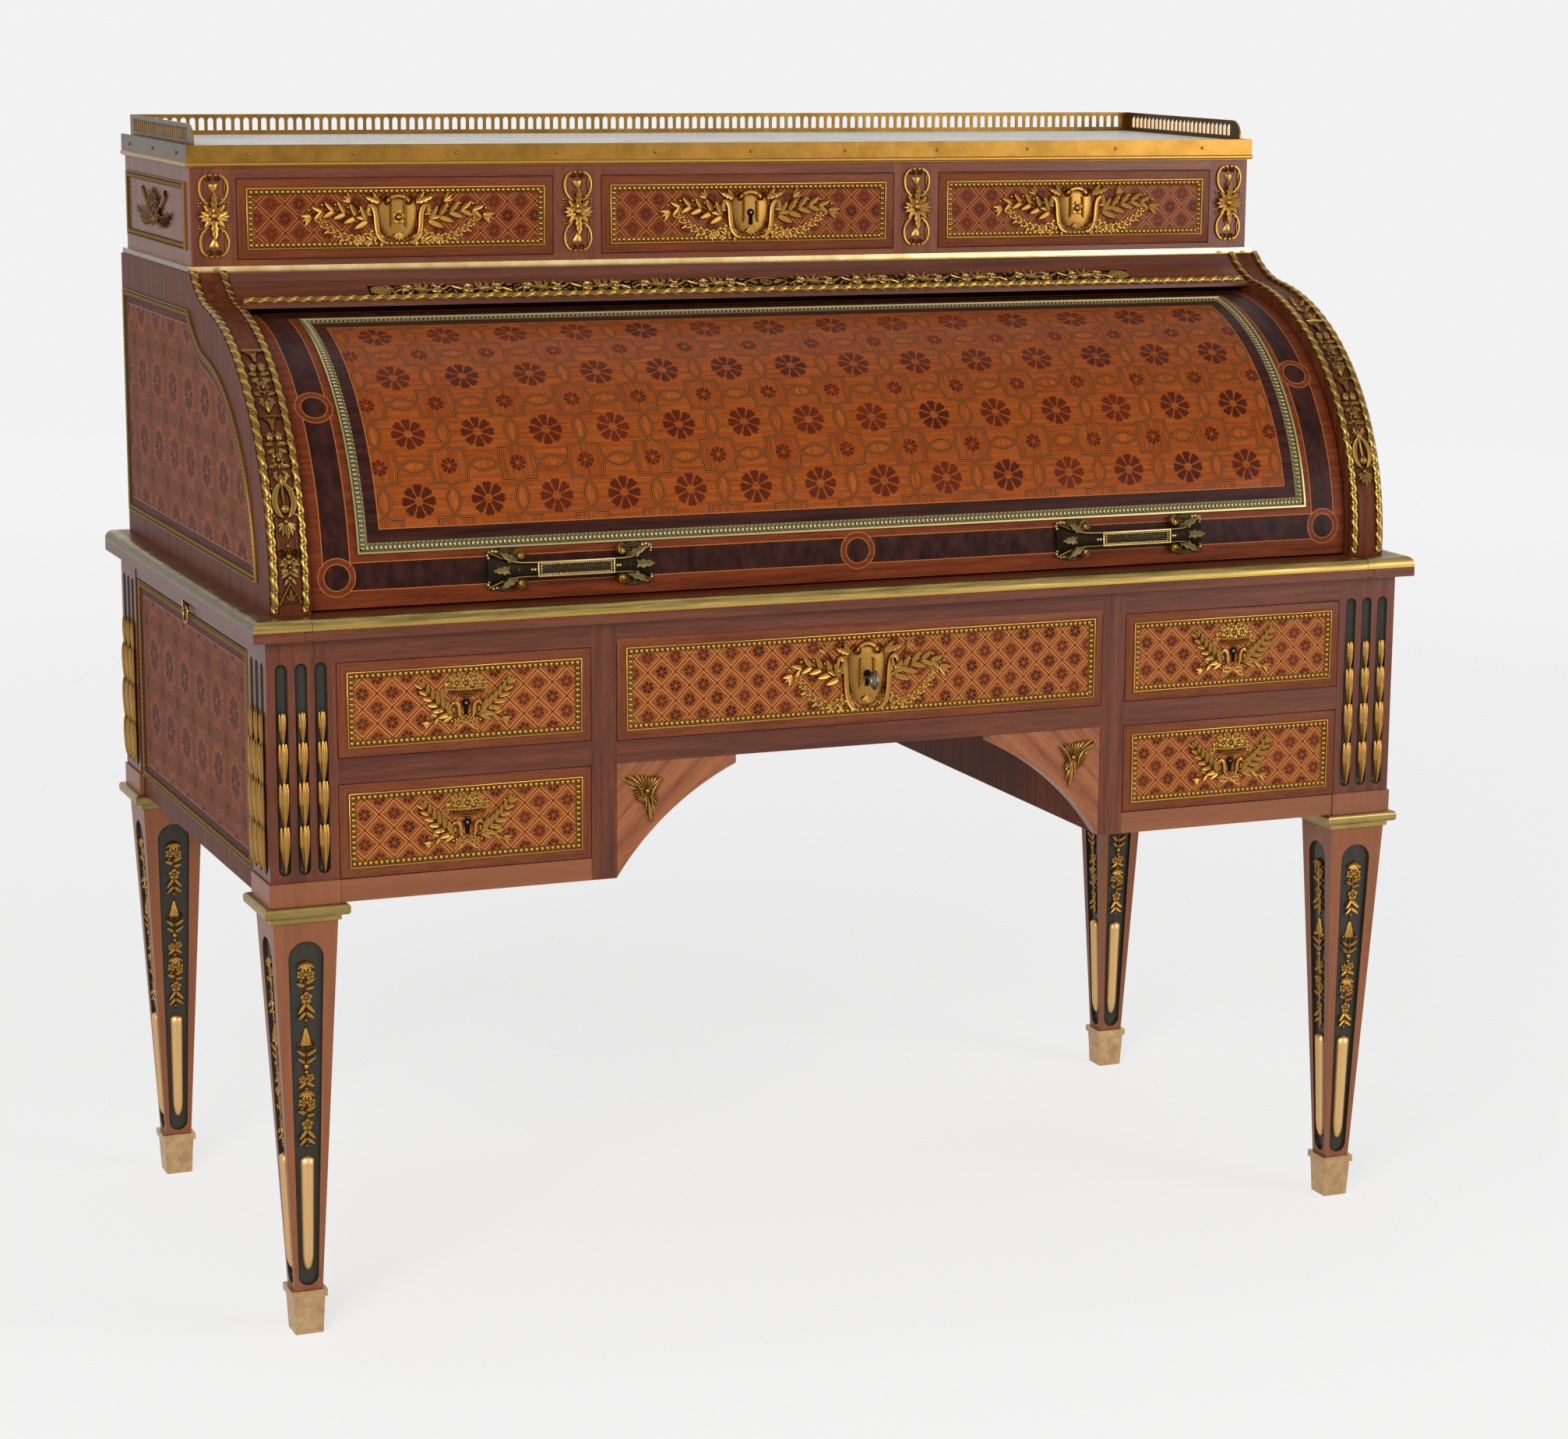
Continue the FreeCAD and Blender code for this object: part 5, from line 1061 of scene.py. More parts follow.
TIP_FRAME = [(0, -0.4), (0, 2.0), (0.5, 2.9), (2.4, 2.9), (3.0, 2.0), (3.2, 0.9), (11.4, 0.7), (12.0, 0.3),
             (12.0, -0.4)]
upright = np.linspace(frame_arc[0], frame_arc[1], 60)
frame_loop = np.concatenate([np.column_stack([np.full(60, frame_half), upright]),
                             np.column_stack([np.full(60, -frame_half), upright[::-1]])])
frame_loop = anticlockwise(frame_loop)
tips, tip_turn = paced(frame_loop + inward(frame_loop) * 6.6, 5.0)
eyes, eye_turn = paced(frame_loop + inward(frame_loop) * 10.6, 5.0)
tip_frame = [carried(frame_loop, TIP_FRAME, FILLET_LIGHT),
             scatter(bead, *tips.T, tip_turn + math.pi / 2, 1.9, 0.7, 1.75),
             scatter(bead, *eyes.T, eye_turn, 1.3, 0.6)]
piece("cylinder_leaf_tip_frame", [rolled(p, fall_radius) for p in tip_frame], "fall", grey_gilt,
      ["fall_frame"])

# %% [markdown]
# Inside its flutes and the sunk panels of its legs the desk has a grey-green lining, an old painted ground
# that makes the gilt husks stand out. The CAD posts and legs already have the hollows, so their finish asks
# how deep a spot lies under the post's outer faces, and paints what is deeper than half a millimetre.

# %% Posts and legs
LEG_TOP, LEG_FOOT, LEG_HEIGHT = 70.0, 26.0, 462.0
leg_low, leg_high = extent("legs")
leg_x = leg_high[0] - LEG_TOP / 2
leg_y = leg_low[1] + LEG_TOP / 2, leg_high[1] - LEG_TOP / 2
POST_SIDE = 74.0


def lined_wood(name, foot_half, growth):
    """Mahogany whose hollows are lined; the outer half width is foot_half plus growth times the height."""
    material, tree = finish(name, **POLISH)
    object_mm = board_vector(tree, ACROSS)
    x, y, z = axes_of(object_mm)
    from_x = abs(abs(x) - leg_x)
    from_y = abs(y - (leg_y[0] + leg_y[1]) / 2)
    from_y = abs(from_y - (leg_y[1] - leg_y[0]) / 2)
    depth = wire(tree, "MULTIPLY_ADD", z, growth, foot_half) - larger(from_x, from_y)
    wood, pores = grain(board_vector(tree, UPRIGHT), *MAHOGANY)
    # Below the block level the wood is painted paler for light bounced up from the floor.
    wood = painted_floor_bounce(z, BLOCK_LEVEL, wood)
    ground = noise(object_mm, (9, 9, 60), 4.0)
    ground = mix(ground, "#1d1b15", "#383429")
    colour = mix(depth > 0.5, wood, ground)
    return drive(material, Base_Color=colour, Normal=bevelled_light(pores, 0.05))


dress(lined_wood("mahogany_with_lined_panels", LEG_FOOT / 2, (LEG_TOP - LEG_FOOT) / 2 / LEG_HEIGHT), "legs")
dress(lined_wood("mahogany_with_lined_flutes", POST_SIDE / 2, 0.0), "corner_posts")
print(f"posts centred at x {leg_x:.0f}, y {leg_y[0]:.0f} and {leg_y[1]:.0f}")

# %% [markdown]
# What shows only when something opens is plainer work: drawer sides of pale quarter-sawn oak behind a
# mahogany front, oak dust boards, a veneered nest, a leather writing surface and iron fittings. The slab on
# top is white marble with faint grey veins, polished.

# %% Oak, leather, marble and steel
OAK = ("#8a6a44", "#b8935f")


def drawer_wood(name, split_y):
    """Mahogany in front of a plane, oak behind it; oak that faces forwards has its grain across."""
    material, tree = finish(name, Roughness=0.5, Coat_Weight=0.15, Coat_Roughness=0.3)
    object_mm = board_vector(tree, ACROSS)
    behind = axes_of(object_mm)[1] > split_y
    facing = axes_of(wire(tree, "NewGeometry", out="Normal"))[1]
    oak, pores = grain(board_vector(tree, BACKWARD), *OAK, 6.0, 140.0, 0.9)
    oak_across, pores_across = grain(object_mm, *OAK, 6.0, 140.0, 0.9)
    forwards = abs(facing) > 0.7
    oak, pores = (mix(forwards, *pair) for pair in ((oak, oak_across), (pores, pores_across)))
    colour = mix(behind, grain(object_mm, *MAHOGANY)[0], oak)
    return drive(material, Base_Color=colour, Normal=bevelled_light(pores, 0.08))


FRONT_THICKNESS, NEST_KNOB_AND_FRONT = 20.0, 18.5
dress(drawer_wood("base_drawer_wood", extent("drawer_centre")[0][1] + FRONT_THICKNESS), *BASE_DRAWERS)
dress(drawer_wood("case_drawer_wood", extent("case_drawer_centre")[0][1] + FRONT_THICKNESS), *CASE_DRAWERS)
NEST_DRAWERS = ["nest_drawer_left", "nest_drawer_middle", "nest_drawer_right"]
dress(drawer_wood("nest_drawer_wood", extent("nest_drawer_left")[0][1] + NEST_KNOB_AND_FRONT),
      *NEST_DRAWERS)
oak_across = solid_wood("waxed_oak_across", ACROSS, *OAK, Coat_Weight=0.0, Roughness=0.6)
oak_upright = solid_wood("stained_oak_upright", UPRIGHT, "#5c3b28", "#80573a", Coat_Weight=0.0,
                         Roughness=0.6)
dress(oak_across, "dust_boards")
dress(oak_upright, "back_boards")
dress(mahogany_across, "nest")


def stone_finish():
    """White marble: clouds of pale grey, and veins where a warped noise crosses its middle value."""
    material, tree = finish("polished_white_marble", Roughness=0.4, Specular_IOR_Level=0.3,
                            Subsurface_Weight=0.08, Subsurface_Scale=0.01)
    object_mm = board_vector(tree, ACROSS)
    cloud = noise(object_mm, 260, 5.0, 0.6)
    warp = noise(object_mm, 190, 3.0, Distortion=2.0)
    vein = ramp(abs(warp - 0.5), 0.0, 0.07, 0.3, 0.0)
    colour = mix(cloud, "#d8d8d3", "#eeede9")
    return drive(material, Base_Color=mix(vein, colour, "#9c9c99"))


def hide_finish():
    """Tanned leather: fine pebbles about a millimetre wide, with the colour rubbed paler in clouds."""
    material, tree = finish("tooled_green_leather", Roughness=0.48)
    object_mm = board_vector(tree, ACROSS)
    pebble = wire(tree, "TexVoronoi", wire(tree, "Mapping", object_mm, Scale=(1 / 1.1,) * 3),
                  out="Distance")
    cloud = noise(object_mm, 120, 3.0)
    return drive(material, Base_Color=mix(cloud, "#1f3326", "#3a5040"), Normal=bevelled_light(pebble, 0.2))


dress(stone_finish(), "marble_top")
dress(hide_finish(), "writing_leather")
steel = cast_brass("burnished_steel", "#4b4a48", "#8d8b87", 4.0, 0.33)
dress(steel, "key", "lock_bolt", "fall_arms", "fall_pivots")

# %% [markdown]
# Cast ornament is built from a few shapes that a modeller presses out of wax: leaves, stems, scrolls,
# flowers and berries. Leaves and stems are one function, a blade: a flattened oval carried along a line,
# with a width and a rise at each point. Scattered copies of unit leaves and flowers do the rest. All of it
# is modelled flat (right, up, out) and laid on its board afterwards.

# %% Wax shapes for the mounts
def blade(path, width, rise, around=8, groove=0.0, light=1.0):
    """An oval carried along a line in the plane: across it the half width times the cosine, out of the
    plane the rise times the sine, less a groove along the middle; the underside is nearly flat. The light
    says how bright its crest is rubbed."""
    path = np.asarray(path, float)
    if path.shape[1] == 2:
        path = np.column_stack([path, np.zeros(len(path))])
    ahead_of = np.gradient(path[:, :2], axis=0)
    ahead_of = ahead_of / np.maximum(np.linalg.norm(ahead_of, axis=1, keepdims=True), 1e-9)
    side = np.column_stack([-ahead_of[:, 1], ahead_of[:, 0], np.zeros(len(path))])
    turn = np.linspace(0, 2 * math.pi, around, endpoint=False)
    crown = np.where(np.sin(turn) > 0, np.sin(turn), 0.25 * np.sin(turn))
    crest = np.clip(crown, 0, 1) * (1 - groove * np.exp(-(np.cos(turn) / 0.4) ** 2))
    crown = np.where(crown > 0, crest, crown)
    width = np.broadcast_to(width, len(path))[:, None, None]
    rise = np.broadcast_to(rise, len(path))[:, None, None]
    points = path[:, None] + side[:, None] * width * np.cos(turn)[None, :, None]
    points = points + np.array([0, 0, 1.0]) * rise * crown[None, :, None]
    flat = np.broadcast_to(light * np.clip(0.1 + 1.1 * crest, 0, 1)[None, :, None] * [0, 0, 1],
                           points.shape)
    return patch(points, flat)


def bezier(*controls, steps=16):
    """A smooth line drawn towards its control points: the Bernstein mean of them at each step."""
    controls = np.array(controls, float)
    last = len(controls) - 1
    t = np.linspace(0, 1, steps)[:, None]
    weights = np.concatenate([math.comb(last, k) * t ** k * (1 - t) ** (last - k) for k in range(last + 1)],
                             axis=1)
    return weights @ controls


def swell(steps, sharp=0.7):
    """A width that grows from nothing and tapers away: the sine of half a turn to a power."""
    return np.sin(math.pi * np.linspace(0, 1, steps)) ** sharp


def leaf_shape(half_width, teeth=0, steps=8):
    """A unit leaf from the origin along the first axis, curling outwards at its tip."""
    s = np.linspace(0, 1, steps)
    path = np.column_stack([s, 0 * s, 0.05 * s + 0.2 * s ** 2])
    notches = 1 + 0.28 * np.cos(2 * math.pi * teeth * s) * (teeth > 0)
    width = 1.9 * half_width * s ** 0.65 * (1 - s) ** 0.85 * notches
    return blade(path, width + 0.012, 0.19 * swell(steps, 0.5), groove=0.6)


def blossom(petals, around):
    """A flower: the rim's radius swings with the petals, rings rise to a lip and fall to a round eye."""
    turn = np.linspace(0, 2 * math.pi, around, endpoint=False)[None, :]
    ring = np.array([0, 0.2, 0.34, 0.66, 1.0, 0])[:, None]
    height = np.array([0.6, 0.5, 0.12, 1.0, 0.6, -0.2])[:, None]
    light = np.array([1, 0.85, 0.05, 1.0, 0.6, 0])[:, None]
    petal = np.abs(np.cos(petals * turn / 2))
    radius = ring * (1 - 0.26 * (1 - petal) * np.clip(2 * ring, 0, 1))
    raised = np.where(height > 0.5, height * (0.55 + 0.45 * petal), height)
    points = grid(radius * np.cos(turn), radius * np.sin(turn), 0.28 * raised)
    return patch(points, grid(0, 0, light * (0.4 + 0.6 * petal)))


leaf, broad_leaf = leaf_shape(0.23), leaf_shape(0.31)
acanthus = leaf_shape(0.27, teeth=4, steps=14)
rose, daisy = blossom(5, 20), blossom(8, 16)


def mirrored(shape):
    """The same patch on the other side of the middle line."""
    return moved(shape, [-1, 1, 1])


def both(*shapes):
    """Each patch and its mirror image."""
    return [p for shape in shapes for p in (shape, mirrored(shape))]


def branch(line, count, size, berries=True):
    """A stem along a line with pairs of leaves, smaller towards the tip, a last leaf and berries."""
    at = np.linspace(0.12, 1.0, count) * (len(line) - 1)
    u, v = (np.interp(at, np.arange(len(line)), line[:, k]) for k in range(2))
    turn = np.interp(at, np.arange(len(line)), np.unwrap(np.arctan2(*np.gradient(line, axis=0).T[::-1])))
    grow = size * np.linspace(1.15, 0.8, count)
    stem, spread = 1.1, 0.6 * np.linspace(1.2, 0.8, count)
    parts = [blade(line, stem * np.linspace(1.2, 0.6, len(line)), 2 * stem, light=0.8),
             scatter(leaf, u[-1], v[-1], turn[-1], 0.8 * size, 0.8)]
    for side in (-1, 1):
        parts.append(scatter(broad_leaf, u, v, turn + side * spread, grow, 0.6 + 0.4 * side))
    if berries:
        off = 0.42 * size
        parts.append(scatter(bead, u - off * np.sin(turn), v + off * np.cos(turn), 0, 0.13 * size, 2.0))
    return parts


def scroll(u, v, start, turns, outer, width, rise=2.2):
    """A volute: a line winding inwards to a round eye, as wide as the radius that is left."""
    s = np.linspace(0, 1, 26)
    radius = outer * (1 - 0.8 * s)
    angle = start + 2 * math.pi * turns * s
    path = np.column_stack([u + radius * np.cos(angle), v + radius * np.sin(angle), 0.9 * s])
    return [blade(path, width * (1 - 0.5 * s), rise),
            scatter(bead, path[-1, 0], path[-1, 1], 0, 0.24 * outer, 0.6)]


print("leaf", len(leaf.quads), "faces; flower", len(rose.quads), "faces")

# %% [markdown]
# The four pedestal drawers carry the same escutcheon: a basket heaped with roses over a keyhole, held by
# two scrolls, with laurel sprays that curve up on both sides and a ribbon bow below. The keyhole is a dark
# inset of painted shade, a round over a slot, because the hole in the plate is only a few millimetres wide.

# %% Basket escutcheons
def bow(v, size):
    """Two ribbon loops and two tails from a knot on the middle line."""
    loop = [0, v] + size * bezier((0, 0), (1.4, 1), (2.3, -0.3), (1, -0.55), (0, 0))
    tail = [0, v] + size * bezier((0, 0), (0.7, -0.3), (1.1, -1.2), (1.9, -0.8))
    ribbons = both(blade(loop, 0.16 * size, 0.2 * size, groove=0.4),
                   blade(tail, 0.17 * size * swell(16, 0.4), 0.15 * size))
    return ribbons + [scatter(bead, 0, v, 0, 0.26 * size, 0.2)]


def basket_escutcheon():
    """The whole mount, 106 mm wide, with the keyhole at its origin."""
    ribs = [blade([(-w, v), (0, v - 0.8), (w, v)], [0.9, 1.7, 0.9], 2.8) for w, v in ((11, 8), (14, 11.2))]
    rim = bezier((-19, 15.5), (0, 14), (19, 15.5))
    weave, turn = paced(rim, 2.5, closed=False)
    upper = bezier((12, -13), (26, -7), (37, 5), (46, 18))
    lower = bezier((11, -14), (22, -10), (32, -13), (40, -18))
    stem = bezier((5.5, -15), (11, -14), (5.5, -4), (8, 2), (14, 5), (17, -3), steps=18)
    pearls = np.array([(5, -16), (8.5, -16.5), (12, -17.5), (15.5, -19)], float).T
    parts = both(*branch(upper, 6, 14.0), *branch(lower, 3, 12.0),
                 blade(stem, 2.3 * swell(18, 0.3), 4.8, groove=0.2),
                 *scroll(15, 0, 1.6, -1.2, 4.6, 1.3), scatter(bead, *pearls, 0, 1.9, 0.6))
    fringe = np.radians([8, 40, 68, 112, 140, 172])
    roses = np.array([(0, 21, 7.4), (-10, 21.5, 6.2), (10, 21.5, 6.2), (-18.5, 18, 5.2), (18.5, 18, 5.2),
                      (-5, 28.5, 4.8), (5.5, 28, 5.0), (-14, 26.5, 4.4), (14.5, 26, 4.4), (-24, 13, 4.0),
                      (24, 13, 4.0), (-26.5, 8, 2.8), (26.5, 8, 2.8)])
    parts += ribs + bow(-21.5, 8.5) + [blade(rim, 1.9, 3.4, light=0.3),
                                       scatter(bead, *weave.T, turn + 0.6, 1.7, 1.8)]
    parts.append(scatter(rose, roses[:, 0], roses[:, 1], roses[:, 0], roses[:, 2], 1.2))
    parts.append(scatter(broad_leaf, 16 * np.cos(fringe), 20 + 7 * np.sin(fringe), fringe, 9.0, 0.4))
    return parts


def keyhole(radius, drop, lift):
    """A round with a slot under it, as a thin dark plate of painted shade, and the lock's pin as a short
    steel peg.
    """
    slot = blade([(0, 0), (0, -drop / 2), (0, -drop)], 0.55 * radius, 0.4)
    round_part = blade(np.column_stack([np.zeros(9), np.linspace(-radius, radius, 9)]),
                       radius * swell(9, 0.5), 0.5)
    plate = [moved(p, shift=[0, 0, lift]) for p in (slot, round_part)]
    return plate, [scatter(bead, 0, 0, 0, 0.52 * radius, lift + 0.4)]


def hole_shade_finish():
    """Painted shade for the inside of a lock: nearly black, with a little dust."""
    material, tree = finish("keyhole_painted_shade", Roughness=0.9, Specular_IOR_Level=0.05)
    dust = noise(board_vector(tree, ACROSS), 0.5, 2.0)
    return drive(material, Base_Color=mix(dust, "#050404", "#1a1512"))


def drawer_frame(drawer):
    """The bead frame of a drawer front, about the front's centre."""
    _, half_u, half_v = front_face(drawer)
    return bead_frame(rectangle(BEAD_MARGIN - half_u, half_u - BEAD_MARGIN, BEAD_MARGIN - half_v,
                                half_v - BEAD_MARGIN))


hole_shade = hole_shade_finish()


def fit_mount(drawer, ornament, hole=(), pin=()):
    """The bead frame and ornament of a drawer front, and its keyhole and pin where it has them."""
    middle = front_face(drawer)[0]
    mount = laid(drawer_frame(drawer) + ornament, middle)
    piece(f"{drawer}_gilt", mount, drawer, gilt, [f"{drawer}_mounts"], sharp=CHASED)
    for label, patches, metal in (("keyhole", hole, hole_shade), ("lock_pin", pin, steel)):
        if patches:
            piece(f"{drawer}_{label}", laid(patches, middle), drawer, metal)


for drawer in BASE_DRAWERS:
    if drawer != "drawer_centre":
        fit_mount(drawer, basket_escutcheon(), *keyhole(4.4, 13.0, 0.8))

# %% [markdown]
# The long drawers have a wider mount: a shield with curled shoulders, sprays of laurel that reach out left
# and right, and festoons of small flowers hanging under them. One function draws it at any width; on the
# centre drawer it also brings back the iron lock case behind the front, which its CAD node held.

# %% Shield mounts
def shield_mount(wide, top, boss):
    """A shield between two S scrolls with laurel sprays and flower festoons. It fits a half width and a
    half height, and a rosette covers the lock where there is a boss."""
    upper = bezier((26, -6), (0.45 * wide, -2), (0.7 * wide, 0.62 * top), (0.93 * wide, 0.1 * top),
                   steps=20)
    twig = bezier((30, -4), (0.38 * wide, 6), (0.44 * wide, 0.5 * top), (0.5 * wide, 0.66 * top))
    lower = bezier((20, -0.5 * top), (0.42 * wide, -1.2 * top), (0.66 * wide, -0.85 * top),
                   (0.86 * wide, -0.05 * top))
    foot = bezier((12, -0.72 * top), (22, -0.9 * top), (32, -0.98 * top), (40, -0.88 * top))
    spots, turn = paced(lower, 8.0, closed=False)
    side = bezier((35, 0.12 * top), (40, 0.7 * top), (24, 0.72 * top), (20, 0.2 * top), (30, -0.2 * top),
                  (28, -0.75 * top), (19, -1.1 * top), (11, -0.98 * top), steps=28)
    crest = bezier((-13, 0.66 * top), (-6, 0.95 * top), (6, 0.95 * top), (13, 0.66 * top))
    beside = np.linspace(-0.42, 0.28, 6) * top
    parts = both(*branch(upper, 6, 17.0), *branch(twig, 2, 14.0, berries=False),
                 *branch(foot, 3, 11.0, berries=False), blade(lower, 1.0, 2.0),
                 scatter(rose, *spots[1:].T, turn[1:], np.linspace(6.6, 4.6, len(spots) - 1), 1.0),
                 scatter(broad_leaf, *spots[1::2].T, turn[1::2] - 1.1, 9.0, 0.5),
                 blade(side, 1.6 + 2.0 * swell(28, 0.6), 6.4, groove=0.45),
                 scatter(bead, 34, 0.12 * top, 0, 2.8, 2.4),
                 *scroll(13, 0.66 * top, 0.4, 1.2, 6.4, 1.9, 5.6),
                 scatter(leaf, 9.5, beside, 1.9, 8.0, 2.6),
                 scatter(acanthus, 20, 0.6 * top, [0.35, 0.9], [21.0, 15.0], 1.4))
    plate_v = np.linspace(-0.95, 0.8, 18)
    plate = blade(np.column_stack([0 * plate_v, plate_v * top]), np.linspace(18, 27, 18) * swell(18, 0.25),
                  2.6 * swell(18, 0.4), around=14, light=0.62)
    fan = np.radians([-140, -115, -90, -65, -40])
    parts += [plate, blade(crest, 2.3, 6.2, groove=0.4), scatter(acanthus, 0, -0.62 * top, fan, 9.0, 2.2)]
    if boss:
        parts += [scatter(rose, 0, 0, 0.3, 8.6, 2.2), scatter(bead, 0, 0, 0, 3.6, 3.4)]
    return parts


def box_patch(low, high, edge=0.6):
    """A closed box, bevelled round its front and rear: six rings of four corners carried along y."""
    (x0, y0, z0), (x1, y1, z1) = low, high
    inset = np.array([max(x1 - x0, z1 - z0), edge, 0, 0, edge, max(x1 - x0, z1 - z0)])[:, None]
    y = np.array([y0, y0, y0 + edge, y1 - edge, y1, y1])[:, None]
    corner_x, corner_z = np.array([x0, x1, x1, x0]), np.array([z0, z0, z1, z1])
    x = np.clip(corner_x + inset * np.array([1, -1, -1, 1]), *sorted((x0, x1)))
    middle_x, middle_z = (x0 + x1) / 2, (z0 + z1) / 2
    x = np.where(inset > edge, middle_x, x)
    z = np.where(inset > edge, middle_z, corner_z + inset * np.array([1, 1, -1, -1]))
    return patch(grid(x, y, z))


for drawer in ["drawer_centre"] + CASE_DRAWERS:
    spread = 95 if drawer == "drawer_centre" else 106
    half_height = front_face(drawer)[2] - BEAD_MARGIN - FRAME_WIDTH + 1.5
    boss = drawer in ("case_drawer_left", "case_drawer_right")
    hole, pin = keyhole(4.6, 14.0, 2.8)
    fit_mount(drawer, shield_mount(spread, half_height, boss), () if boss else hole,
              pin if drawer == "case_drawer_centre" else ())
lock_y = extent("drawer_centre")[0][1] + FRONT_THICKNESS
LOCK_HALF, LOCK_DEPTH, LOCK_TOP = 25, 14, 732.5
lock_case = box_patch((-LOCK_HALF, lock_y, extent("key")[0][2] - 8),
                      (LOCK_HALF, lock_y + LOCK_DEPTH, LOCK_TOP))
piece("drawer_lock_case", [lock_case], "drawer_centre", steel)

# %% [markdown]
# The fall is drawn up by two bar handles. Each end is a fishtail of acanthus with berried corners and a
# volute above and below. The bar between them is a flat plaque with a border of pearls. The casting is
# dark, with gold only along the rubbed ridges.

# %% Handles of the fall
dark_gilt = gilding("dark_patinated_bronze", "#b89c64", "#201b13", 0.34)
HANDLE_HALF, HANDLE_REACH, HANDLE_ANGLE = 93.0, 24.0, 4.7
HANDLE_X = extent("fall_handles")[1][0] - HANDLE_HALF
HANDLE_ARC = fall_radius * math.radians(HANDLE_ANGLE)
PLAQUE = 43, 7.5


def plaque(half_u, half_v, low, high):
    """A bar with rounded edges: rings of a rounded rectangle along its length, drawn shut at both ends."""
    ring = np.array([(-1, 0), (-1, 0.75), (-0.86, 1), (0.86, 1), (1, 0.75), (1, 0)])
    v, w = ring[:, 0] * half_v, low + (high - low) * ring[:, 1]
    u = np.array([-half_u, -half_u, 1.5 - half_u, half_u - 1.5, half_u, half_u])[:, None]
    share = np.array([0, 0.8, 1, 1, 0.8, 0])[:, None]
    middle = (low + high) / 2
    points = grid(u, v * share, middle + (w - middle) * share)
    light = np.broadcast_to(np.array([0, 0.7, 0.12, 0.12, 0.7, 0])[None, :, None] * [0, 0, 1], points.shape)
    return patch(points, light)


def fishtail():
    """One handle end, for the side where u is positive: a neck that flares like a fish's tail, ridges along
    its edges, volutes in its armpits and berries at its corners."""
    line = np.array([(92, 0, 1.5), (86, 0, 2.5), (79, 0, 5), (71, 0, 10), (62, 0, 15.5), (52, 0, 18.5),
                     (42, 0, 19)], float)
    half = np.array([20, 17, 13, 9.5, 7.6, 7.2, 7.2])
    parts = [blade(line, half, [3, 4, 5, 5, 4.4, 4, 3.6], around=14, light=0.05)]
    for side in (-1, 1):
        edge = line + np.column_stack([0 * half, side * 0.93 * half, 0 * half + 2.4])
        parts.append(blade(edge, 1.0, 2.4, light=0.9))
        sweep = bezier((86, side * 13), (80, side * 22), (66, side * 22), (56, side * 15))
        parts.append(blade(sweep, 4.0 * swell(16, 0.4), 5.0, groove=0.4, light=0.18))
        parts += scroll(57, side * 14.5, -side * 0.8, side * 1.7, 7.0, 1.8, 9.5)
        parts.append(scatter(bead, 57, side * 14.5, 0, 6.2, 1.5))
        parts.append(scatter(bead, 82 + np.array([0, 4, 8, 9.5, 4, 8.5]),
                             side * np.array([19, 19.5, 18.5, 15.5, 16, 12.5]), 0, 2.2, 2.2))
    dull_leaf = acanthus._replace(flat=0.4 * acanthus.flat)
    parts.append(scatter(dull_leaf, [58, 64, 58], [-5, 0, 5], np.radians([-28, 0, 28]), 27, [9, 11, 9]))
    parts.append(scatter(bead, np.linspace(46, 62, 6), 0, 0, np.linspace(1.8, 1.2, 6),
                         np.linspace(22.2, 18.5, 6)))
    return parts


def bar_handle():
    """Both ends, the plaque and its border of pearls."""
    pearls, turn = paced(rectangle(-39, 39, -5, 5), 2.6)
    rim = carried(rectangle(-PLAQUE[0], PLAQUE[0], -PLAQUE[1], PLAQUE[1]),
                  [(0, -1), (0, 0.6), (0.4, 0.9), (1.2, 0.9), (1.6, 0.4), (1.6, -1)], 0.9)
    rim = moved(rim, shift=[0, 0, HANDLE_REACH - 0.9])
    return both(*fishtail()) + [plaque(*PLAQUE, HANDLE_REACH - 8, HANDLE_REACH - 0.8), rim,
                                scatter(bead, *pearls.T, turn, 1.15, HANDLE_REACH - 1.0)]


handles = [rolled(p, fall_radius, x, HANDLE_ARC) for x in (-HANDLE_X, HANDLE_X) for p in bar_handle()]
piece("fall_bar_handles", handles, "fall", dark_gilt, ["fall_handles"], sharp=CHASED)

# %% [markdown]
# Each flute of the posts holds a chain of four bellflowers, small at the top, mouths upwards. A husk is
# three long petals that close to a stalk. In the corners under the centre drawer a triangle of acanthus
# hangs from the spandrel: leaves fan out from a ball near its top edge.

# %% Husks and spandrel leaves
def husk_shape():
    """A unit bellflower on the origin: three petals, narrow at the stalk and parted at the mouth."""
    s = np.linspace(0, 1, 9)
    petals = []
    for lean, lift in ((-0.07, 0.0), (0.07, 0.0), (0.0, 0.035)):
        path = np.column_stack([lean * s ** 0.8, s * (1 - 0.4 * abs(lean)), 0.02 + lift + 0.03 * s])
        width = 0.02 + 0.05 * np.sin(math.pi * s ** 1.3) ** 0.8 * (s < 0.999)
        petals.append(blade(path, width, 0.065 * swell(len(s), 0.4) + 0.01, 6, groove=0.3))
    return joined(petals)


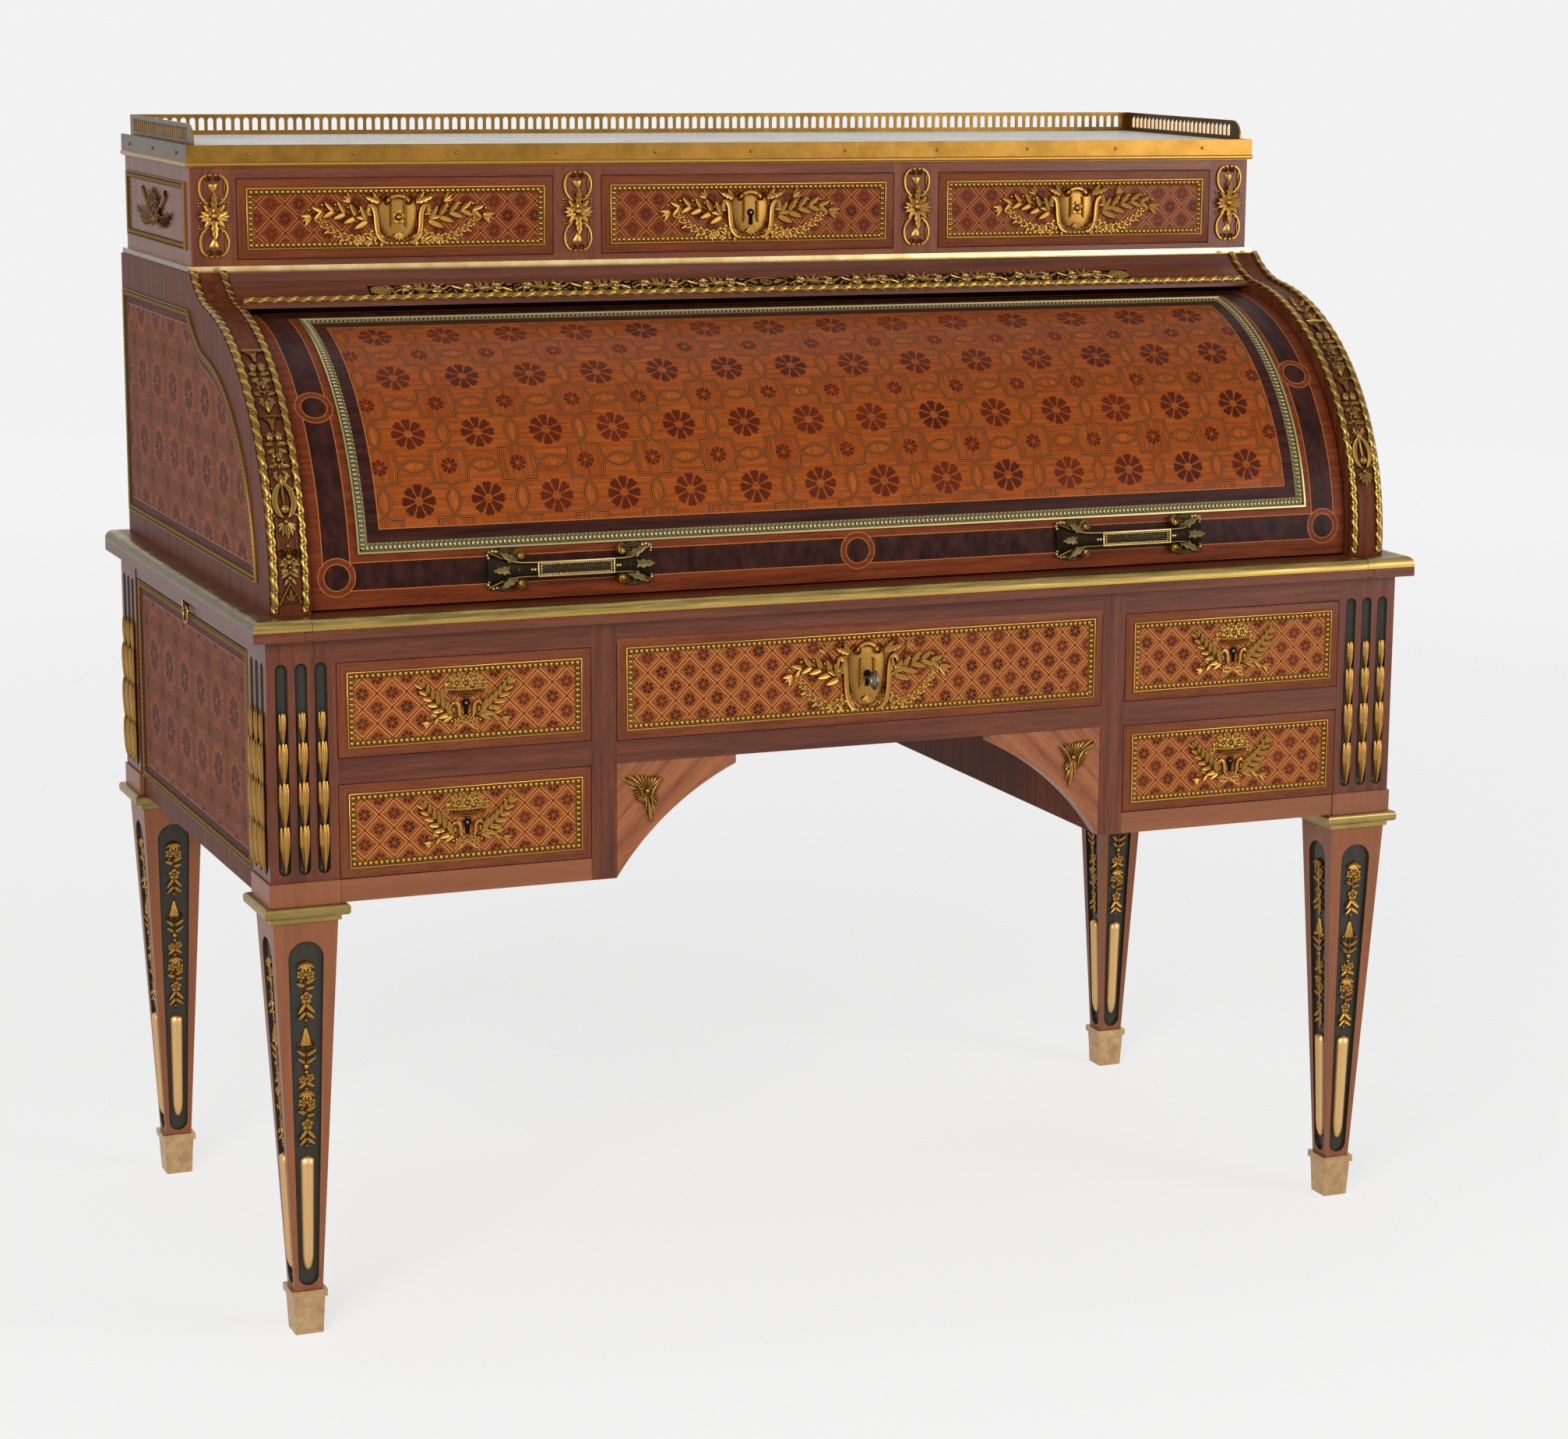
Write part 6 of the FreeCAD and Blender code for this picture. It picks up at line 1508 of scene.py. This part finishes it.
husk = husk_shape()
post_x, post_front = extent("corner_posts")[1][0], extent("corner_posts")[0][1]
FLUTES, FLUTE_DEPTH = (-21.0, 0.0, 21.0), 2.4
CHAIN = np.array([[516, 51], [561, 52], [607, 48], [650, 36]], float)
chains = [scatter(husk, flute, CHAIN[:, 0], 0, CHAIN[:, 1], -FLUTE_DEPTH) for flute in FLUTES]
base_ornament = []
for sign in (-1, 1):
    base_ornament += laid(chains, (sign * leg_x, post_front, 0))
    for y in leg_y:
        base_ornament += laid(chains, (sign * post_x, y, 0), (0, sign, 0))
LEAF_RIM = np.array([(-180, 15.5), (-160, 14.8), (-136, 15), (-115, 14), (-102, 16), (-93, 22), (-88, 30),
                    (-83, 33.6), (-73, 27.5), (-64, 20), (-51, 17.5), (-37, 14.4), (-22, 10), (13, 12),
                    (32, 17), (36, 23), (42, 20), (62, 18), (84, 15.4), (110, 18.7), (131, 23.2),
                    (149, 32.8), (159, 22.8), (167, 16.8), (180, 15.5)])


def spandrel_leaf():
    """A three-cornered acanthus leaf about its ball. Its rim is a radius for every angle, with 26 lobes.
    The pleats rise and fall more the further out they are, and three ribs run to the corners."""
    turn = np.linspace(-math.pi, math.pi, 156, endpoint=False)[None, :]
    ring = np.array([0, 0.16, 0.3, 0.5, 0.72, 0.9, 1.0, 0.96, 0])[:, None]
    height = np.array([1.4, 1.2, 1.8, 3.2, 3.6, 3.0, 1.8, -0.4, -0.4])[:, None]
    pleat = np.cos(26 * turn)
    reach = np.interp(np.degrees(turn), *LEAF_RIM.T) * (1 + 0.07 * pleat * ring ** 2)
    raised = height + np.where(height > 0, 0.9 * pleat * ring, 0)
    points = grid(ring * reach * np.cos(turn), ring * reach * np.sin(turn), raised)
    light = np.clip(0.3 + 0.5 * pleat + 0.6 * (ring - 0.3), 0, 1) * (height > 0)
    flat = grid(0, 0, light)
    ribs = [bezier((-26, 15, 2), (-9, 10, 4), (-5, 0, 3), (-6, -8, 2)),
            bezier((17, 12, 2), (6, 6, 3.4), (3, -4, 3.4), (5, -10, 3)),
            bezier((2, -4, 3), (7, -10, 3.4), (4, -20, 3), (3.6, -32, 1))]
    return [patch(points, flat), *(blade(rib, 1.0 + 0.5 * swell(16), 2.6) for rib in ribs),
            scatter(bead, 0, 0, 0, 3.2, 1.6)]


spandrel_face = extent("spandrels")[0][1]
ball_x, ball_z = kneehole_half - 34, extent("spandrels")[1][2] - 32.5
left_leaf = spandrel_leaf()
base_ornament += laid(left_leaf, (-ball_x, spandrel_face, ball_z))
base_ornament += laid([mirrored(p) for p in left_leaf], (ball_x, spandrel_face, ball_z))
husk_gilt = gilding("rubbed_husk_gilding", "#a0763a", "#241507", 0.36)
piece("husks_and_spandrel_leaves", base_ornament, "desk", husk_gilt, ["base_mounts"], sharp=CHASED)

# %% [markdown]
# Down the sunk panels of the legs hang drops of flowers: a calyx, a pair of roses, leaves on a stem and a
# single flower, then a bell, and the flowers again. Each unit of the drop is a function of its foot and its
# size, and the whole drop is laid on the four sloping faces of every leg, over a plain rod.

# %% Flower drops
def flower_unit(v, size):
    """A calyx, two roses, leaves and a flower hanging on a stem; 68 mm high at size 1, foot at v."""
    down = np.radians([-152, -122, -90, -58, -28])
    aside = np.radians([-48, -132, -40, -140])
    shapes = [blade([(0, 0), (0.8, 20), (-0.6, 44), (0, 66)], 0.9, 2.4),
              blade([(-9, 63), (0, 66), (9, 63)], [0.6, 2.4, 0.6], 3.4),
              scatter(acanthus, 0, 65, down, [10, 10, 9, 10, 10], 1.2),
              scatter(rose, [-4.4, 4.6], [53, 52], [0, 0.5], 5.2, 1.0),
              scatter(broad_leaf, 0, [43, 40, 37], [0.55, 2.7, 0.3], [11, 11, 9], 0.6),
              scatter(rose, 0.4, 28, 0.3, 6.6, 1.2),
              scatter(acanthus, 0, [22, 22, 13, 13], aside, [13, 13, 11, 11], 0.8),
              scatter(bead, [-3, 3.2, 0, -5, 5.5], [9, 8, 4, 46, 45], 0, 1.7, 0.6)]
    return [moved(shape, size, [0, v, 0]) for shape in shapes]


def bell_unit(v, size):
    """A bell with curled lips over leaf pairs that point up, a ball and a bud; as high as a flower unit."""
    up = np.radians([38, 142, 38, 142])
    shapes = [blade([(0, 0), (0.6, 30), (0, 66)], 0.9, 2.4),
              blade([(0, 46), (0, 54), (0, 64)], [7.5, 5, 1.5], [3.5, 4.5, 2]),
              scatter(leaf, 0, [34, 34, 26, 26], up, [13, 13, 12, 12], 0.6),
              scatter(bead, 0, [23, 17], 0, [3.4, 2.2], 0.8),
              scatter(rose, [-3.8, 3.9], [9, 10.5], [0.2, 0.9], 4.6, 0.8),
              scatter(broad_leaf, 0, [6, 6, 1], np.radians([-30, -150, -90]), [10, 10, 9], 0.5)]
    lips = [p for side in (-1, 1) for p in scroll(6.4 * size * side, v + 45.5 * size, math.pi / 2,
                                                  -side * 1.1, 3 * size, 1.1 * size, 2.6 * size)]
    return [moved(shape, size, [0, v, 0]) for shape in shapes] + lips


PANEL_DEPTH, ROD_FOOT, ROD_HEAD = 4.0, 66.0, 206.0
lean = math.atan2((LEG_TOP - LEG_FOOT) / 2, LEG_HEIGHT)
rod_line = np.column_stack([np.zeros(24), np.linspace(ROD_FOOT + 3, ROD_HEAD - 2, 24)])
flat_head = np.concatenate([[0, 0.6, 0.85, 0.96], np.ones(18), [1.0, 0.0]])
rod = blade(rod_line, np.linspace(6.8, 8.4, 24) * flat_head, 7.0 * flat_head, around=12)
leg_drop = flower_unit(349, 1.04) + bell_unit(278, 1.04) + flower_unit(209, 1.0)
leg_drop = [moved(p, shift=[0, 0, -PANEL_DEPTH]) for p in leg_drop]
rod = moved(rod, shift=[0, 0, -PANEL_DEPTH])
leg_patches, rods = [], []
for x in (-leg_x, leg_x):
    for y in leg_y:
        for out in ((1, 0), (-1, 0), (0, 1), (0, -1)):
            away = np.array([*out, 0.0])
            right = np.cross(plumb, away)
            up = math.sin(lean) * away + math.cos(lean) * plumb
            place = np.array([x, y, 0]) + LEG_FOOT / 2 * away
            leg_patches += laid(leg_drop, place, right, up)
            rods.append(lay(rod, place, right, up))
piece("leg_rods", rods, "desk", pale_gilt, sharp=CHASED)
for index, start in enumerate(range(0, len(leg_patches), len(leg_patches) // 4)):
    chunk = leg_patches[start:start + len(leg_patches) // 4]
    piece(f"leg_drops_{index + 1}", chunk, "desk", gilt, ["leg_mounts"] if index == 0 else [],
          sharp=CHASED)

# %% [markdown]
# The chute on each curved stile is a string of trumpets, rosebuds, flowers and leaves. The left one ends in
# two volutes over a beaded triangle and has lost its tip. The right one still has the tip but stops at a
# cartouche, as on the real desk. The frieze above the cylinder is a dense band of scrolling stems on a dark
# ground, the same to left and right of an eye-shaped cartouche.

# %% Chutes and frieze
CHUTE_X, CHUTE_START = 641.25, stile_radius * math.radians(1)
LINE_ASIDE, LINE_RUN = 9.6, (4, 400)


def chute_foot():
    """From a triangle of pearls with a palmette, over a bunch of flowers, to two volutes; -5 to 60 mm."""
    slope = np.array([(11, -4), (0, 17)], float)
    pearls, turn = paced(slope, 2.4, closed=False)
    droop = np.radians([-15, -40, -28, -55])
    sides = both(blade(slope, 1.5, 3.0),
                 scatter(bead, *pearls.T, turn, 1.2, 2.0),
                 *scroll(6.4, 48, math.pi, 1.4, 5.2, 1.5, 3.6),
                 scatter(broad_leaf, 1.0, [38, 33, 27, 22], droop, [11, 11, 10, 9], 0.8),
                 scatter(rose, 4.6, [38, 29], 0.3, 4.8, 1.6))
    return sides + [blade([(-11, -4), (11, -4)], 1.2, 2.6), blade([(0, 15), (0, 40), (0, 62)], 1.2, 2.4),
                    scatter(acanthus, 0, [-2, -2, -2], np.radians([55, 90, 125]), [8, 13, 8], 0.6),
                    scatter(daisy, 0, 33, 0, 6.8, 2.0),
                    scatter(bead, 0, [22, 33, 44, 55], 0, [3.0, 2.2, 3.4, 2.6], [0.8, 3.6, 1.0, 1.0])]


def chute_unit(foot, factor):
    """A trumpet over two rosebuds, leaves, a flower and a bud in a cup, 68 mm high times the factor."""
    sides = both(scatter(bead, 4.8, 47, 0, 4.8, 0.2), scatter(rose, 4.8, 47, 0.4, 4.4, 2.4),
                 scatter(broad_leaf, 1.2, [41, 36, 31], np.radians([-12, -30, 14]), [10.5, 10.5, 9.5], 0.8),
                 scatter(broad_leaf, 2.0, [20, 16], np.radians([-8, -48]), [9.5, 10.5], 0.8),
                 scatter(acanthus, 0.8, 3, np.radians(58), 13.0, 0.5))
    middle = [blade([(0, 0), (0, 30), (0, 67)], 1.1, 2.4),
              blade([(0, 53), (0, 59), (0, 63), (0, 66.5)], [2.0, 3.0, 5.4, 9.5], [4.6, 5.0, 4.6, 3.4],
                    groove=0.5, light=0.75),
              blade([(-10.5, 66.2), (0, 67.2), (10.5, 66.2)], [0.7, 1.5, 0.7], 4.8),
              scatter(daisy, 0, 25, 0, 7.4, 1.6), scatter(bead, 0, 25, 0, 2.4, 3.4),
              blade([(0, 1), (0, 4), (0, 9), (0, 13)], [0.8, 3.6, 4.2, 1.2], [2.6, 5.4, 5.4, 2.6])]
    return [moved(shape, [1, factor, 1], [0, foot, 0]) for shape in sides + middle]


def chute_cartouche():
    """Two curled leaves round a ball, over a fan, from 60 to 120 mm; here the right chute ends."""
    rays = np.radians([-158, -135, -112, -90, -68, -45, -22])
    curl = bezier((1, 120), (12, 112), (13, 92), (3, 84))
    sides = both(blade(curl, 3.2 * swell(16, 0.5) + 0.9, 4.8, groove=0.45),
                 scatter(leaf, 7.5, [112, 104, 96, 89], [0.6, 0.2, -0.2, -0.6], 7.5, 0.6))
    return sides + [scatter(bead, 0, [93, 80], 0, [6.0, 3.0], [1.0, 2.0]),
                    blade([(0, 98), (0, 110), (0, 122)], [1.2, 3.0, 1.0], 3.4),
                    scatter(acanthus, 0, 79, rays, [11, 13, 15, 17, 15, 13, 11], 0.6)]


tip = [blade([(0, 292), (0, 297), (0, 303), (0, 308)], [0.8, 3.6, 4.2, 1.2], [2.6, 5.4, 5.4, 2.6]),
       *both(scatter(acanthus, 0.8, 294, np.radians(58), 13.0, 0.5)),
       blade([(0, 292), (-1, 320), (-3, 346)], 1.1, 2.4),
       scatter(broad_leaf, [-1, 1, -1, 1, -3], [314, 316, 326, 328, 336],
               np.radians([140, 40, 135, 50, 100]), 13.0, 0.8),
       scatter(bead, [-6, -3, 0, -5, -1.5], [338, 341, 338, 345, 346], 0, 2.0, 0.8)]
units = chute_unit(200, 1.37) + chute_unit(115, 1.22)
full_chute = chute_foot() + chute_cartouche() + units
short_chute = tip + units + chute_cartouche()
chutes = [rolled(p, stile_radius, -CHUTE_X, CHUTE_START) for p in full_chute]
chutes += [rolled(p, stile_radius, CHUTE_X, CHUTE_START) for p in short_chute]
piece("stile_chutes", chutes, "desk", gilding("chased_chute_bronze", "#806232", "#0b0906", 0.36),
      sharp=CHASED)
up_stile = np.column_stack([np.full(80, LINE_ASIDE), np.linspace(*LINE_RUN, 80)])
lines = [rolled(p, stile_radius, x, 0.0) for x in (-CHUTE_X, CHUTE_X)
         for p in both(blade(up_stile, 0.7, 0.8))]
line_wood, _ = finish("blackened_line", Base_Color="#2a100a", Roughness=0.5)
piece("stile_lines", lines, "desk", line_wood)


def frieze_unit(start, flip):
    """68 mm of scrolling stem with two volutes, acanthus at the join, small leaves and berries."""
    side = -1 if flip else 1
    wave = bezier((0, -7 * side), (20, 16 * side), (46, -16 * side), (68, 7 * side))
    berry, edge, k = np.arange(16), np.linspace(4, 64, 9), np.arange(9)
    swing, spin = (-1.0) ** k, np.radians(140 * k)
    shapes = [*scroll(16, 0.5 * side, -1.6 * side, 1.5 * side, 8.6, 1.5, 3.0),
              *scroll(51, -0.5 * side, 1.6 * side, 1.5 * side, 8.6, 1.5, 3.0),
              blade(wave, 1.2, 2.6),
              scatter(rose, [16, 51], 0, [0, 0.6], 4.6, 1.4),
              scatter(acanthus, 33, 0, np.radians([35, 80, 145, 215, 260, 325]), 11.0, 0.6),
              scatter(leaf, edge, 8.2 * swing, spin + math.radians(200), 8.0, 0.4),
              scatter(leaf, edge, -8.0 * swing, spin + math.radians(20), 7.0, 0.4),
              scatter(bead, (berry * 42.03) % 68, 9.6 * np.sin(2.4 * berry), 0, 1.15, 0.5)]
    return [moved(shape, shift=[start, 0, 0]) for shape in shapes]


def eye_cartouche():
    """Two rows of pearls that meet in points left and right, round a flower."""
    rim = np.concatenate([bezier((-27, 0), (-10, 14), (10, 14), (27, 0)),
                          bezier((27, 0), (10, -14), (-10, -14), (-27, 0))[1:-1]])
    pearls, turn = paced(rim, 2.9)
    return [scatter(bead, *pearls.T, turn, 1.4, 0.5), scatter(daisy, 0, 0, 0, 8.0, 0.6),
            scatter(acanthus, [9, -9], 0, [0, math.pi], 13.0, 0.5)]


FRIEZE_HALF, FRIEZE_PLACE, FRIEZE_UP = 470.0, (0, -23.2, 1091.7), (0, 0.894, 0.448)
ground_u, ground_v = np.meshgrid([-FRIEZE_HALF, FRIEZE_HALF], [-11.0, 11.0])
ground = [np.dstack([ground_u, ground_v, np.full((2, 2), height)]) for height in (0.8, -0.6)]
frieze = [slab(*ground, np.zeros((2, 2, 3)))] + eye_cartouche()
for index in range(6):
    frieze += both(*frieze_unit(27 + 70 * index, index % 2))
cone_u, cone_v = (values.ravel() for values in np.meshgrid(np.arange(449, 468, 3.0), np.linspace(-1, 1, 5)))
cone_v = cone_v * 7.0 * np.sqrt(1 - ((cone_u - 455) / 14) ** 2)
frieze += both(scatter(bead, cone_u, cone_v, 0, 1.7, 1.0), scatter(leaf, 442, 0, [0.6, -0.6], 12.0, 0.5))
frieze = laid(frieze, FRIEZE_PLACE, (1, 0, 0), FRIEZE_UP)
piece("frieze_scrolls", frieze, "desk", old_gilt, ["upper_mounts"], sharp=CHASED)

# %% [markdown]
# The stiles between the upper drawers carry openwork: two lyres of C-scrolls, above and below a cross of
# acanthus with a ball, and three small balls at each shoulder. On the ends of the upper case is a trophy:
# crossed horns, flowers and leaves heaped together, painted much darker as shade on the ends of the case.

# %% Mounts of the upper case
case_face, case_side = extent("upper_case")[0][1], extent("upper_case")[1][0]
MOUNT_Z, TROPHY_Y, STILE_X = 1173.5, 196, (-629.5, -210.8, 210.8, 629.5)


def lyre_mount():
    """The openwork mount, 36 by 90 mm, about its ball."""
    quarter = [blade(bezier((6, 12), (22, 22), (17, 47), (2, 44), steps=20), 1.5, 3.2, groove=0.2),
               blade(bezier((15, 18), (11, 26), (14, 36), (13, 40), steps=10), 1.3 * swell(10, 0.5), 2.2),
               *scroll(4.4, 40.6, 1.5, -1.2, 3.9, 1.3, 3.2),
               scatter(bead, [13.5, 16.5, 15.8], [14, 13.5, 10.6], 0, 1.5, 0.5),
               scatter(broad_leaf, 0, 0, np.radians([48]), 17.5, 0.6),
               scatter(bead, 9.6, 17.5, 0, 1.6, 0.4)]
    upper = both(*quarter) + [blade([(0, 25), (0, 31), (0, 34)], [1.5, 6.0, 6.8], [2, 3.2, 2.4]),
                              scatter(acanthus, 0, 2, math.pi / 2, 24.0, 0.8)]
    lower = [moved(p, [1, -1, 1]) for p in upper]
    cross = [scatter(acanthus, 0, 0, [0, math.pi], 18.0, 1.0),
             scatter(broad_leaf, 0, 0, np.radians([18, 162, 198, 342]), 16.5, 1.4)]
    return upper + lower + cross + [scatter(daisy, 0, 0, 0, 8.0, 2.4), scatter(bead, 0, 0, 0, 4.4, 3.0)]


openwork = [p for x in STILE_X for p in laid(lyre_mount(), (x, case_face, MOUNT_Z))]
piece("stile_openwork", openwork, "desk", gilt, sharp=CHASED)


def trophy():
    """Crossed horns behind a heap of flowers, with leaves all round; 150 by 54 mm."""
    around = np.linspace(0, 2 * math.pi, 16, endpoint=False)
    horn = bezier((-14, -16), (10, -10), (34, 2), (58, 18))
    spray = bezier((8, -6), (30, -14), (50, -18), (70, -8))
    sides = both(blade(horn, np.linspace(1.5, 5.0, 16), 3.6, groove=0.2), *branch(spray, 6, 12.0))
    heap = [(0, -2, 9), (-13, 3, 7), (13, 3, 7), (-24, -4, 5.5), (24, -4, 5.5), (-6, 11, 6), (7, 10, 6)]
    u, v, size = np.array(heap).T
    return sides + bow(20, 6.0) + [
        scatter(acanthus, 24 * np.cos(around), 9 * np.sin(around), around, 12.0, 0.6),
        scatter(rose, u, v, 0, size, 2.2)]


trophies = [p for sign in (-1, 1)
            for p in laid(trophy(), (sign * case_side, TROPHY_Y, MOUNT_Z), (0, sign, 0))]
# A darker gilding: painted shade for the trophies on the ends of the case.
piece("end_trophies", trophies, "desk", gilding("trophy_bronze_painted_shade", "#6f4d20", "#130d06", 0.48),
      sharp=CHASED)

# %% [markdown]
# The writing slide runs on tongues in the grooves of the fixed top. On the real desk the front ends of the
# grooves are closed, so that only a hair line shows there. A block on the front end of each tongue does it,
# and because it belongs to the slide it comes forward with it.

# %% Ends of the tongues
slide_half, slide_front = extent("writing_slide_moulding")[1][0], extent("writing_slide")[0][1]
tongue_z = (extent("desk_top")[0][2] + extent("desk_edge_moulding")[0][2]) / 2
tongue_ends = []
for sign in (-1, 1):
    sides = sorted((sign * slide_half, sign * extent("writing_slide")[1][0]))
    near, far = (sides[0], slide_front + 0.2, tongue_z - 4), (sides[1], slide_front + 20, tongue_z + 4)
    tongue_ends.append(box_patch(near, far, 0.1))
piece("tongue_ends", tongue_ends, "writing_slide", mahogany_across)

# %% [markdown]
# The brass band round the marble is fixed with round-headed nails, set about a hand's width apart, and has
# a small bead along its lower edge. Both are carried round the plan of the case, a plain rectangle.

# %% Nails and lip of the brass band
band_low, band_high = extent("top_edge_band")
plan = rectangle(band_low[0], band_high[0], band_low[1], band_high[1])
turn = np.linspace(-math.pi / 2, math.pi / 2, 7)
lip = np.column_stack([-1.4 * np.cos(turn), band_low[2] + 3 + 2.4 * np.sin(turn)])
lip = np.concatenate([[(0.8, lip[0, 1])], lip, [(0.8, lip[-1, 1])]])
lip_patch = carried(plan, lip, np.full(len(lip), 0.8))
NAIL_Z, NAIL_RADIUS = 1240, 2.0
nails = [lay(scatter(bead, np.linspace(-590, 590, 11), 0, 0, NAIL_RADIUS), (0, band_low[1], NAIL_Z))]
for sign in (-1, 1):
    row = scatter(bead, sign * np.linspace(70, 300, 3), 0, 0, NAIL_RADIUS)
    nails.append(lay(row, (sign * band_high[0], 0, NAIL_Z), (0, sign, 0)))
piece("band_nails_and_lip", [lip_patch] + nails, "desk", bead_gilt)
